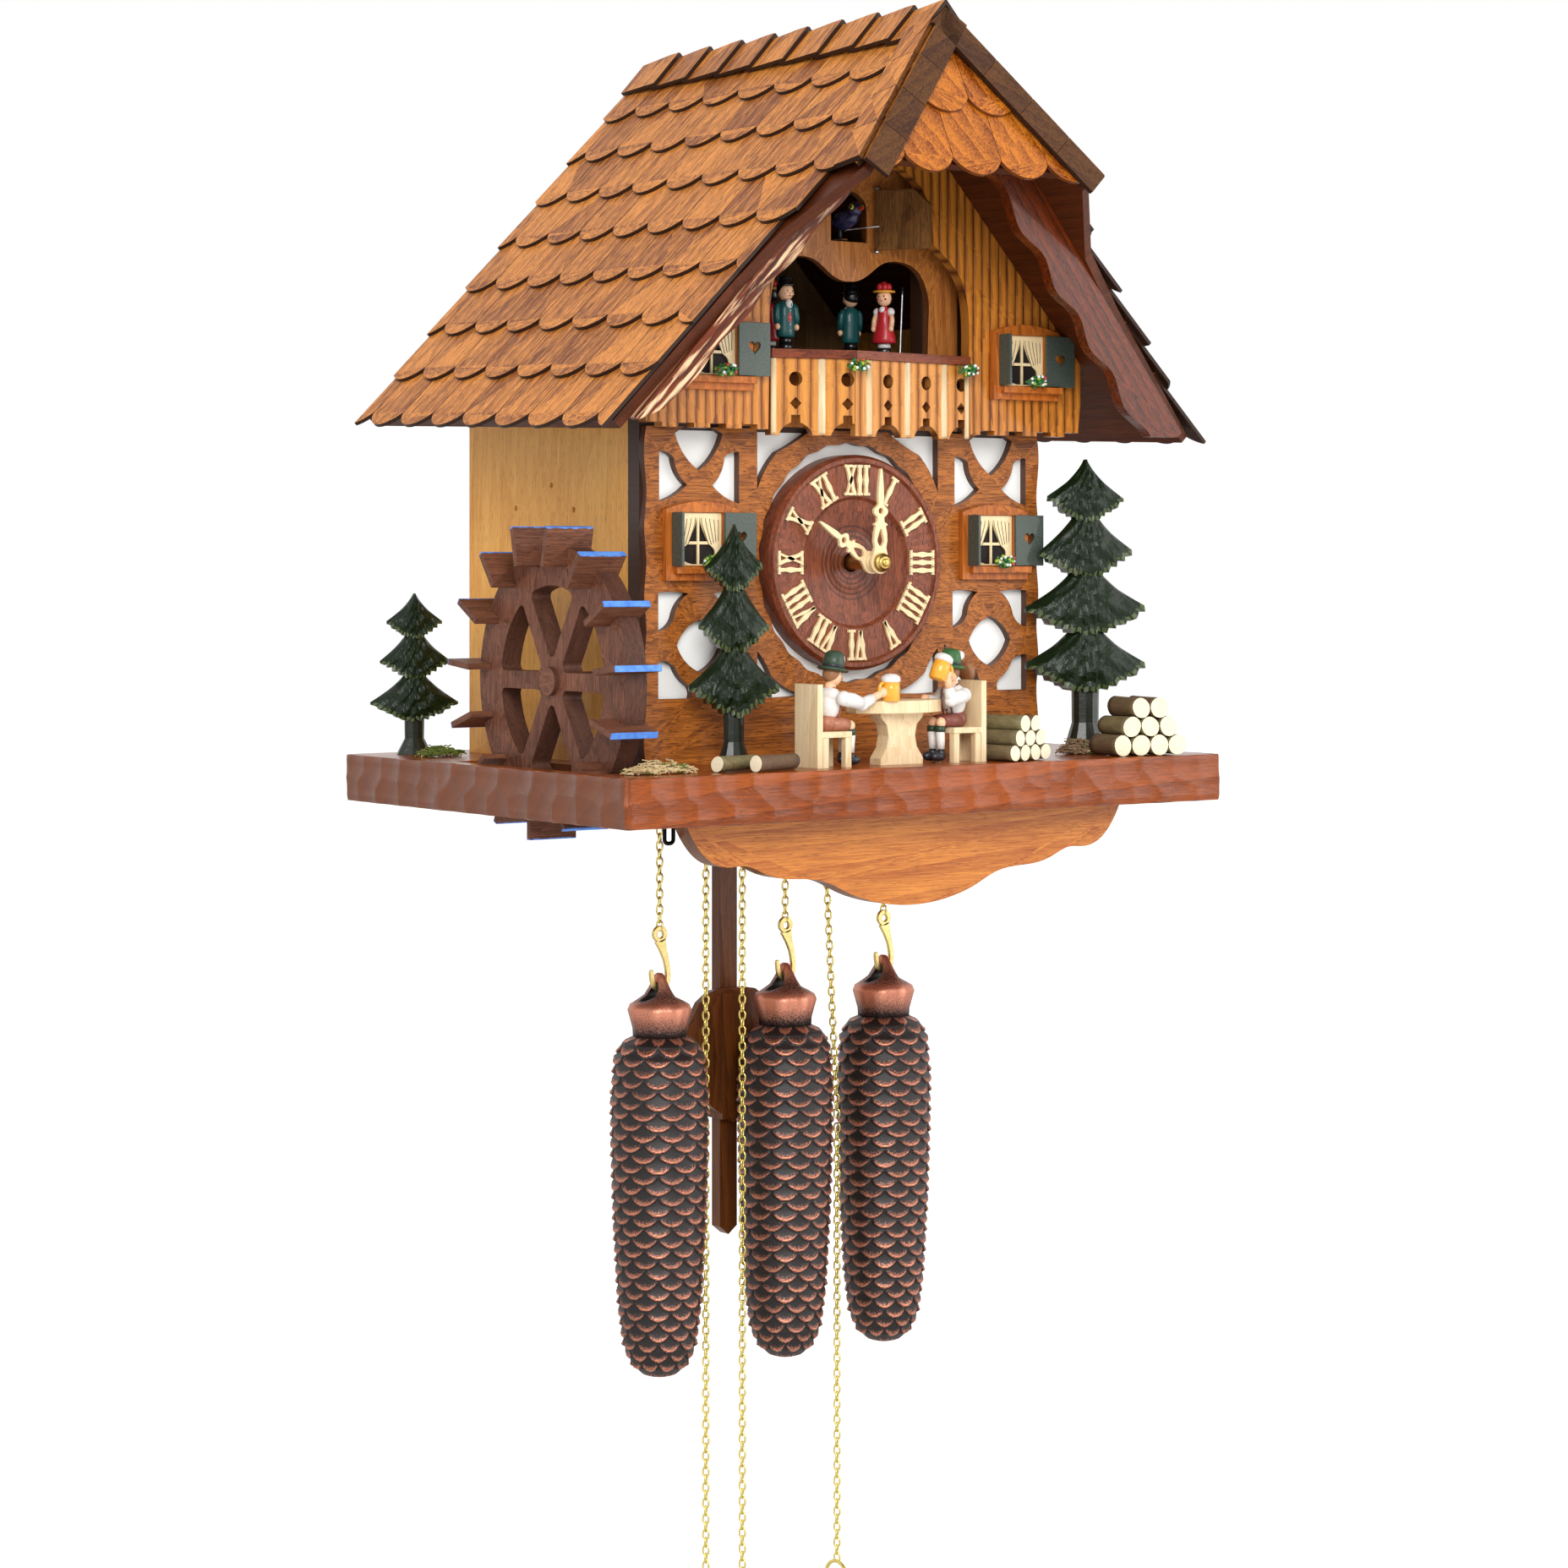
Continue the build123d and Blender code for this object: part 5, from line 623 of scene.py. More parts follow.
# %% Wheel, pendulum and cream finishes
pendulum_wood, *_ = stained_wood("pendulum_wood", swatch(122, 68, 26), swatch(66, 30, 10), rings=3.0, ring=0.5,
                                 fibre=0.5, boards=0.2, pores=0.6, rough=0.35, coat=0.3)
wheel_wood, *_ = stained_wood("wheel_wood", swatch(138, 88, 66), swatch(74, 40, 28), grain="up", rings=2.5,
                              ring=0.3, fibre=0.7, boards=0.15, pores=1.0, rough=0.5, coat=0.1,
                              edge=swatch(54, 34, 28), edge_face=(1, 0, 0), edge_amount=0.6)
door_wood, *_ = stained_wood("door_wood", swatch(156, 108, 58), swatch(96, 60, 28), rings=3.5, ring=0.35, fibre=0.7,
                             boards=0.1, pores=0.9, rough=0.48, coat=0.1, relief=0.0002)
cream, cream_tree, cream_shader = start_material("cream_moulding")
speckle = object_noise(cream_tree, 700, 2.0)
cream_tree.links.new(blend_colours(cream_tree, speckle, swatch(250, 230, 184), swatch(232, 202, 150)),
                     cream_shader.inputs["Base Color"])
cream_shader.inputs["Roughness"].default_value = 0.38
bump_into(cream_tree, cream_shader, speckle, 0.00003, 0.35)
dress("pendulum_rod", pendulum_wood)
dress("pendulum_bob", pendulum_wood)
dress("cuckoo_door", door_wood)
dress("wheel_discs", wheel_wood)
print("wheel and pendulum finished")

# %% [markdown]
# Each paddle's tip was dipped in blue: the paint begins at one distance from the wheel's axle, with a ragged line.

# %% Dipped paddles
WHEEL_CENTRE = deck(-143, -148, 38)
DIPPED_FROM = 70.1
paddle_wood, paddle_tree, paddle_shader, paddle_colour = stained_wood(
    "paddle_wood", swatch(132, 84, 62), swatch(76, 42, 30), grain="across", rings=2.5, ring=0.3, fibre=0.7,
    boards=0.3, pores=0.9, rough=0.5, coat=0.1)
from_axle = vector_maths(paddle_tree, "SUBTRACT", object_place(paddle_tree), WHEEL_CENTRE)
reach = vector_maths(paddle_tree, "LENGTH", stretch(paddle_tree, from_axle, (0, 1000, 1000)))
ragged = object_noise(paddle_tree, 300, 2.0)
uneven_reach = maths(paddle_tree, "ADD", reach, maths(paddle_tree, "MULTIPLY", ragged, 1.4))
dipped = maths(paddle_tree, "MULTIPLY", maths(paddle_tree, "SUBTRACT", uneven_reach, DIPPED_FROM), 6.0, clamp=True)
painted = blend_colours(paddle_tree, ragged, swatch(40, 96, 214), swatch(120, 176, 240))
paddle_tree.links.new(blend_colours(paddle_tree, dipped, paddle_colour, painted), paddle_shader.inputs["Base Color"])
dress("wheel_paddles", paddle_wood)
print("paddles are blue beyond 69 mm from", [round(v, 4) for v in WHEEL_CENTRE])

# %% [markdown]
# Metals: the chains are bright brass wire, the hooks are stamped brass with a duller face, and the clockwork
# is plain brass plate. Steel is brushed. Each gets fine scratches in its roughness, so that
# reflections break up as they do on real stampings.

# %% Metal finishes
def metal(name, light, dark, rough, relief=0.00003, scale=900, arris=0.2):
    material, tree, shader = start_material(name)
    worn = object_noise(tree, scale, 3.0)
    tree.links.new(blend_colours(tree, worn, light, dark), shader.inputs["Base Color"])
    tree.links.new(maths(tree, "ADD", maths(tree, "MULTIPLY", worn, 0.25), rough - 0.12), shader.inputs["Roughness"])
    shader.inputs["Metallic"].default_value = 1.0
    bump_into(tree, shader, worn, relief, arris)
    return material


chain_brass = metal("chain_brass", swatch(246, 232, 150), swatch(214, 190, 92), 0.24, arris=None)
hook_brass = metal("hook_brass", swatch(236, 216, 152), swatch(206, 180, 108), 0.36)
works_brass = metal("works_brass", swatch(226, 196, 120), swatch(190, 154, 80), 0.34)
steel = metal("bare_steel", swatch(205, 205, 208), swatch(165, 166, 170), 0.3)
blued_steel = metal("blued_steel", swatch(96, 100, 116), swatch(62, 66, 82), 0.34)
black_wire = metal("black_wire", swatch(38, 38, 40), swatch(20, 20, 22), 0.5)
for node_name in ("movement_frame", "music_movement", "sprocket_left", "sprocket_middle", "sprocket_right"):
    dress(node_name, works_brass)
for node_name in ("hanger_plate", "door_eyes", "gong_hammer"):
    dress(node_name, steel)
dress("gong", blued_steel)
dress("shutoff_lever", black_wire)
dress("bellows", frame_wood)
print("metals done")

# %% [markdown]
# Painted pieces share one recipe: brush-applied gloss with a faint unevenness, so that even a doll a
# few centimetres tall doesn't look like moulded plastic.

# %% Paint recipe
def paint(name, colour, second=None, rough=0.35, coat=0.2, scale=500, relief=0.00004, shine=0.35):
    material, tree, shader = start_material(name)
    uneven = object_noise(tree, scale, 3.0, 0.6)
    second = second or tuple(0.72 * part for part in colour[:3]) + (1,)
    tree.links.new(blend_colours(tree, uneven, colour, second), shader.inputs["Base Color"])
    tree.links.new(maths(tree, "ADD", maths(tree, "MULTIPLY", uneven, 0.25), rough - 0.1), shader.inputs["Roughness"])
    shader.inputs["Coat Weight"].default_value = coat
    shader.inputs["Specular IOR Level"].default_value = shine
    bump_into(tree, shader, uneven, relief)
    return material


paints = {
    "black": paint("black_gloss", swatch(24, 22, 24), rough=0.25, coat=0.6),
    "teal": paint("coat_teal", swatch(28, 92, 92), rough=0.35),
    "red": paint("vest_red", swatch(206, 44, 52), rough=0.3),
    "white": paint("shirt_white", swatch(244, 242, 238), swatch(214, 210, 206), rough=0.45),
    "skin": paint("face_paint", swatch(250, 206, 168), swatch(242, 184, 142), rough=0.4),
    "orange": paint("brim_orange", swatch(250, 176, 60), rough=0.35),
    "hat_green": paint("hat_green", swatch(62, 84, 62), swatch(28, 46, 34), rough=0.4),
    "hat_bright": paint("hat_bright", swatch(64, 120, 62), swatch(28, 66, 34), rough=0.4),
    "brown": paint("lederhosen", swatch(196, 132, 104), swatch(140, 82, 60), rough=0.5),
    "maroon": paint("trousers", swatch(150, 84, 72), swatch(104, 52, 44), rough=0.45),
    "shoe": paint("shoe_black", swatch(46, 46, 54), swatch(24, 24, 30), rough=0.35),
    "beer": paint("beer_yellow", swatch(250, 190, 60), swatch(238, 150, 32), rough=0.25, coat=0.6),
    "bird": paint("bird_blue", swatch(44, 52, 96), swatch(14, 16, 34), rough=0.3, coat=0.4, scale=260),
    "beak": paint("beak_red", swatch(206, 52, 30), rough=0.3),
    "yellow": paint("eye_yellow", swatch(220, 214, 60), rough=0.3),
    "ochre": paint("ochre", swatch(170, 118, 78), swatch(120, 78, 50), rough=0.5),
}
print("paints", len(paints))

# %% [markdown]
# ## Shapes
# The helpers below each add one kind of made thing to a mesh under construction: a turned body, a bent wire,
# a moulded ball, a planed block, a fretted board. A piece is finished by `finish_piece`, which gives it
# its paint and its body to ride on, and hides the solids that it stands for.

# %% Mesh helpers
def finish_piece(name, bm, materials, body, stands_for=(), smooth=True):
    mesh = bpy.data.meshes.new(name)
    bmesh.ops.recalc_face_normals(bm, faces=bm.faces)
    bm.to_mesh(mesh)
    bm.free()
    for material in materials:
        mesh.materials.append(material)
    if smooth:
        mesh.shade_smooth()
    piece = bpy.data.objects.new(name, mesh)
    bpy.context.scene.collection.objects.link(piece)
    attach(piece, body)
    if stands_for:
        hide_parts(*stands_for)
    return piece


def skin(bm, rings, paint_slot=0, closed=True):
    """Faces between rows of points; `closed` joins each row's last point to its first."""
    made = []
    for low, high in zip(rings, rings[1:]):
        for k in range(len(low) if closed else len(low) - 1):
            after = (k + 1) % len(low)
            face = bm.faces.new((low[k], low[after], high[after], high[k]))
            face.material_index = paint_slot
            made.append(face)
    return made


def turned(bm, profile, place, steps=28, paint_slot=0, squash=(1, 1), closed=True):
    """A lathe form: (radius, height) pairs in mm round +Z of the matrix or point `place` (metres)."""
    matrix = place if isinstance(place, Matrix) else Matrix.Translation(place)
    rings = []
    for radius, height in profile:
        ring = []
        for step in range(steps):
            angle = 2 * math.pi * step / steps
            spot = Vector((math.cos(angle) * radius * squash[0], math.sin(angle) * radius * squash[1], height)) / 1000
            ring.append(bm.verts.new(matrix @ spot))
        rings.append(ring)
    skin(bm, rings, paint_slot)
    if closed:
        for ring in (rings[0], rings[-1]):
            bm.faces.new(ring).material_index = paint_slot


def bent_wire(bm, points, radius, sides=8, paint_slot=0, ring=False, radii=None):
    """A tube in mm along points in metres; `ring` joins its ends."""
    count = len(points)
    frames = []
    normal = None
    for index, point in enumerate(points):
        before = points[index - 1] if (ring or index) else point
        after = points[(index + 1) % count] if (ring or index < count - 1) else point
        along = (after - before).normalized()
        if normal is None:
            normal = along.orthogonal().normalized()
        normal = (normal - along * normal.dot(along)).normalized()
        frames.append((point, normal.copy(), along.cross(normal)))
    circles = []
    for index, (point, side, up) in enumerate(frames):
        size = (radii[index] if radii else radius) / 1000
        circles.append([bm.verts.new(point + (side * math.cos(2 * math.pi * s / sides)
                                              + up * math.sin(2 * math.pi * s / sides)) * size)
                        for s in range(sides)])
    pairs = list(zip(circles, circles[1:])) + ([(circles[-1], circles[0])] if ring else [])
    for first, second in pairs:
        shift_by = 0
        if ring and first is circles[-1]:
            shift_by = min(range(sides), key=lambda k: (second[k].co - first[0].co).length)
        for s in range(sides):
            quad = (first[s], first[(s + 1) % sides], second[(s + 1 + shift_by) % sides],
                    second[(s + shift_by) % sides])
            bm.faces.new(quad).material_index = paint_slot
    if not ring:
        for circle in (circles[0], circles[-1]):
            bm.faces.new(circle).material_index = paint_slot


def ball(bm, centre, radii, paint_slot=0, steps=16, turn=None):
    """A moulded ball; centre in metres, radii in mm, `turn` an optional rotation."""
    matrix = Matrix.Translation(centre) @ (turn.to_4x4() if turn else Matrix.Identity(4))
    matrix = matrix @ Matrix.Diagonal((*(r / 1000 for r in radii), 1))
    made = bmesh.ops.create_uvsphere(bm, u_segments=steps, v_segments=max(6, steps // 2), radius=1.0, matrix=matrix)
    for face in {f for v in made["verts"] for f in v.link_faces}:
        face.material_index = paint_slot


def planed(bm, low, high, paint_slot=0, chamfer=0.4):
    """A block with eased edges between two deck points in mm."""
    made = bmesh.ops.create_cube(bm, size=1.0)
    centre = [(a + b) / 2 for a, b in zip(low, high)]
    size = [abs(b - a) / 1000 for a, b in zip(low, high)]
    for vert in made["verts"]:
        vert.co = Vector(deck(*centre)) + Vector(c * s for c, s in zip(vert.co, size))
    edges = list({e for v in made["verts"] for e in v.link_edges})
    for face in {f for v in made["verts"] for f in v.link_faces}:
        face.material_index = paint_slot
    bmesh.ops.bevel(bm, geom=edges, offset=chamfer / 1000, segments=2, affect="EDGES")


def fretted(bm, outlines, thickness, matrix, paint_slot=0, round_edge=0.0):
    """A fret-sawn board: closed outlines in mm (the first is the rim, others are holes), sawn from a sheet
    `thickness` mm thick whose middle lies in the XY plane of `matrix` (metres)."""
    data = bpy.data.curves.new("sawing", "CURVE")
    data.dimensions = "2D"
    data.fill_mode = "BOTH"
    data.extrude = max(thickness / 2 - round_edge, 0.01) / 1000
    data.bevel_depth = round_edge / 1000
    data.offset = -round_edge / 1000
    data.bevel_resolution = 1
    for outline in outlines:
        spline = data.splines.new("POLY")
        spline.points.add(len(outline) - 1)
        for spot, (u, v) in zip(spline.points, outline):
            spot.co = (u / 1000, v / 1000, 0, 1)
        spline.use_cyclic_u = True
    holder = bpy.data.objects.new("sawing", data)
    bpy.context.scene.collection.objects.link(holder)
    mesh = bpy.data.meshes.new_from_object(holder)
    mesh.transform(matrix)
    first = len(bm.faces)
    bm.from_mesh(mesh)
    bm.faces.ensure_lookup_table()
    for face in bm.faces[first:]:
        face.material_index = paint_slot
        face.smooth = False
    bpy.data.objects.remove(holder)
    bpy.data.meshes.remove(mesh)
    bpy.data.curves.remove(data)


def smooth_line(points, steps=8, closed=False):
    """A soft curve through points: Catmull-Rom, the same number of steps between each pair."""
    count = len(points)
    line = []
    spans = count if closed else count - 1
    for index in range(spans):
        if closed:
            p0, p1, p2, p3 = (points[(index + k) % count] for k in (-1, 0, 1, 2))
        else:
            p0, p1 = points[max(index - 1, 0)], points[index]
            p2, p3 = points[index + 1], points[min(index + 2, count - 1)]
        for step in range(steps):
            t = step / steps
            line.append(tuple(0.5 * (2 * b + (c - a) * t + (2 * a - 5 * b + 4 * c - d) * t * t
                                     + (3 * b - a - 3 * c + d) * t ** 3) for a, b, c, d in zip(p0, p1, p2, p3)))
    if not closed:
        line.append(tuple(points[-1]))
    return line


def arc(cx, cy, radius, start, end, steps=12):
    """Points on an arc, angles in degrees."""
    return [(cx + radius * math.cos(math.radians(start + (end - start) * k / steps)),
             cy + radius * math.sin(math.radians(start + (end - start) * k / steps))) for k in range(steps + 1)]


FACE_ON = Matrix(((1, 0, 0, 0), (0, 0, -1, 0), (0, 1, 0, 0), (0, 0, 0, 1)))


def facing_front(x, y, z):
    """Sheet X to the right, sheet Y up, its face to the front (-Y), at a deck point."""
    return Matrix.Translation(deck(x, y, z)) @ FACE_ON


print("mesh helpers ready")

# %% [markdown]
# The chain is oval brass wire links, each one turned a quarter from its neighbour; every 3.7 mm
# there is another link. Modelling one link and repeating it is how chains are made in Blender too, but
# here the links are written into one mesh, because a whole run moves together on the clock.

# %% Chains
LINK_STEP = 3.715
LINK_HALF_LENGTH, LINK_HALF_WIDTH, LINK_WIRE = 2.32, 1.42, 0.47
CHAIN_Y = -105.0


def chain_run(bm, low, high):
    """Links from deck point `low` up to deck point `high`."""
    low, high = Vector(low), Vector(high)
    along = (high - low).normalized()
    side = Vector((0, 1, 0)).cross(along).normalized()
    depth = along.cross(side)
    count = int((high - low).length / LINK_STEP)
    straight = LINK_HALF_LENGTH - LINK_HALF_WIDTH
    loop = []
    for end, start in ((1, 0), (-1, 180)):
        for step in range(5):
            angle = math.radians(start + 180 * step / 4)
            loop.append((LINK_HALF_WIDTH * math.cos(angle), end * straight + LINK_HALF_WIDTH * math.sin(angle)))
    for index in range(count):
        centre = low + along * LINK_STEP * (index + 0.5)
        flat_way = (side * 0.82 + depth * 0.57) if index % 2 else (side * -0.57 + depth * 0.82)
        points = [deck(*(centre + flat_way * u + along * v)) for u, v in loop]
        bent_wire(bm, points, LINK_WIRE, sides=6, ring=True)
    return count


LOADED = {"left": -61.2, "middle": 11.4, "right": 70.8}
FREE = {"left": (-32.8, -102.0, 80.0, 0.0), "middle": (-17.0, -109.5, 80.0, 0.0),
        "right": (42.4, -105.0, 26.0, -11.0)}
PULL_RING_TOP, PULL_RING_HEIGHT, PULL_RING_RADIUS, LEAN_FROM = -393.0, -402.0, 9.0, -178.0
for name, (x, y, top, lean) in FREE.items():
    bm = bmesh.new()
    knee = LEAN_FROM if lean else PULL_RING_TOP
    made = 0
    if lean:
        made += chain_run(bm, (x, y, PULL_RING_TOP), (x, y, knee))
    made += chain_run(bm, (x, y, knee), (x + lean, y, top))
    ring_at = deck(x, y, PULL_RING_HEIGHT)
    bent_wire(bm, [ring_at + Vector((0, math.cos(a), math.sin(a))) * PULL_RING_RADIUS / 1000
                   for a in (2 * math.pi * k / 36 for k in range(36))], 0.95, sides=10, ring=True)
    finish_piece("pull_chain_" + name, bm, [chain_brass], "free_chain_" + name, ["free_chain_" + name])
    print("pull chain", name, made, "links")

# %% [markdown]
# Each loaded chain ends in a flat brass hook: a round eye on top, a slim swan neck, and a claw that passes
# through the weight's lug. It is stamped from sheet, so it is drawn as an outline of changing width
# along a soft centre line and given the sheet's thickness.

# %% Weight hooks
def ribbon(line, widths):
    """The outline of a strip that follows a line, with its own width at each point."""
    left, right = [], []
    for index, (u, v) in enumerate(line):
        before, after = line[max(index - 1, 0)], line[min(index + 1, len(line) - 1)]
        du, dv = after[0] - before[0], after[1] - before[1]
        size = math.hypot(du, dv) or 1.0
        half = widths[index] / 2
        left.append((u - dv / size * half, v + du / size * half))
        right.append((u + dv / size * half, v - du / size * half))
    return left + right[::-1]


def spread_over(values, count):
    """Values spaced along a line, filled in between to `count` numbers."""
    filled = []
    for index in range(count):
        at = index / (count - 1) * (len(values) - 1)
        low = min(int(at), len(values) - 2)
        filled.append(values[low] + (values[low + 1] - values[low]) * (at - low))
    return filled


CHAIN_LOW, CHAIN_HIGH, EYE_MIDDLE = -81.0, 166.0, -83.0
EYE_RADIUS, EYE_HOLE_RADIUS, HOOK_SHEET, HOOK_EDGE = 3.9, 1.7, 1.9, 0.25
NECK_LINE = [(0.2, -2.8), (1.8, -7.5), (3.5, -12.5), (4.5, -18.0), (4.2, -22.5), (1.9, -25.6), (-1.2, -25.9),
             (-3.7, -23.0), (-4.6, -18.6), (-4.7, -16.6)]
NECK_WIDTHS = [6.2, 3.6, 2.6, 2.4, 2.3, 2.2, 2.2, 2.2, 2.0, 1.3]
neck = smooth_line(NECK_LINE, 5)
neck_outline = ribbon(neck, spread_over(NECK_WIDTHS, len(neck)))
for name, x in LOADED.items():
    bm = bmesh.new()
    made = chain_run(bm, (x, CHAIN_Y, CHAIN_LOW), (x, CHAIN_Y, CHAIN_HIGH))
    for outlines in ([arc(0, 0, EYE_RADIUS, 0, 354, 30), arc(0, -0.2, EYE_HOLE_RADIUS, 0, 345, 20)], [neck_outline]):
        fretted(bm, outlines, HOOK_SHEET, facing_front(x, CHAIN_Y, EYE_MIDDLE), 1, HOOK_EDGE)
    finish_piece("hook_" + name, bm, [chain_brass, hook_brass], "weight_" + name, ["hook_chain_" + name])
print("hooks with", made, "links each")

# %% [markdown]
# The weights are iron pine cones, cast in sand, blackened and rubbed with copper powder. Their
# scales are shallow scoops in staggered rows, deepest under each scale's lower lip. The cone is one
# grid of points round the casting; a height function gives each point its place between the scoop's floor and
# the lip, and the same height drives the copper: what stands proud is what the hand rubbed.

# %% Cone weights
CONE_FOOT = -290.0
CONE_PROFILE = [(2.5, 0.3), (8, 1.7), (14, 6), (18, 15), (20.5, 35), (22.5, 70), (23.6, 105), (23.9, 130),
                (22.3, 150), (18.5, 156.5), (12.4, 159.5)]
ROW_PITCH, SCALES_ROUND, SCALE_RELIEF = 4.9, 10, 2.1
CONE_STEPS, CONE_ROWS = 196, 300


def cone_radius(height):
    for (r0, h0), (r1, h1) in zip(CONE_PROFILE, CONE_PROFILE[1:]):
        if height <= h1:
            t = (height - h0) / (h1 - h0)
            return r0 + (r1 - r0) * t
    return CONE_PROFILE[-1][0]


def scale_height(turn, height):
    """0 at a scoop's floor to 1 at a scale's lip, for an angle in turns and a height in mm."""
    best = 0.0
    for row in range(math.floor(height / ROW_PITCH) - 2, math.floor(height / ROW_PITCH) + 2):
        column = turn * SCALES_ROUND + (0.5 if row % 2 else 0.0)
        across = (column - math.floor(column) - 0.5) * 2
        lip = (row + 0.7 * across * across) * ROW_PITCH
        above = (height - lip) / (ROW_PITCH * 1.7)
        if 0 <= above < 1:
            swell = (1 - abs(across) ** 2.6) ** 0.6
            back = 1 - above
            rise = back * back * (0.55 + 0.45 * back) if above > 0.12 else 0.7 + 2.5 * above
            best = max(best, swell * rise)
    return min(1.0, best)


def cone_casting(bm, x, tint):
    grid = []
    for level in range(CONE_ROWS + 1):
        height = 0.3 + 159.2 * level / CONE_ROWS
        calm = min(1.0, height / 8.0, (159.5 - height) / 6.0 + 0.1)
        line = []
        for step in range(CONE_STEPS):
            turn = step / CONE_STEPS
            lift = scale_height(turn, height)
            radius = cone_radius(height) - SCALE_RELIEF * (1 - lift) * calm
            angle = 2 * math.pi * turn
            vert = bm.verts.new(deck(x + radius * math.cos(angle), CHAIN_Y + radius * math.sin(angle),
                                     CONE_FOOT + height))
            vert[tint] = lift
            line.append(vert)
        grid.append(line)
    skin(bm, grid)
    bm.faces.new(grid[0][::-1])


def lug(bm, x, tint):
    """The eight-sided collar and the pinched loop on top, lofted from squashed rings."""
    rings = []
    levels = [(158.5, 12.6, 12.6, 0.2), (163, 12.8, 12.8, 0.5), (171.6, 15.2, 15.2, 1.0), (174.2, 14.2, 14.2, 0.9),
              (175.8, 10.8, 12.4, 0.6), (178.2, 5.2, 10.6, 0.5), (181.5, 2.9, 8.4, 0.6), (185.0, 2.1, 5.6, 0.8),
              (187.6, 1.7, 3.9, 0.9), (188.8, 0.9, 2.0, 0.8)]
    for height, across, deep, rub in levels:
        ring = []
        for step in range(48):
            angle = 2 * math.pi * step / 48
            facet = 1.0 if height > 175 else 1 - 0.045 * (1 - abs(math.cos(4 * angle)))
            vert = bm.verts.new(deck(x + across * facet * math.cos(angle), CHAIN_Y + deep * facet * math.sin(angle),
                                     CONE_FOOT + height))
            vert[tint] = rub
            ring.append(vert)
        rings.append(ring)
    skin(bm, rings)
    bm.faces.new(rings[0][::-1])
    bm.faces.new(rings[-1])


rubbed_iron, iron_tree, iron_shader = start_material("rubbed_iron")
lip_mask = iron_tree.nodes.new("ShaderNodeAttribute")
lip_mask.attribute_name = "rubbed"
sand = object_noise(iron_tree, 1500, 2.0)
patches = object_noise(iron_tree, 60, 2.0)
proud = maths(iron_tree, "MULTIPLY", maths(iron_tree, "SUBTRACT", lip_mask.outputs["Fac"], 0.4), 2.4)
rub = maths(iron_tree, "ADD", proud, maths(iron_tree, "MULTIPLY", maths(iron_tree, "SUBTRACT", sand, 0.5), 2.2))
rub = maths(iron_tree, "MULTIPLY", rub, maths(iron_tree, "ADD", patches, 0.35), clamp=True)
iron_tree.links.new(blend_colours(iron_tree, rub, swatch(30, 24, 24), swatch(206, 134, 108)),
                    iron_shader.inputs["Base Color"])
iron_tree.links.new(maths(iron_tree, "ADD", maths(iron_tree, "MULTIPLY", rub, 0.5), 0.25, clamp=True),
                    iron_shader.inputs["Metallic"])
iron_tree.links.new(maths(iron_tree, "SUBTRACT", 0.46, maths(iron_tree, "MULTIPLY", rub, 0.1)),
                    iron_shader.inputs["Roughness"])
bump_into(iron_tree, iron_shader, sand, 0.00012)
print("rubbed iron ready")

# %% [markdown]
# Three alike are cast, one on each loaded chain. The lug on top gets its hole from a Boolean modifier, as a
# drilled hole is a cylinder taken away; the drill is then removed.

# %% Casting the three weights
LUG_HOLE_RADIUS, LUG_HOLE_HEIGHT = 3.5, -110.6
for name, x in LOADED.items():
    bm = bmesh.new()
    tint = bm.verts.layers.float.new("rubbed")
    cone_casting(bm, x, tint)
    casting = finish_piece("cone_weight_" + name, bm, [rubbed_iron], "weight_" + name,
                           ["weight_" + name])
    bm = bmesh.new()
    tint = bm.verts.layers.float.new("rubbed")
    lug(bm, x, tint)
    loop = finish_piece("cone_lug_" + name, bm, [rubbed_iron], "weight_" + name)
    drill_mesh = bpy.data.meshes.new("lug_drill")
    drill = bmesh.new()
    turned(drill, [(LUG_HOLE_RADIUS, -12), (LUG_HOLE_RADIUS, 12)],
           Matrix.Translation(deck(x, CHAIN_Y, LUG_HOLE_HEIGHT)) @ Matrix.Rotation(math.radians(90), 4, "Y"), 32)
    bmesh.ops.recalc_face_normals(drill, faces=drill.faces)
    drill.to_mesh(drill_mesh)
    drill.free()
    drill_object = bpy.data.objects.new("lug_drill", drill_mesh)
    bpy.context.scene.collection.objects.link(drill_object)
    cut = loop.modifiers.new("hole", "BOOLEAN")
    cut.operation = "DIFFERENCE"
    cut.solver = "EXACT"
    cut.object = drill_object
    bpy.context.view_layer.update()
    bored = bpy.data.meshes.new_from_object(loop.evaluated_get(bpy.context.evaluated_depsgraph_get()))
    loop.modifiers.clear()
    loop.data = bored
    bpy.data.objects.remove(drill_object)
print("cone weights", len(casting.data.vertices), "points each")

# %% [markdown]
# The deck is a thick lime board whose front and side edges are scooped with a gouge, one shallow bite beside
# the next. The plain middle of the board is the carried-over solid, clipped back from the edges; the
# gouged rim is a new strip of points round it, and each point sinks by the depth of the nearest bite.
# The end grain at the sides took the stain differently, so the edge mask turns it a duller brown.

# %% Deck with a gouged rim
DECK_HALF, DECK_FRONT, DECK_THICK, CLIP = 170.0, -241.5, 22.0, 9.0
FIRST_ROW_DOWN, ROW_GAP, ROW_SHIFT = 5.0, 11.5, 0.4
BITE_PITCH, BITE_HALF_LENGTH, BITE_HALF_HEIGHT, BITE_DEPTH = 17.0, 11.5, 10.5, 1.35
deck_wood, *_ = stained_wood(
    "deck_wood", swatch(164, 80, 26), swatch(94, 38, 6), grain="across", rings=2.2, ring=0.4, fibre=0.55,
    boards=0.0, pores=0.3, rough=0.28, coat=0.55, arris=None, edge=swatch(108, 66, 46), edge_face=(0, -0.72, 0.7),
    edge_amount=0.75)


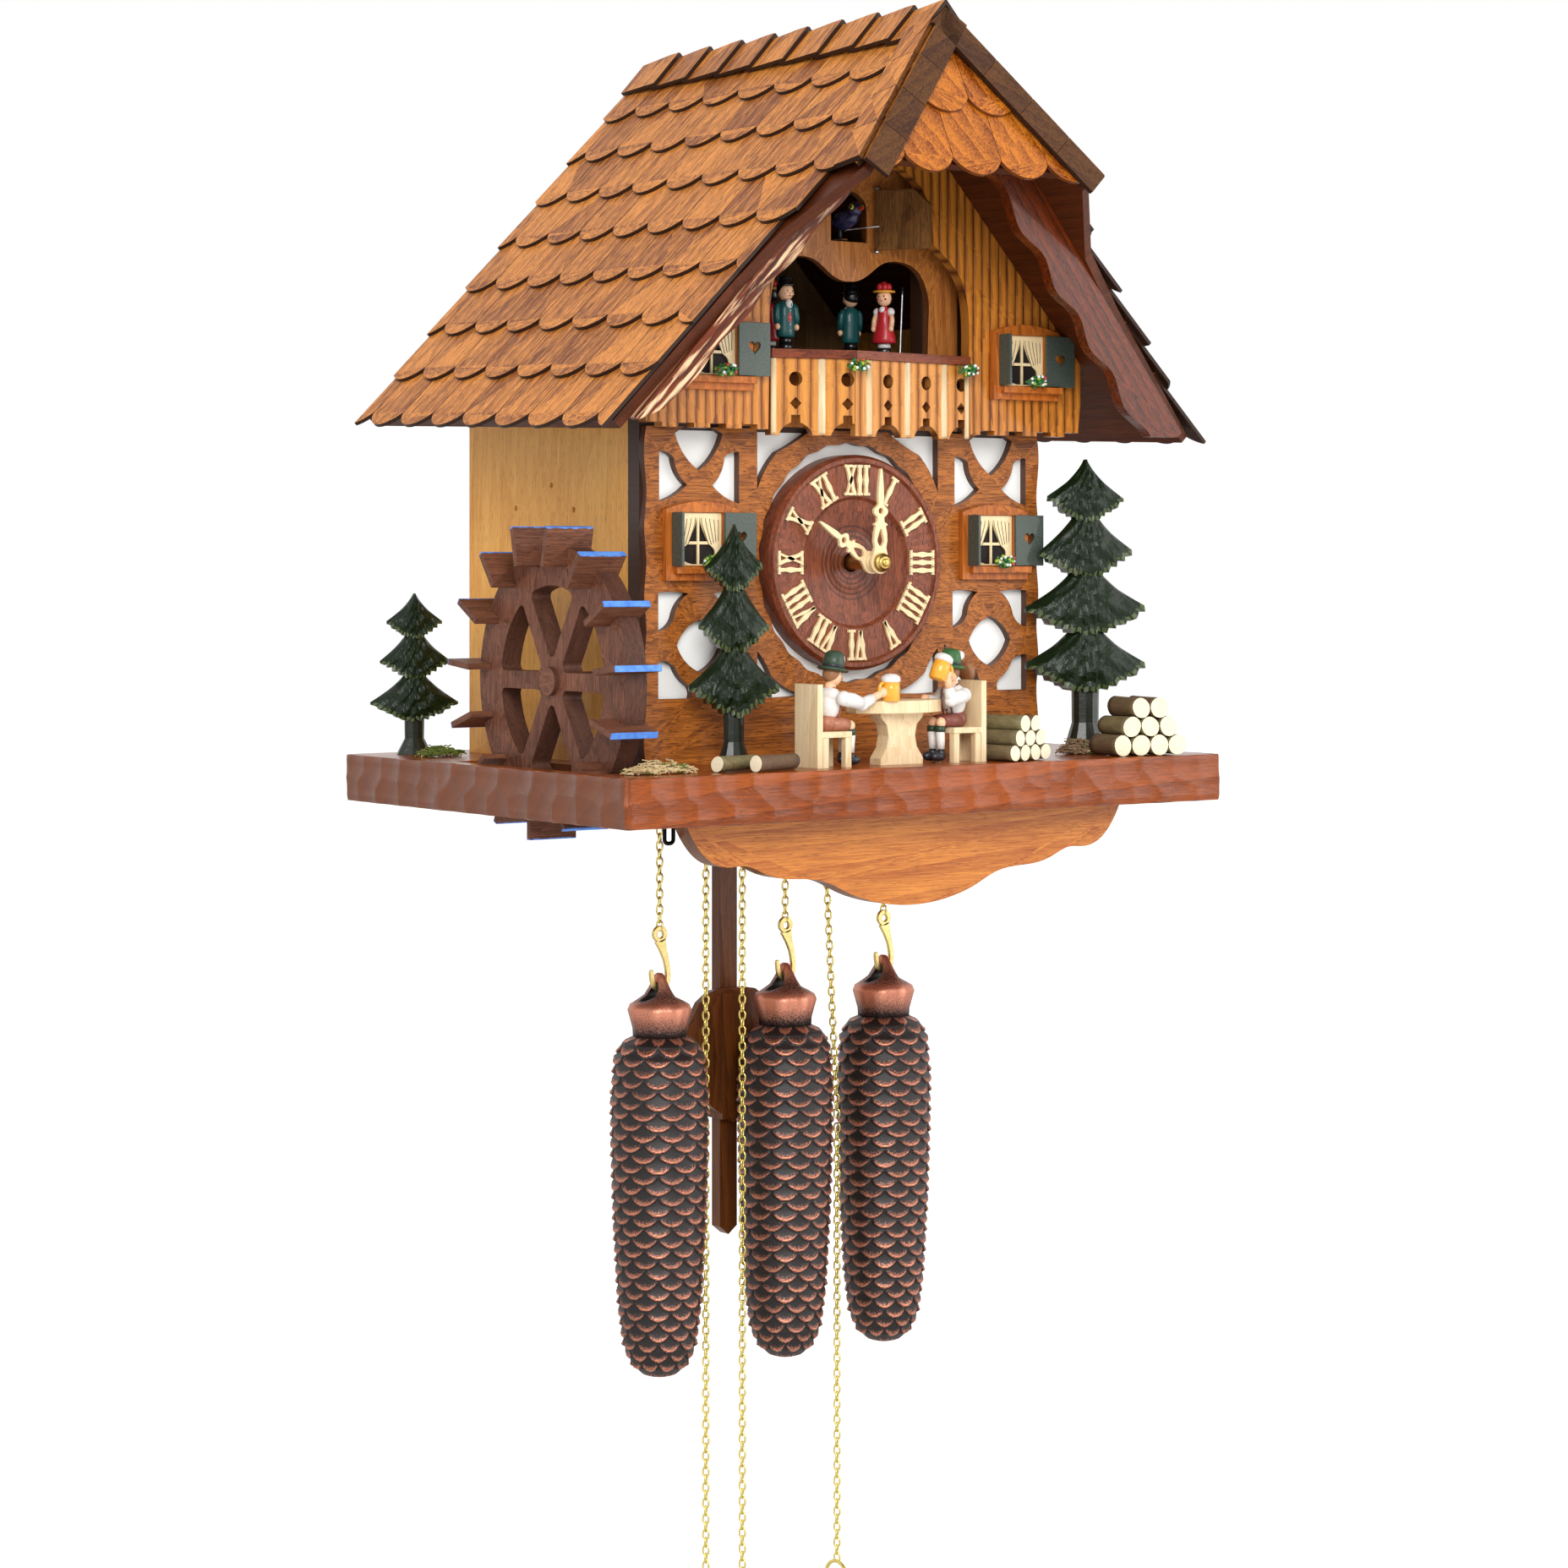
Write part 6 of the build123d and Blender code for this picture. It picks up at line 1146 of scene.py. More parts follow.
def gouge_depth(along, down):
    """How deep a bite is at a place on the rim: `along` it and `down` from the top, in mm."""
    deepest = 0.0
    for row in (0, 1):
        middle_down = FIRST_ROW_DOWN + row * ROW_GAP
        pitch = BITE_PITCH + 2.0 * row
        start = along / pitch + (ROW_SHIFT if row else 0.0)
        for column in (math.floor(start) - 1, math.floor(start), math.floor(start) + 1):
            jitter = noise.noise(Vector((column * 3.7, row * 5.1, 0.3)))
            centre = (column + 0.5 + 0.5 * jitter - (ROW_SHIFT if row else 0.0)) * pitch
            across = (along - centre) / (BITE_HALF_LENGTH + 3.0 * jitter)
            deep = (down - middle_down - 3.0 * jitter) / BITE_HALF_HEIGHT
            bite = 1 - across * across - deep * deep
            deepest = max(deepest, bite)
    return BITE_DEPTH * deepest


rim_path = [(-DECK_HALF, 0.0), (-DECK_HALF, DECK_FRONT + 3), (-DECK_HALF + 3, DECK_FRONT),
            (DECK_HALF - 3, DECK_FRONT), (DECK_HALF, DECK_FRONT + 3), (DECK_HALF, 0.0)]
profile = [("top", -CLIP), ("top", -6.0), ("top", -3.0), ("top", -1.5)]
profile += [("face", 0.6 + 20.8 * k / 18) for k in range(19)]
profile += [("under", -1.5), ("under", -4.0), ("under", -CLIP)]
bm = bmesh.new()
stations = []
travelled = 0.0
for (x0, y0), (x1, y1) in zip(rim_path, rim_path[1:]):
    length = math.hypot(x1 - x0, y1 - y0)
    count = max(2, int(length / 1.6))
    for k in range(count):
        t = k / count
        stations.append((x0 + (x1 - x0) * t, y0 + (y1 - y0) * t, travelled + length * t))
    travelled += length
stations.append((*rim_path[-1], travelled))
columns = []
for x, y, along in stations:
    inward_x = 1.0 if x <= -DECK_HALF + 1e-6 else (-1.0 if x >= DECK_HALF - 1e-6 else 0.0)
    inward_y = 1.0 if y <= DECK_FRONT + 1e-6 else 0.0
    if not (inward_x or inward_y):
        inward_x, inward_y = (0.7 if x < 0 else -0.7), 0.7
    column = []
    for kind, value in profile:
        depth = gouge_depth(along, value if kind == "face" else (0.2 if kind == "top" else 21.8))
        if kind == "face":
            push, z = depth + 0.02, -value
            if value < 2.2:
                push += (2.2 - value) * 0.25
            if value > 19.5:
                push += (value - 19.5) * 0.35
        else:
            fade = max(0.0, 1 + value / 7.0)
            push, z = -value, (-0.02 - 0.3 * fade * depth if kind == "top" else -DECK_THICK + 0.2 * fade * depth)
        if value == -CLIP and kind != "face":
            cx = min(max(x, -DECK_HALF + CLIP), DECK_HALF - CLIP)
            cy = max(y, DECK_FRONT + CLIP)
            column.append(bm.verts.new(deck(cx, cy, 0.0 if kind == "top" else -DECK_THICK)))
        else:
            column.append(bm.verts.new(deck(x + inward_x * push, y + inward_y * push, z)))
    columns.append(column)
skin(bm, columns, closed=False)
for end in (columns[0][::-1], columns[-1]):
    bm.faces.new(end)
bmesh.ops.remove_doubles(bm, verts=bm.verts, dist=1e-6)
finish_piece("deck_rim", bm, [deck_wood], "case")

bm = bmesh.new()
bm.from_mesh(nodes["base_board"].data)
for point, normal in ((deck(-DECK_HALF + CLIP, 0, 0), (-1, 0, 0)), (deck(DECK_HALF - CLIP, 0, 0), (1, 0, 0)),
                      (deck(0, DECK_FRONT + CLIP, 0), (0, -1, 0))):
    bmesh.ops.bisect_plane(bm, geom=bm.verts[:] + bm.edges[:] + bm.faces[:], plane_co=point, plane_no=normal,
                           clear_outer=True)
for face in bm.faces:
    face.smooth = False
finish_piece("deck_board", bm, [deck_wood], "case", ["base_board"], smooth=False)
print("rim stations", len(stations), "round", round(travelled), "mm")

# %% [markdown]
# The fir trees are carved from flat blocks and dipped in dark green lacquer. A carver cuts each tier as a
# drooping skirt with a notched hem and upturned tips, then scores it with a veiner. Each tier here is a
# front and a back sheet of points; the strokes push the points in and out, and the hem shows lighter.

# %% Fir trees
tree_green = paint("tree_green", swatch(26, 44, 18), swatch(4, 10, 4), rough=0.3, coat=0.1, shine=0.2, scale=420,
                   relief=0.0005)
hem_green = paint("hem_green", swatch(92, 104, 54), swatch(30, 46, 20), rough=0.4, coat=0.2, relief=0.0003)
trunk_green = paint("trunk_green", swatch(26, 36, 20), swatch(8, 12, 8), rough=0.34, coat=0.3, scale=300,
                    relief=0.0003)
TREES = ((-143.7, -20.0, 76.0, 19.5, 3), (-78.7, -190.0, 107.7, 19.5, 3), (129.0, -188.0, 140.0, 28.5, 4))
TIER_WIDTHS = (1.1, 1.1, 0.86, 0.7)
BODY, HEM, INSIDE = 0, 1, 2
ACROSS, DOWN = 56, 14
TREE_TURN = math.radians(22)
TURN_COS, TURN_SIN = math.cos(TREE_TURN), math.sin(TREE_TURN)


def fir_tier(bm, x, y, low, rise, radius, neck, bulge, chance):
    """One skirt: a front and a back sheet that meet at the sides, with concave shoulders and a notched hem."""
    teeth = [chance.uniform(0.2, 1.0) for _ in range(13)]
    drift = chance.uniform(0, 6.3)
    sheets = []
    for face_way in (-1, 1):
        sheet = []
        for i in range(ACROSS + 1):
            s = 2 * i / ACROSS - 1
            spot = abs(s) ** 0.9 * 6.0
            notch = teeth[int((s + 1) / 2 * 12)] * (1 - (spot - math.floor(spot)))
            lift = 0.36 * abs(s) ** 1.4
            line = []
            for j in range(DOWN + 1):
                t = j / DOWN
                half = neck + (radius - neck) * (0.5 * t + 0.5 * t ** 1.8)
                hem = max(0.0, t - 0.55) / 0.45
                u = s * half * (1 - 0.05 * notch * hem)
                v = low + rise * (1 - t * (1 - lift)) + rise * (0.10 * notch - 0.02) * hem
                stroke = (math.sin(9.0 * abs(s) * (1.3 - 0.5 * t) + 5.5 * t + drift)
                          * math.sin(21 * t * (1 - 0.5 * abs(s)) + 3 * s))
                swell = bulge * (1 - abs(s) ** 2.2) ** 0.6 * (0.45 + 0.55 * math.sin(math.pi * min(1.0, t * 0.8)))
                swell += 0.9 * stroke * (1 - abs(s)) ** 0.3 * min(1.0, 3 * t) if abs(s) < 1 else 0.0
                out = face_way * max(0.0, swell)
                line.append(bm.verts.new(deck(x + TURN_COS * u + TURN_SIN * out, y - TURN_SIN * u + TURN_COS * out,
                                              min(v, low + rise))))
            sheet.append(line)
        sheets.append(sheet)
        for i in range(ACROSS):
            for j in range(DOWN):
                quad = bm.faces.new((sheet[i][j], sheet[i + 1][j], sheet[i + 1][j + 1], sheet[i][j + 1]))
                quad.material_index = HEM if j == DOWN - 1 and i % 3 else BODY
    for i in range(ACROSS):
        under = bm.faces.new((sheets[0][i][-1], sheets[0][i + 1][-1], sheets[1][i + 1][-1], sheets[1][i][-1]))
        under.material_index = INSIDE


def fir(bm, x, y, height, half_width, tiers, seed):
    chance = random.Random(seed)
    trunk_top = height * 0.2
    turned(bm, [(half_width * 0.46, 0.1), (half_width * 0.38, 3.0), (half_width * 0.25, trunk_top * 0.5),
                (half_width * 0.26, trunk_top + 9)], deck(x, y, 0), 12, INSIDE, (1, 0.75))
    step = (height - trunk_top) / (tiers + 0.12)
    for tier in range(tiers):
        low = trunk_top + tier * step
        radius = half_width * TIER_WIDTHS[tier + (len(TIER_WIDTHS) - tiers if tier else 0)]
        last = tier == tiers - 1
        rise = (height - low) if last else step * 1.28
        neck, bulge = 0.5 if last else radius * 0.14, half_width * 0.34 * (1 - 0.14 * tier)
        fir_tier(bm, x, y, low, rise, radius, neck, bulge, chance)


bm = bmesh.new()
for seed, tree in enumerate(TREES):
    fir(bm, *tree, seed + 4)
finish_piece("carved_firs", bm, [tree_green, hem_green, trunk_green], "case", ["fir_trees"],
             smooth=False)
print("fir trees", len(TREES))

# %% [markdown]
# Firewood is sawn from twigs: round but never true, cream at the saw cut with a darker heart, bark of
# olive and brown.

# %% Logs
bark, bark_tree, bark_shader = start_material("twig_bark")
bark_run = object_noise(bark_tree, (500, 120, 500), 4.0, 0.6)
each_log = bark_tree.nodes.new("ShaderNodeNewGeometry").outputs["Random Per Island"]
bark_tint = blend_colours(bark_tree, each_log, swatch(150, 140, 92), swatch(120, 88, 62))
bark_tree.links.new(blend_colours(bark_tree, bark_run, bark_tint, swatch(70, 54, 40)),
                    bark_shader.inputs["Base Color"])
bark_shader.inputs["Roughness"].default_value = 0.75
bump_into(bark_tree, bark_shader, bark_run, 0.0005)
saw_cut, cut_tree, cut_shader = start_material("saw_cut")
cut_speck = object_noise(cut_tree, 900, 3.0)
cut_tree.links.new(blend_colours(cut_tree, cut_speck, swatch(252, 246, 224), swatch(228, 206, 162)),
                   cut_shader.inputs["Base Color"])
cut_shader.inputs["Roughness"].default_value = 0.7
bump_into(cut_tree, cut_shader, cut_speck, 0.0001)


LOG_SIDES = 18


def log(bm, start, end, radius, chance):
    """A twig between two deck points, a little oval and crooked, with sawn ends."""
    start, end = Vector(start), Vector(end)
    along = (end - start).normalized()
    side = along.cross(Vector((0, 0, 1))).normalized()
    up = side.cross(along)
    phase, wobble = chance.uniform(0, 6.3), chance.uniform(0.02, 0.07)
    rings = []
    for k in range(7):
        centre = start + (end - start) * k / 6
        ring = []
        for s in range(LOG_SIDES):
            angle = 2 * math.pi * s / LOG_SIDES
            r = radius * (1 - wobble + wobble * math.sin(2 * angle + phase + k * 0.2) + 0.01 * math.sin(5 * angle + k))
            ring.append(bm.verts.new(deck(*(centre + side * r * math.cos(angle) + up * r * math.sin(angle)))))
        rings.append(ring)
    for face in skin(bm, rings):
        face.smooth = True
    for ring, tip in ((rings[0], start), (rings[-1], end)):
        middle_at = deck(*tip)
        small = [bm.verts.new(deck(*(tip + (v.co - middle_at) * 1000 * 0.86))) for v in ring]
        skin(bm, (ring, small), 1)
        bm.faces.new(small).material_index = 1


chance = random.Random(11)
bm = bmesh.new()
for x, y, turn, radius in ((54.8, -236.0, 13.0, 3.8), (127.0, -237.0, -9.5, 5.0)):
    spin = Matrix.Rotation(math.radians(turn), 3, "Z")
    for row, count in enumerate((4, 3, 2)):
        up = radius + row * radius * math.sqrt(3) * 1.01
        for index in range(count):
            aside = (index - (count - 1) / 2) * 2.01 * radius
            ends = [spin @ Vector((aside, push, up)) + Vector((x, y, 0.05)) for push in (0.0, 23.0)]
            log(bm, ends[0], ends[1], radius - 0.03, chance)
for start, end in (((-115.0, -229.0), (-90.0, -221.5)), ((-99.5, -236.0), (-73.7, -228.5))):
    log(bm, (*start, 3.75), (*end, 3.75), 3.65, chance)
finish_piece("firewood", bm, [bark, saw_cut], "case", ["log_piles"], smooth=False)
print("firewood stacked")

# %% [markdown]
# The straw and moss are strands and crumbs, laid with seeded chance so that every run of this lesson gives
# the same heaps. Each strand is a thin bent wire that lies inside its heap.

# %% Straw and moss
straw = paint("dry_straw", swatch(226, 206, 160), swatch(176, 146, 100), rough=0.8, coat=0.0)
moss = paint("moss_green", swatch(120, 136, 52), swatch(56, 70, 30), rough=0.9, coat=0.0, scale=900, relief=0.0003)
earth = paint("moss_brown", swatch(168, 140, 108), swatch(96, 74, 56), rough=0.9, coat=0.0, scale=900)
bm = bmesh.new()


def strand(bm, x, y, rx, ry, h, length, thick, paint_slot):
    angle, where = chance.uniform(0, 2 * math.pi), math.sqrt(chance.random()) * 0.86
    px, py = x + rx * where * math.cos(angle), y + ry * where * math.sin(angle)
    level = 0.4 + h * (1 - where * where) * chance.uniform(0.1, 0.92)
    lie = chance.uniform(0, math.pi)
    points = []
    for k in range(5):
        t = (k / 4 - 0.5) * length
        sx = min(max(px + math.cos(lie) * t * (rx / max(rx, ry)), x - rx), x + rx)
        sy = min(max(py + math.sin(lie) * t * 0.6, y - ry), y + ry)
        stray = chance.uniform(-0.9, 0.9) * (1 if k in (0, 4) else 0.5)
        sz = max(0.35, level + stray - 0.06 * t * t / max(1, length))
        points.append(deck(sx, sy, sz))
    bent_wire(bm, points, thick, 4, paint_slot)


for x, y, rx, ry, h, main in ((-140.0, -222.5, 19.0, 5.0, 6.5, 0), (-145.0, -46.0, 12.0, 7.0, 5.5, 1),
                              (112.0, -204.0, 13.0, 6.0, 8.5, 2), (141.0, -203.5, 9.0, 5.0, 5.5, 2)):
    for _ in range(190):
        strand(bm, x, y, rx, ry, h, chance.uniform(5, 12), chance.uniform(0.22, 0.45),
               main if chance.random() < 0.75 else chance.choice((0, 1, 2)))
    for _ in range(60):
        angle, where = chance.uniform(0, 6.3), math.sqrt(chance.random()) * 0.8
        size = chance.uniform(0.7, 1.7)
        ball(bm, deck(x + rx * where * math.cos(angle), y + ry * where * math.sin(angle),
                      size + h * (1 - where) * chance.uniform(0.0, 0.6)), (size, size * 0.9, size * 0.7), main, 8)
finish_piece("straw_and_moss_heaps", bm, [straw, moss, earth], "case", ["straw_and_moss"], smooth=False)
print("garden done")

# %% [markdown]
# The verge boards hang from the roof's front edges. The left one is drawn shallower than its solid, so that
# the window behind it can be seen: its points are moved up towards the roof by a share of their distance.
# This is a workaround, as the real board probably sits further back under the roof.

# %% Left verge board
SLOPE_NORMAL = Vector((-0.7396, 0.0, 0.6731))
DRAWN_UP_BY = 0.55
bm = bmesh.new()
bm.from_mesh(nodes["verge_boards"].data)
left_points = [v for v in bm.verts if v.co.x < 0]
top = max(v.co.dot(SLOPE_NORMAL) for v in left_points)
for v in left_points:
    below = top - v.co.dot(SLOPE_NORMAL)
    v.co += SLOPE_NORMAL * below * DRAWN_UP_BY
for face in bm.faces:
    face.smooth = False
finish_piece("verge_trim", bm, [verge_wood], "case", ["verge_boards"], smooth=False)
print("verge points moved", len(left_points))

# %% [markdown]
# ## Dial
# The numerals and hands are fret-sawn from cream plate. Every numeral stands with its feet to the
# middle. A stroke has a small knob at half height, and the serif bars join the strokes into one piece, so
# the numerals are strips of changing width.

# %% Numerals
NUMERALS = ("XII", "I", "II", "III", "IIII", "V", "VI", "VII", "VIII", "IX", "X", "XI")
NUMERAL_RADIUS, NUMERAL_HALF, NUMERAL_PLATE = 38.0, 7.0, 1.2
DIAL_FACE_Y = -177.0
LETTER_WIDTH = {"I": 3.7, "V": 6.4, "X": 6.6}
LETTER_STROKES = {"I": ((0, 0, 1.0),), "V": ((0, -1, 1.0), (0, 1, 0.6)), "X": ((1, -1, 1.0), (-1, 1, 0.6))}
STROKE_WIDTHS, SERIF_WIDTHS = (2.0, 1.6, 2.7, 1.6, 2.0), (1.5, 1.0, 1.4, 1.0, 1.5)


def numeral(bm, text, place):
    """Letters side by side. A stroke runs from `foot` to `head`, in shares of the letter's half width."""
    at = -sum(LETTER_WIDTH[letter] for letter in text) / 2
    reach = NUMERAL_HALF - 0.5
    for letter in text:
        width = LETTER_WIDTH[letter]
        middle_u, half = at + width / 2, width / 2 - 1.1
        for foot, head, share in LETTER_STROKES[letter]:
            line = [(middle_u + half * (foot + (head - foot) * k / 4), reach * (k / 2 - 1)) for k in range(5)]
            fretted(bm, [ribbon(line, [share * w for w in STROKE_WIDTHS])], NUMERAL_PLATE, place)
        for end in (-1, 1):
            if letter == "V" and end < 0:
                continue
            bar = [(middle_u + (k / 4 - 0.5) * (width + 0.4), end * (NUMERAL_HALF - 0.55)) for k in range(5)]
            fretted(bm, [ribbon(bar, SERIF_WIDTHS)], NUMERAL_PLATE - 0.04, place)
        at += width


bm = bmesh.new()
for index, text in enumerate(NUMERALS):
    place = facing_front(0.0, DIAL_FACE_Y, DIAL_HEIGHT) @ Matrix.Rotation(math.radians(-30 * index), 4, "Z")
    numeral(bm, text, place @ Matrix.Translation((0, NUMERAL_RADIUS / 1000, 0)))
finish_piece("fretted_numerals", bm, [cream], "case", ["dial_numerals"], smooth=False)
print("numerals", len(NUMERALS))

# %% [markdown]
# Each hand is one outline with a drop and a round hole, and both hands share it at two lengths. Each has a
# cream boss and a brass arbor that runs back through the dial, and a small brass nut holds the pair.

# %% Hands
HAND_LENGTH, HUB_RADIUS, HAND_PLATE = 43.0, 5.2, 2.0
HAND_SHAPE = ((7.0, 3.2), (10.0, 3.9), (13.5, 3.6), (16.6, 2.9), (17.2, 3.9), (17.8, 3.7), (18.6, 2.1),
              (20.6, 1.9), (21.4, 2.9), (22.4, 3.9), (23.6, 4.1), (24.8, 3.6), (25.8, 2.2), (26.8, 1.4), (30.0, 1.7),
              (35.0, 1.4), (40.0, 0.9), (43.0, 0.5))
ROUND_HOLE_AT, ROUND_HOLE_RADIUS, EASED_EDGE = 23.6, 1.35, 0.3
DROP_HOLE = ((0, 7.4), (1.8, 9.6), (1.3, 12.4), (0, 15.4), (-1.3, 12.4), (-1.8, 9.6))


def hand(bm, length, place):
    """A pierced hand from its middle to its tip, `length` mm long; HAND_SHAPE is (distance, half width)."""
    grow = length / HAND_LENGTH
    side = [(half * (0.9 if grow < 1 else 1.0), along * grow) for along, half in HAND_SHAPE]
    hub = arc(0, 0, HUB_RADIUS, -215, 35, 24)
    drop = smooth_line([(u, v * grow) for u, v in DROP_HOLE], 5, closed=True)
    round_hole = arc(0, ROUND_HOLE_AT * grow, ROUND_HOLE_RADIUS, 0, 345, 23)
    outline = hub + side + [(-u, v) for u, v in side[::-1]]
    fretted(bm, [outline, drop, round_hole], HAND_PLATE, place, 0, EASED_EDGE)


for name, angle, length, front, boss, arbor, arbor_end in (
        ("hour", 302.0, 35.0, -189.0, [(4.4, 0.0), (4.4, 1.4), (3.4, 1.9)], 3.2, -52.0),
        ("minute", 0.8, 43.0, -195.0, [(3.8, 0.0), (3.8, 0.6)], 1.95, -112.0)):
    bm = bmesh.new()
    place = facing_front(0.0, front + 1.0, DIAL_HEIGHT) @ Matrix.Rotation(math.radians(-angle), 4, "Z")
    hand(bm, length, place)
    turned(bm, boss, facing_front(0.0, front, DIAL_HEIGHT), 30, 0)
    turned(bm, [(arbor, arbor_end), (arbor, 0.0)], facing_front(0.0, front + 2.0, DIAL_HEIGHT), 20, 1)
    hand_name = name + "_hand"
    finish_piece("fretted_" + hand_name, bm, [cream, works_brass], hand_name, [hand_name], smooth=False)
bm = bmesh.new()
nut_place = facing_front(0.0, -195.05, DIAL_HEIGHT)
turned(bm, [(3.9, 0.0), (4.3, 0.3), (4.35, 1.5), (4.0, 2.2), (3.2, 2.5), (3.1, 3.3), (2.6, 3.6), (2.0, 3.7)],
       nut_place, 32)
turned(bm, [(1.9, 3.4), (1.9, 4.3), (1.3, 4.6), (0.3, 4.7)], nut_place, 20)
finish_piece("turned_hand_nut", bm, [works_brass], "minute_hand", ["hand_nut"])
print("hands 35 and 43 mm")

# %% [markdown]
# ## Figures
# The dancers are turned lime-wood dolls about 31 mm tall: a coat or a skirt turned in one with the legs, a
# round head, two pegged arms and a hat, with plain dotted faces. Each stands on a small black disc at its
# own spot on the turning platform.

# %% Dancers
PAINT = {name: index for index, name in enumerate(paints)}
all_paints = list(paints.values())


def doll(bm, kind, x, y, floor_z, spin):
    base = Matrix.Translation(deck(x, y, floor_z)) @ Matrix.Rotation(math.radians(spin), 4, "Z")

    def at(dx, dy, dz):
        return base @ Vector((dx / 1000, dy / 1000, dz / 1000))

    face_turn = Matrix.Rotation(math.radians(spin), 3, "Z")
    if kind == "man":
        turned(bm, [(0.1, 0.05), (3.0, 0.1), (3.2, 1.6), (2.7, 3.6)], base, 20, PAINT["black"])
        turned(bm, [(4.2, 3.2), (4.5, 3.6), (4.5, 6.0), (4.3, 12), (4.3, 16), (3.9, 18.4), (2.4, 19.8), (1.2, 20.2)],
               base, 28, PAINT["teal"], (1, 0.8))
        vest = base @ Matrix.Translation((0, -0.0012, 0))
        turned(bm, [(1.2, 3.6), (1.9, 4.0), (2.4, 12.0), (2.0, 17.4), (1.0, 18.6)], vest, 16, PAINT["red"], (1, 1.02))
        for button in range(4):
            ball(bm, at(0, -3.65, 6.0 + 3.1 * button), (0.36, 0.3, 0.36), PAINT["white"], 8)
        ball(bm, at(0, -2.6, 18.4), (1.9, 1.6, 2.2), PAINT["white"], 14)
        ball(bm, at(0.3, -4.1, 18.0), (0.3, 0.2, 0.9), PAINT["black"], 8)
        for side in (-1, 1):
            bent_wire(bm, [at(side * 4.3, 0, 18.3), at(side * 5.3, -0.2, 16.4), at(side * 5.6, -0.5, 13),
                           at(side * 5.4, -0.9, 9.4)], 1.5, 12, PAINT["teal"], radii=[1.2, 1.55, 1.6, 1.5])
            ball(bm, at(side * 5.4, -1.1, 7.9), (1.25, 1.3, 1.6), PAINT["skin"], 12)
        ball(bm, at(0, 0, 24.0), (3.7, 3.7, 4.0), PAINT["skin"], 24)
        ball(bm, at(0, 0.8, 24.9), (3.9, 3.6, 3.9), PAINT["black"], 24)
        turned(bm, [(0.2, 26.6), (4.5, 26.8), (4.6, 27.3), (3.4, 27.7), (3.3, 30.4), (2.9, 31.3), (0.2, 31.5)], base,
               26, PAINT["black"])
    else:
        turned(bm, [(0.1, 0.05), (3.2, 0.2), (3.0, 2.4)], base, 20, PAINT["white"])
        turned(bm, [(5.2, 2.2), (5.8, 2.8), (5.4, 5.0), (4.2, 10.0), (3.0, 14.0), (3.4, 16.5), (3.1, 18.4),
                    (1.2, 19.8)], base, 28, PAINT["red"], (1, 0.9))
        for side in (-1, 1):
            ball(bm, at(side * 3.5, -0.3, 17.0), (1.9, 1.8, 2.0), PAINT["white"], 14)
            bent_wire(bm, [at(side * 3.9, -0.6, 16.0), at(side * 4.5, -1.2, 13.0), at(side * 4.4, -2.0, 9.8)], 1.15, 12,
                      PAINT["skin"], radii=[1.05, 1.2, 1.2])
            ball(bm, at(side * 4.4, -2.2, 9.0), (1.3, 1.2, 1.4), PAINT["skin"], 12)
        ball(bm, at(0, -1.9, 18.0), (1.8, 1.5, 1.6), PAINT["white"], 14)
        ball(bm, at(0, 0, 23.6), (3.6, 3.6, 3.9), PAINT["skin"], 24)
        ball(bm, at(0, 1.0, 23.9), (3.9, 3.6, 4.1), PAINT["black"], 24)
        turned(bm, [(0.2, 26.0), (5.2, 26.1), (5.3, 26.6), (5.1, 27.0), (0.2, 27.2)], base, 28, PAINT["orange"])
        for k in range(6):
            angle = k * math.pi / 3
            ball(bm, at(2.4 * math.cos(angle), 2.4 * math.sin(angle), 28.6), (1.5, 1.5, 1.9), PAINT["red"], 12)
        ball(bm, at(0, 0, 29.2), (2.0, 2.0, 2.2), PAINT["red"], 14)
    cheek = PAINT["skin"] if kind == "man" else PAINT["red"]
    for side in (-1, 1):
        ball(bm, at(side * 1.3, -3.45, 24.3), (0.36, 0.3, 0.42), PAINT["black"], 8, face_turn)
        ball(bm, at(side * 1.9, -3.15, 22.9), (0.6, 0.3, 0.5), cheek, 8, face_turn)
    ball(bm, at(0, -3.75, 23.3), (0.45, 0.45, 0.45), PAINT["skin"], 8)
    ball(bm, at(0, -3.45, 22.1), (0.7, 0.25, 0.22), PAINT["red"], 8, face_turn)


STAND_HEIGHT, DOLL_FOOT = 187.55, 190.7
DANCERS = (("man", -32, -165, 0), ("woman", -30, -149.5, 180), ("man", 19, -147, 180), ("woman", 25, -165, -60))
bm = bmesh.new()
for kind, x, y, spin in DANCERS:
    turned(bm, [(3.0, 0.0), (3.5, 0.3), (3.5, 2.9), (3.1, 3.2)], deck(x, y, STAND_HEIGHT), 24, PAINT["black"])
    doll(bm, kind, x, y, DOLL_FOOT, spin)
finish_piece("dancing_dolls", bm, all_paints, "dancer_stage", ["dancers"])
print("dancers", len(DANCERS))

# %% [markdown]
# The two drinkers are cast and hand painted, softer in shape than the dancers. Their bodies are soft blobs
# that run into each other; the arm with the mug is a piece of its own on a shoulder pin, so that it can lift.

# %% Drinkers
TABLE_X, TABLE_Y = -11.9, -222.0
CHAIR_X = {-1: TABLE_X - 39.4, 1: TABLE_X + 34.2}
SEAT_Z, SHOULDER_Z, ARM_FORWARD = 15.3, 30.5, 9.6


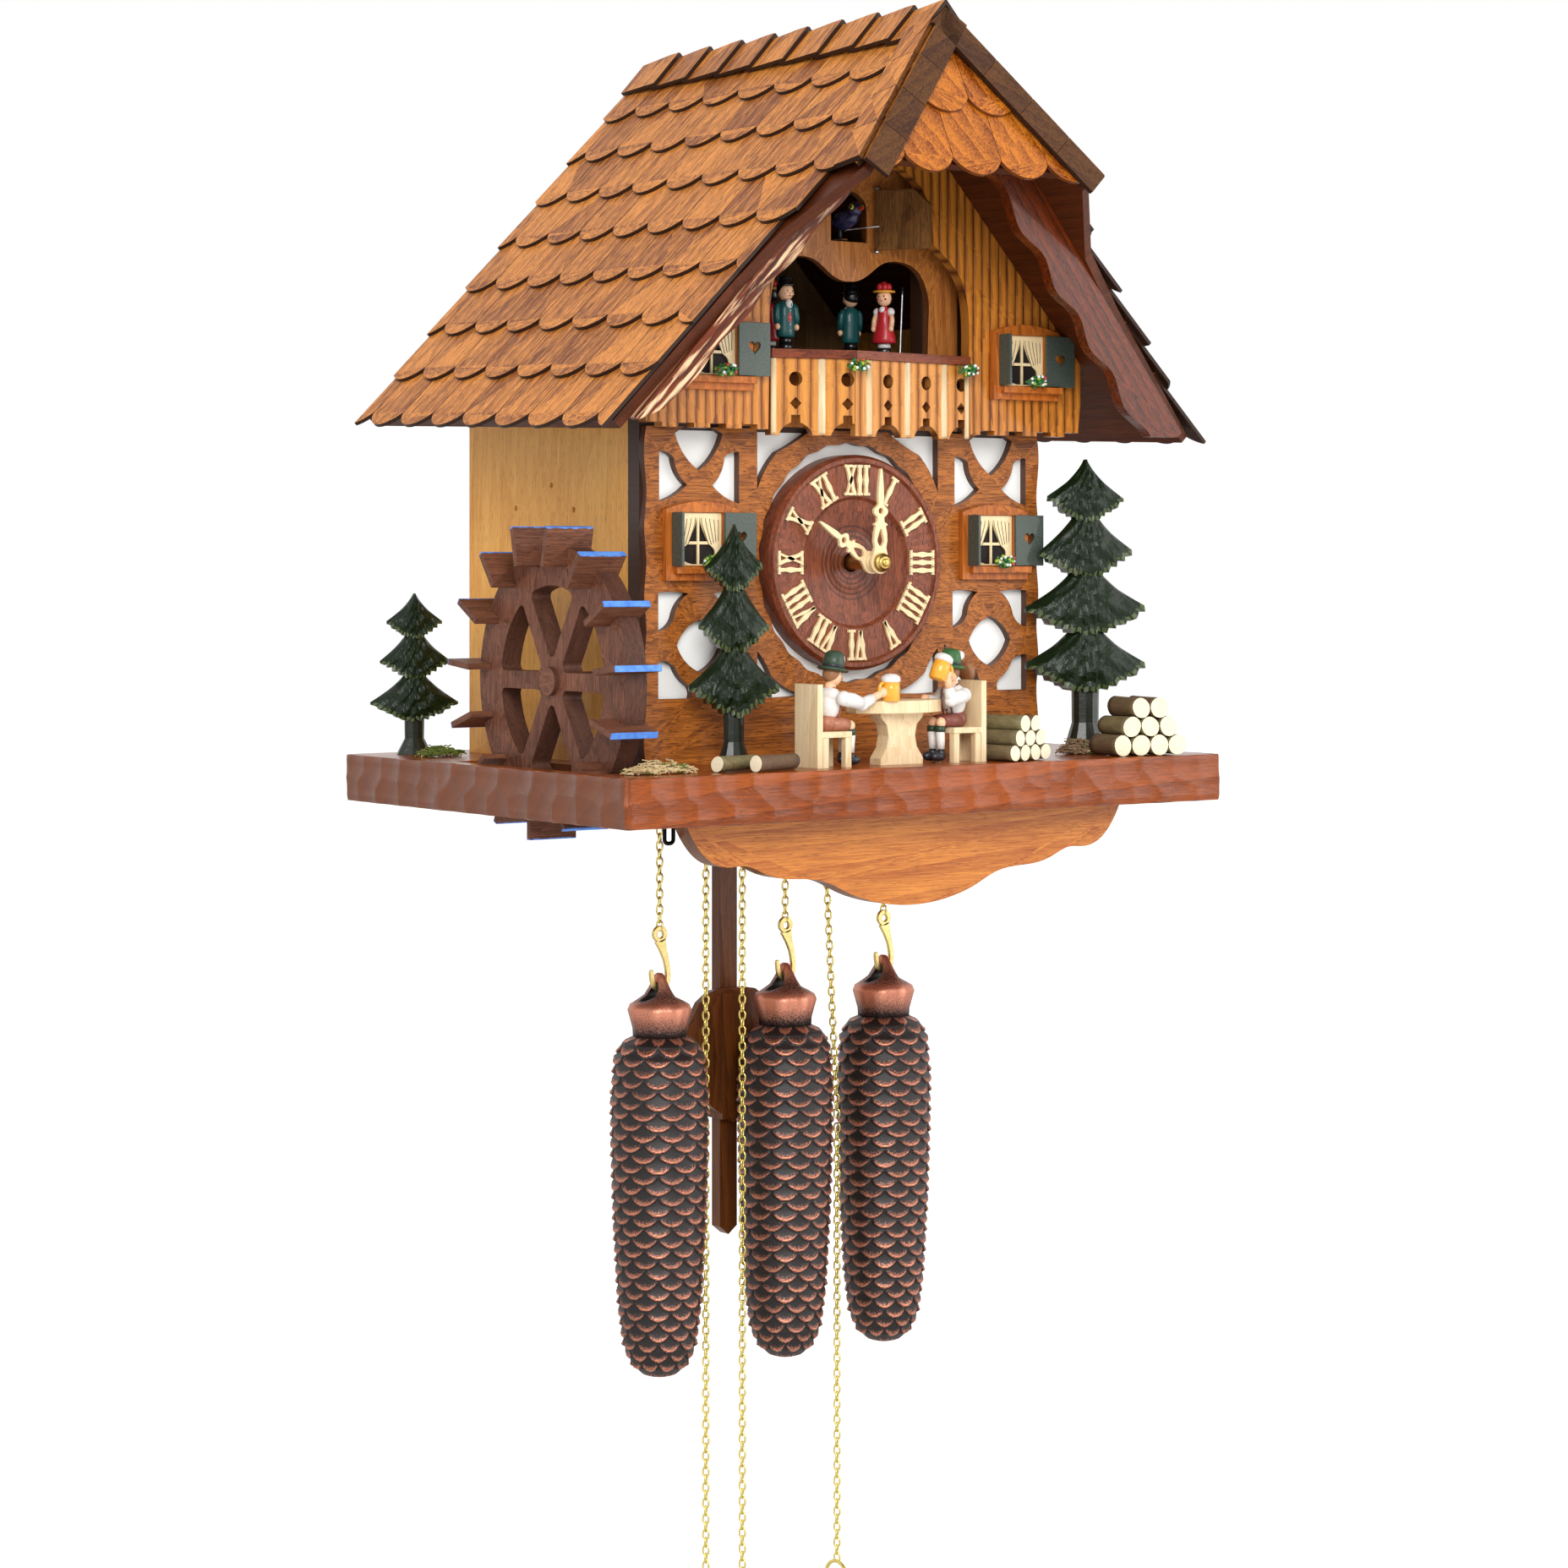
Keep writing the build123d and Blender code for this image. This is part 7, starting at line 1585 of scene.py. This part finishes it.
def drinker_body(bm, side):
    x, y, toward = CHAIR_X[side], TABLE_Y, -side

    def at(dx, dy, dz):
        return deck(x + toward * dx, y + dy, SEAT_Z + dz)

    shorts = PAINT["brown"] if side < 0 else PAINT["maroon"]
    ball(bm, at(0.2, 0, 4.4), (5.0, 5.6, 4.4), shorts, 20)
    ball(bm, at(1.0, 0, 12.0), (5.0, 5.8, 6.8), PAINT["white"], 24)
    ball(bm, at(1.6, 0, 16.6), (4.4, 6.3, 3.9), PAINT["white"], 22)
    for leg in (-1, 1):
        bent_wire(bm, [at(0.5, leg * 2.9, 3.6), at(6.0, leg * 3.0, 3.8), at(9.6, leg * 3.0, 3.3)], 2.9, 14, shorts,
                  radii=[3.0, 3.0, 2.8])
        ball(bm, at(11.0, leg * 3.0, 2.9), (2.4, 2.3, 2.5), PAINT["skin"], 14)
        bent_wire(bm, [at(11.4, leg * 3.0, 1.4), at(11.5, leg * 3.0, -1.2)], 2.3, 12, PAINT["hat_green"])
        bent_wire(bm, [at(11.5, leg * 3.0, -0.9), at(11.2, leg * 3.0, -5.0), at(11.2, leg * 3.0, -9.0)], 2.0, 12,
                  PAINT["white"], radii=[2.1, 2.0, 1.8])
        ball(bm, at(12.6, leg * 3.0, -12.3), (4.2, 2.3, 2.3), PAINT["shoe"], 14)
        ball(bm, at(11.0, leg * 3.0, -11.0), (2.2, 2.1, 2.4), PAINT["shoe"], 12)
    bent_wire(bm, [at(1.8, 0, 19.0), at(2.8, 0, 21.8)], 2.5, 12, PAINT["skin"], radii=[2.7, 2.4])
    head = at(3.8, 0, 24.8)
    ball(bm, head, (4.0, 4.0, 4.5), PAINT["skin"], 24)
    ball(bm, at(2.9, 0, 25.6), (4.1, 4.15, 4.0), PAINT["ochre"], 24)
    ball(bm, at(7.6, 0, 24.4), (0.9, 0.8, 0.8), PAINT["skin"], 10)
    for eye in (-1, 1):
        ball(bm, at(7.1, eye * 1.5, 25.7), (0.35, 0.4, 0.4), PAINT["black"], 8)
        ball(bm, at(6.9, eye * 2.1, 23.8), (0.5, 0.7, 0.6), PAINT["red"], 8)
    hat = PAINT["hat_green"] if side < 0 else PAINT["hat_bright"]
    tilt = toward * (10 if side < 0 else -6)
    lean = Matrix.Translation(at(3.6, 0, 27.4)) @ Matrix.Rotation(math.radians(tilt), 4, "Y")
    turned(bm, [(0.5, -0.2), (6.6, 0.0), (7.2, 0.5), (6.9, 1.1), (5.2, 1.5), (4.9, 4.4), (4.2, 7.6), (2.8, 8.8),
                (0.3, 8.6)], lean, 28, hat)
    turned(bm, [(5.05, 1.4), (5.25, 1.5), (5.2, 2.6), (5.0, 2.7)], lean, 28, PAINT["shoe"], closed=False)
    if side < 0:
        ball(bm, at(7.0, -2.6, 32.0), (1.6, 0.8, 2.8), PAINT["white"], 10)
    else:
        ball(bm, at(-1.6, -1.0, 33.0), (2.4, 1.6, 2.2), PAINT["white"], 12)
        bent_wire(bm, [at(5.6, 0.5, 33.8), at(6.0, 0.5, 38.0)], 0.5, 6, PAINT["shoe"])
    for height in (8.5, 13.5):
        ball(bm, at(5.3, 0, height), (0.5, 0.5, 0.5), PAINT["shoe"], 8)
    for strap in (-1, 1):
        bent_wire(bm, [at(4.6, strap * 3.2, 6.8), at(6.1, strap * 3.4, 12.0), at(5.2, strap * 3.6, 17.6),
                       at(1.6, strap * 3.4, 20.2)], 0.45, 6, shorts)
    bent_wire(bm, [at(2.6, 6.0, 17.0), at(6.0, 6.8, 12.6), at(11.5, 6.0, 13.4)], 2.3, 12, PAINT["white"],
              radii=[2.8, 2.5, 2.0])
    ball(bm, at(13.2, 5.8, 13.8), (2.2, 1.8, 1.8), PAINT["skin"], 12)


def drinker_arm(bm, side):
    x, toward = CHAIR_X[side] - side * 2.4, -side
    y, z = TABLE_Y - ARM_FORWARD, SHOULDER_Z

    def at(dx, dy, dz):
        return deck(x + toward * dx, y + dy, z + dz)

    raised = side > 0
    elbow = (8.0, 0, -2.0) if raised else (10.4, 0, -2.6)
    palm = (10.6, 0, 9.4) if raised else (22.0, 0, 2.4)
    ball(bm, at(0.3, 0.2, 0.2), (3.3, 3.0, 3.4), PAINT["white"], 18)
    bent_wire(bm, [at(0, 0, 0), at(elbow[0] * 0.5, 0, elbow[2] * 0.3), at(*elbow)], 3.0, 14, PAINT["white"],
              radii=[3.2, 3.3, 2.9])
    ball(bm, at(*elbow), (3.0, 2.9, 3.0), PAINT["white"], 16)
    middle_at = tuple((a + b) / 2 for a, b in zip(elbow, palm))
    bent_wire(bm, [at(*elbow), at(*middle_at)], 2.6, 14, PAINT["white"], radii=[2.8, 2.2])
    bent_wire(bm, [at(*middle_at), at(*palm)], 1.9, 12, PAINT["skin"], radii=[1.8, 1.7])
    ball(bm, at(*palm), (2.3, 2.2, 2.4), PAINT["skin"], 14)
    mug = (palm[0] + (3.4 if raised else 4.4), 0, palm[2] + (3.2 if raised else 1.4))
    tip = Matrix.Translation(at(*mug)) @ Matrix.Rotation(math.radians(toward * (-24 if raised else 0)), 4, "Y")
    turned(bm, [(0.3, -5.4), (3.6, -5.5), (4.1, -5.0), (4.2, 0.0), (4.0, 3.2)], tip, 10, PAINT["beer"])
    turned(bm, [(3.9, 3.0), (4.4, 3.6), (4.2, 5.4), (2.6, 6.6), (0.3, 6.9)], tip, 20, PAINT["white"])
    handle = [tip @ Vector((-toward * (4.0 + 2.6 * math.sin(a)) / 1000, -0.0002, (3.0 * math.cos(a)) / 1000))
              for a in (math.pi * k / 6 for k in range(7))]
    bent_wire(bm, handle, 0.8, 8, PAINT["beer"])


bm = bmesh.new()
for side in (-1, 1):
    drinker_body(bm, side)
finish_piece("drinkers", bm, all_paints, "case", ["drinker_bodies"])
for side, name in ((-1, "left"), (1, "right")):
    bm = bmesh.new()
    drinker_arm(bm, side)
    finish_piece("mug_arm_" + name, bm, all_paints, name + "_arm", ["drinker_" + name + "_arm"])
bm = bmesh.new()
turned(bm, [(0.4, -1.4), (4.6, -1.5), (5.0, -1.0), (5.0, 1.0), (4.6, 1.5), (0.4, 1.4)],
       Matrix.Translation(deck(37.6, -210.5, 40.5)) @ Matrix.Rotation(math.radians(78), 4, "Y"), 28, PAINT["ochre"])
bent_wire(bm, [deck(37.6, -210.5, 36.0), deck(37.6, -210.5, 28.0)], 0.7, 8, PAINT["shoe"])
planed(bm, (35.6, -212.0, 0.05), (39.6, -209.0, 28.4), PAINT["ochre"], 0.3)
finish_piece("round_stool_back", bm, all_paints, "case")
print("drinkers done")

# %% [markdown]
# The cuckoo is a small carved bird, blue-black with a ringed yellow eye and a red beak, and a short steel wire
# that points towards the door. It sits on a slide inside, so all of it rides on the cuckoo's own body.

# %% Cuckoo
BIRD = (-3.0, -173.0, 249.0)


def bird_at(dx, dy, dz):
    return deck(BIRD[0] + dx, BIRD[1] + dy, BIRD[2] + dz)


bm = bmesh.new()
ball(bm, bird_at(0, 0, 0), (4.1, 7.9, 4.3), PAINT["bird"], 24, Matrix.Rotation(math.radians(-14), 3, "X"))
ball(bm, bird_at(0, -6.6, 4.3), (3.3, 3.6, 3.4), PAINT["bird"], 20)
for side in (-1, 1):
    ball(bm, bird_at(side * 3.1, 1.2, 0.4), (1.3, 6.0, 3.0), PAINT["bird"], 16,
         Matrix.Rotation(math.radians(-20), 3, "X"))
    ball(bm, bird_at(side * 2.75, -7.6, 5.0), (0.7, 1.35, 1.35), PAINT["yellow"], 14)
    ball(bm, bird_at(side * 3.2, -7.8, 5.0), (0.5, 0.75, 0.75), PAINT["black"], 10)
    for dot_y, dot_z in ((-2.0, 1.4), (-0.4, 0.2), (1.4, 1.6), (2.6, -0.2), (4.0, 1.0)):
        ball(bm, bird_at(side * 4.15, dot_y, dot_z), (0.3, 0.6, 0.35), PAINT["black"], 6)
for open_up, lift in ((1, 0.7), (-1, -0.5)):
    turned(bm, [(1.35, 0), (0.8, 2.4), (0.15, 4.3)], Matrix.Translation(bird_at(0, -9.3, 4.2 + lift))
           @ Matrix.Rotation(math.radians(90 + 8 * open_up), 4, "X"), 14, PAINT["beak"], (0.8, 0.55))
planed(bm, (BIRD[0] - 1.7, BIRD[1] + 5, BIRD[2] - 1.4), (BIRD[0] + 1.7, BIRD[1] + 15, BIRD[2] + 0.2),
       PAINT["bird"], 0.3)
planed(bm, (-3.5, -169.5, 239.5), (0.5, -126.0, 240.7), PAINT["ochre"], 0.3)
bent_wire(bm, [bird_at(0, 5, -9.0), bird_at(0, 5, -2.0)], 0.9, 10, PAINT["shoe"])
wire_slot = len(all_paints)
bent_wire(bm, [bird_at(0, 2, -5.5), bird_at(1, 1, -4.6), bird_at(4.6, -6.4, -4.2), bird_at(9.0, -13, -3.6)], 0.42, 8,
          wire_slot)
finish_piece("carved_cuckoo", bm, all_paints + [steel], "cuckoo", ["cuckoo_bird"])
print("cuckoo at", [round(v, 4) for v in bird_at(0, 0, 0)])

# %% [markdown]
# ## Windows and flowers
# Each window has a cream moulded insert: two curtains tied aside and a cross bar, with fold lines of painted shade.
# The insert is a fret-sawn outline with holes, in front of a dark sheet of painted shade that stands for the unlit
# room.

# %% Window inserts
OPENING = (-14.4, 11.2, 6.6, 30.6)
LOWER = ((-84.3, 82.5, -171.0), (85.0, 82.5, -171.0))
UPPER = ((-88.8, 167.3, -188.0), (90.0, 167.3, -188.0))
left, right, low, high = OPENING
centre = (left + right) / 2
# Fold lines of painted shade in the curtains' creases.
fold_shade = paint("fold_shade", swatch(60, 48, 36), rough=0.6, coat=0.0)
# Painted shade: a dark sheet behind each insert stands for the unlit room.
room_shade = paint("room_shade", swatch(34, 22, 16), swatch(14, 9, 7), rough=0.7, coat=0.0)
bm = bmesh.new()
for x, z, y in LOWER + UPPER:
    place = facing_front(x, y - 1.2, z)
    rim_line = [(left + 0.1, low + 0.1), (right - 0.1, low + 0.1), (right - 0.1, high - 0.1),
                (left + 0.1, high - 0.1)]
    holes = []
    for side in (-1, 1):
        bar = centre + side * 0.6
        upper = smooth_line([(bar, high - 2.2), (bar + side * 1.6, high - 7.0), (bar + side * 4.6, low + 11.0)], 6)
        holes.append(upper + [(bar, low + 11.0)])
        lower_pane = smooth_line([(bar + side * 5.4, low + 9.6), (bar + side * 8.4, low + 6.8),
                                  (bar + side * 7.6, low + 2.6), (bar + side * 3.0, low + 0.8)], 6)
        holes.append([(bar, low + 9.6)] + lower_pane + [(bar, low + 0.8)])
    fretted(bm, [rim_line] + holes, 0.9, place, 0, 0.12)
    # Dark lines of painted shade in the curtains' folds.
    for side in (-1, 1):
        for k in range(5):
            top = (centre + side * (1.6 + 2.2 * k), high - 1.2 - 0.4 * k)
            end = (centre + side * (5.8 + 1.25 * k), low + 9.2 + 0.5 * k)
            bend = (top[0] + side * 0.5, (top[1] + end[1]) / 2 + 2.5)
            line = smooth_line([top, bend, end], 5)[2:]
            bent_wire(bm, [place @ Vector((u / 1000, v / 1000, 0.00047)) for u, v in line], 0.16, 5, 1)
    # The dark sheet of painted shade behind the insert.
    fretted(bm, [rim_line], 0.3, place @ Matrix.Translation((0, 0, -0.00085)), 2)
finish_piece("window_inserts", bm, [cream, fold_shade, room_shade], "case", ["window_curtains"],
             smooth=False)
print("window inserts", len(LOWER + UPPER))

# %% [markdown]
# The shutters are textured board in blackish green with a fretted heart, one laid open and one edge on.
# The upper ones end where the roof begins.

# %% Shutters
def heart(cx, cy, size):
    spots = []
    for k in range(28):
        t = 2 * math.pi * k / 28
        spots.append((cx + size * math.sin(t) ** 3, cy + size * (0.8125 * math.cos(t) - 0.3125 * math.cos(2 * t)
                                                              - 0.125 * math.cos(3 * t) - 0.0625 * math.cos(4 * t))))
    return spots


RIDGE_TOP, EAVE_TOP, EAVE_HALF, ROOF_THICK = 338.0, 148.2, 172.7, 7.5


def roof_limit(x):
    """The height of the roof's underside over a deck x, in mm."""
    return RIDGE_TOP - ROOF_THICK - abs(x) * (RIDGE_TOP - EAVE_TOP) / EAVE_HALF


shutter_paint = paint("shutter_paint", swatch(92, 104, 94), swatch(28, 38, 32), rough=0.45, coat=0.3, scale=1300,
                      relief=0.0003)
SHUTTER = 17.2
bm = bmesh.new()
for x, z, y in LOWER + UPPER:
    corner = [(right, low), (right + SHUTTER, low), (right + SHUTTER, high), (right, high)]
    fretted(bm, [corner, heart(right + SHUTTER / 2, (low + high) / 2 + 1, 3.2)], 1.5,
            facing_front(x, y - 3.0 - 0.1 - 0.8, z), 0, 0.2)
    top = min(high, roof_limit(x + left - 3.0) - z)
    planed(bm, (x + left - 2.6, y - 11.1, z + low), (x + left - 1.0, y - 3.1, z + top), 0, 0.25)
finish_piece("shutters", bm, [shutter_paint], "case", ["window_shutters"], smooth=False)
print("shutters done")

# %% [markdown]
# Flowers are heaps of small painted beads: glittered leaves below, then white, red and yellow beads. Seeded
# chance places them, so that each cluster differs and every run gives the same ones.

# %% Flower clusters
glitter = paint("leaf_glitter", swatch(40, 150, 60), swatch(8, 50, 20), rough=0.3, coat=0.8, scale=2500,
                relief=0.0006)
leaf_yellow = paint("leaf_yellow", swatch(190, 214, 60), swatch(90, 130, 30), rough=0.35, coat=0.5, scale=2500)
white_bead = paint("white_bead", swatch(250, 250, 248), swatch(216, 220, 220), rough=0.3, coat=0.5)
red_bead = paint("red_bead", swatch(214, 70, 50), rough=0.35, coat=0.4)
bm = bmesh.new()
spots = [(x + 1.5, y - 8.7, z + 8.6) for x, z, y in LOWER + UPPER] + [(-18.0, -202.2, 180.0), (53.0, -193.6, 180.0)]
for x, y, z in spots:
    for _ in range(64):
        a, b, r = chance.uniform(0, 6.3), chance.uniform(-1.2, 1.2), chance.uniform(0.55, 1.0)
        px, py, pz = 6.2 * r * math.cos(a) * math.cos(b), 2.6 * r * math.sin(a) * math.cos(b), 2.6 * r * math.sin(b)
        ball(bm, deck(x + px, y + py, z + pz), [chance.uniform(0.6, 1.2) for _ in range(3)],
             chance.choice((0, 0, 0, 0, 1)), 7)
    for k in range(9):
        a = 2 * math.pi * k / 9 + chance.uniform(-0.3, 0.3)
        ball(bm, deck(x + 4.6 * math.cos(a), y - 2.6 * abs(math.sin(a)) - 0.4, z + 2.0 * math.sin(a) + 0.3),
             [chance.uniform(0.6, 0.85)] * 3, chance.choice((2, 2, 3, 1)), 9)
finish_piece("flower_clusters", bm, [glitter, leaf_yellow, white_bead, red_bead], "case",
             ["flower_boxes"])
print(len(spots), "flower clusters")

# %% [markdown]
# Small trim finishes the stage: the pale half-round ribs between the balcony's bays, whose pale colour is partly light
# wood and partly painted highlight, and an upright steel wire beside the turning platform.

# %% Balcony ribs and stage wire
RIB_LOW, RIB_HIGH, RIB_PROUD = 148.4, 182.6, 1.25
bm = bmesh.new()
corner_left, corner_mid = Vector((-57.2, -188.0, 0)), Vector((-17.0, -198.0, 0))
corner_right = Vector((57.2, -188.0, 0))
first_run = (corner_mid - corner_left).length
for along in (1.6, 25.0, 50.3, 75.2, 99.6, 114.9):
    if along < first_run:
        spot, way = corner_left + (corner_mid - corner_left).normalized() * along, corner_mid - corner_left
    else:
        spot = corner_mid + (corner_right - corner_mid).normalized() * (along - first_run)
        way = corner_right - corner_mid
    way = way.normalized()
    out = Vector((way.y, -way.x, 0))
    half = 1.9 if 5 < along < 110 else 1.3
    ends = []
    for z in (RIB_LOW, RIB_HIGH):
        ring = []
        for k in range(9):
            a = math.pi * k / 8
            at = spot + way * (half * math.cos(a)) + out * (RIB_PROUD * math.sin(a) - 0.15)
            ring.append(bm.verts.new(deck(at.x, at.y, z + (0.8 * math.sin(a) if z == RIB_LOW else 0))))
        ends.append(ring)
    for face in skin(bm, ends, closed=False):
        face.smooth = True
    for ring in ends:
        bm.faces.new(ring)
# The ribs' pale colour is partly light wood and partly painted highlight.
finish_piece("balcony_ribs", bm, [pale_wood], "case", smooth=False)
bm = bmesh.new()
bent_wire(bm, [deck(38.8 + 1.8 * k / 8, -159.0, 184.3 + 36.0 * k / 8) for k in range(9)], 0.55, 8)
finish_piece("stage_wire", bm, [steel], "case")
print("trim done")
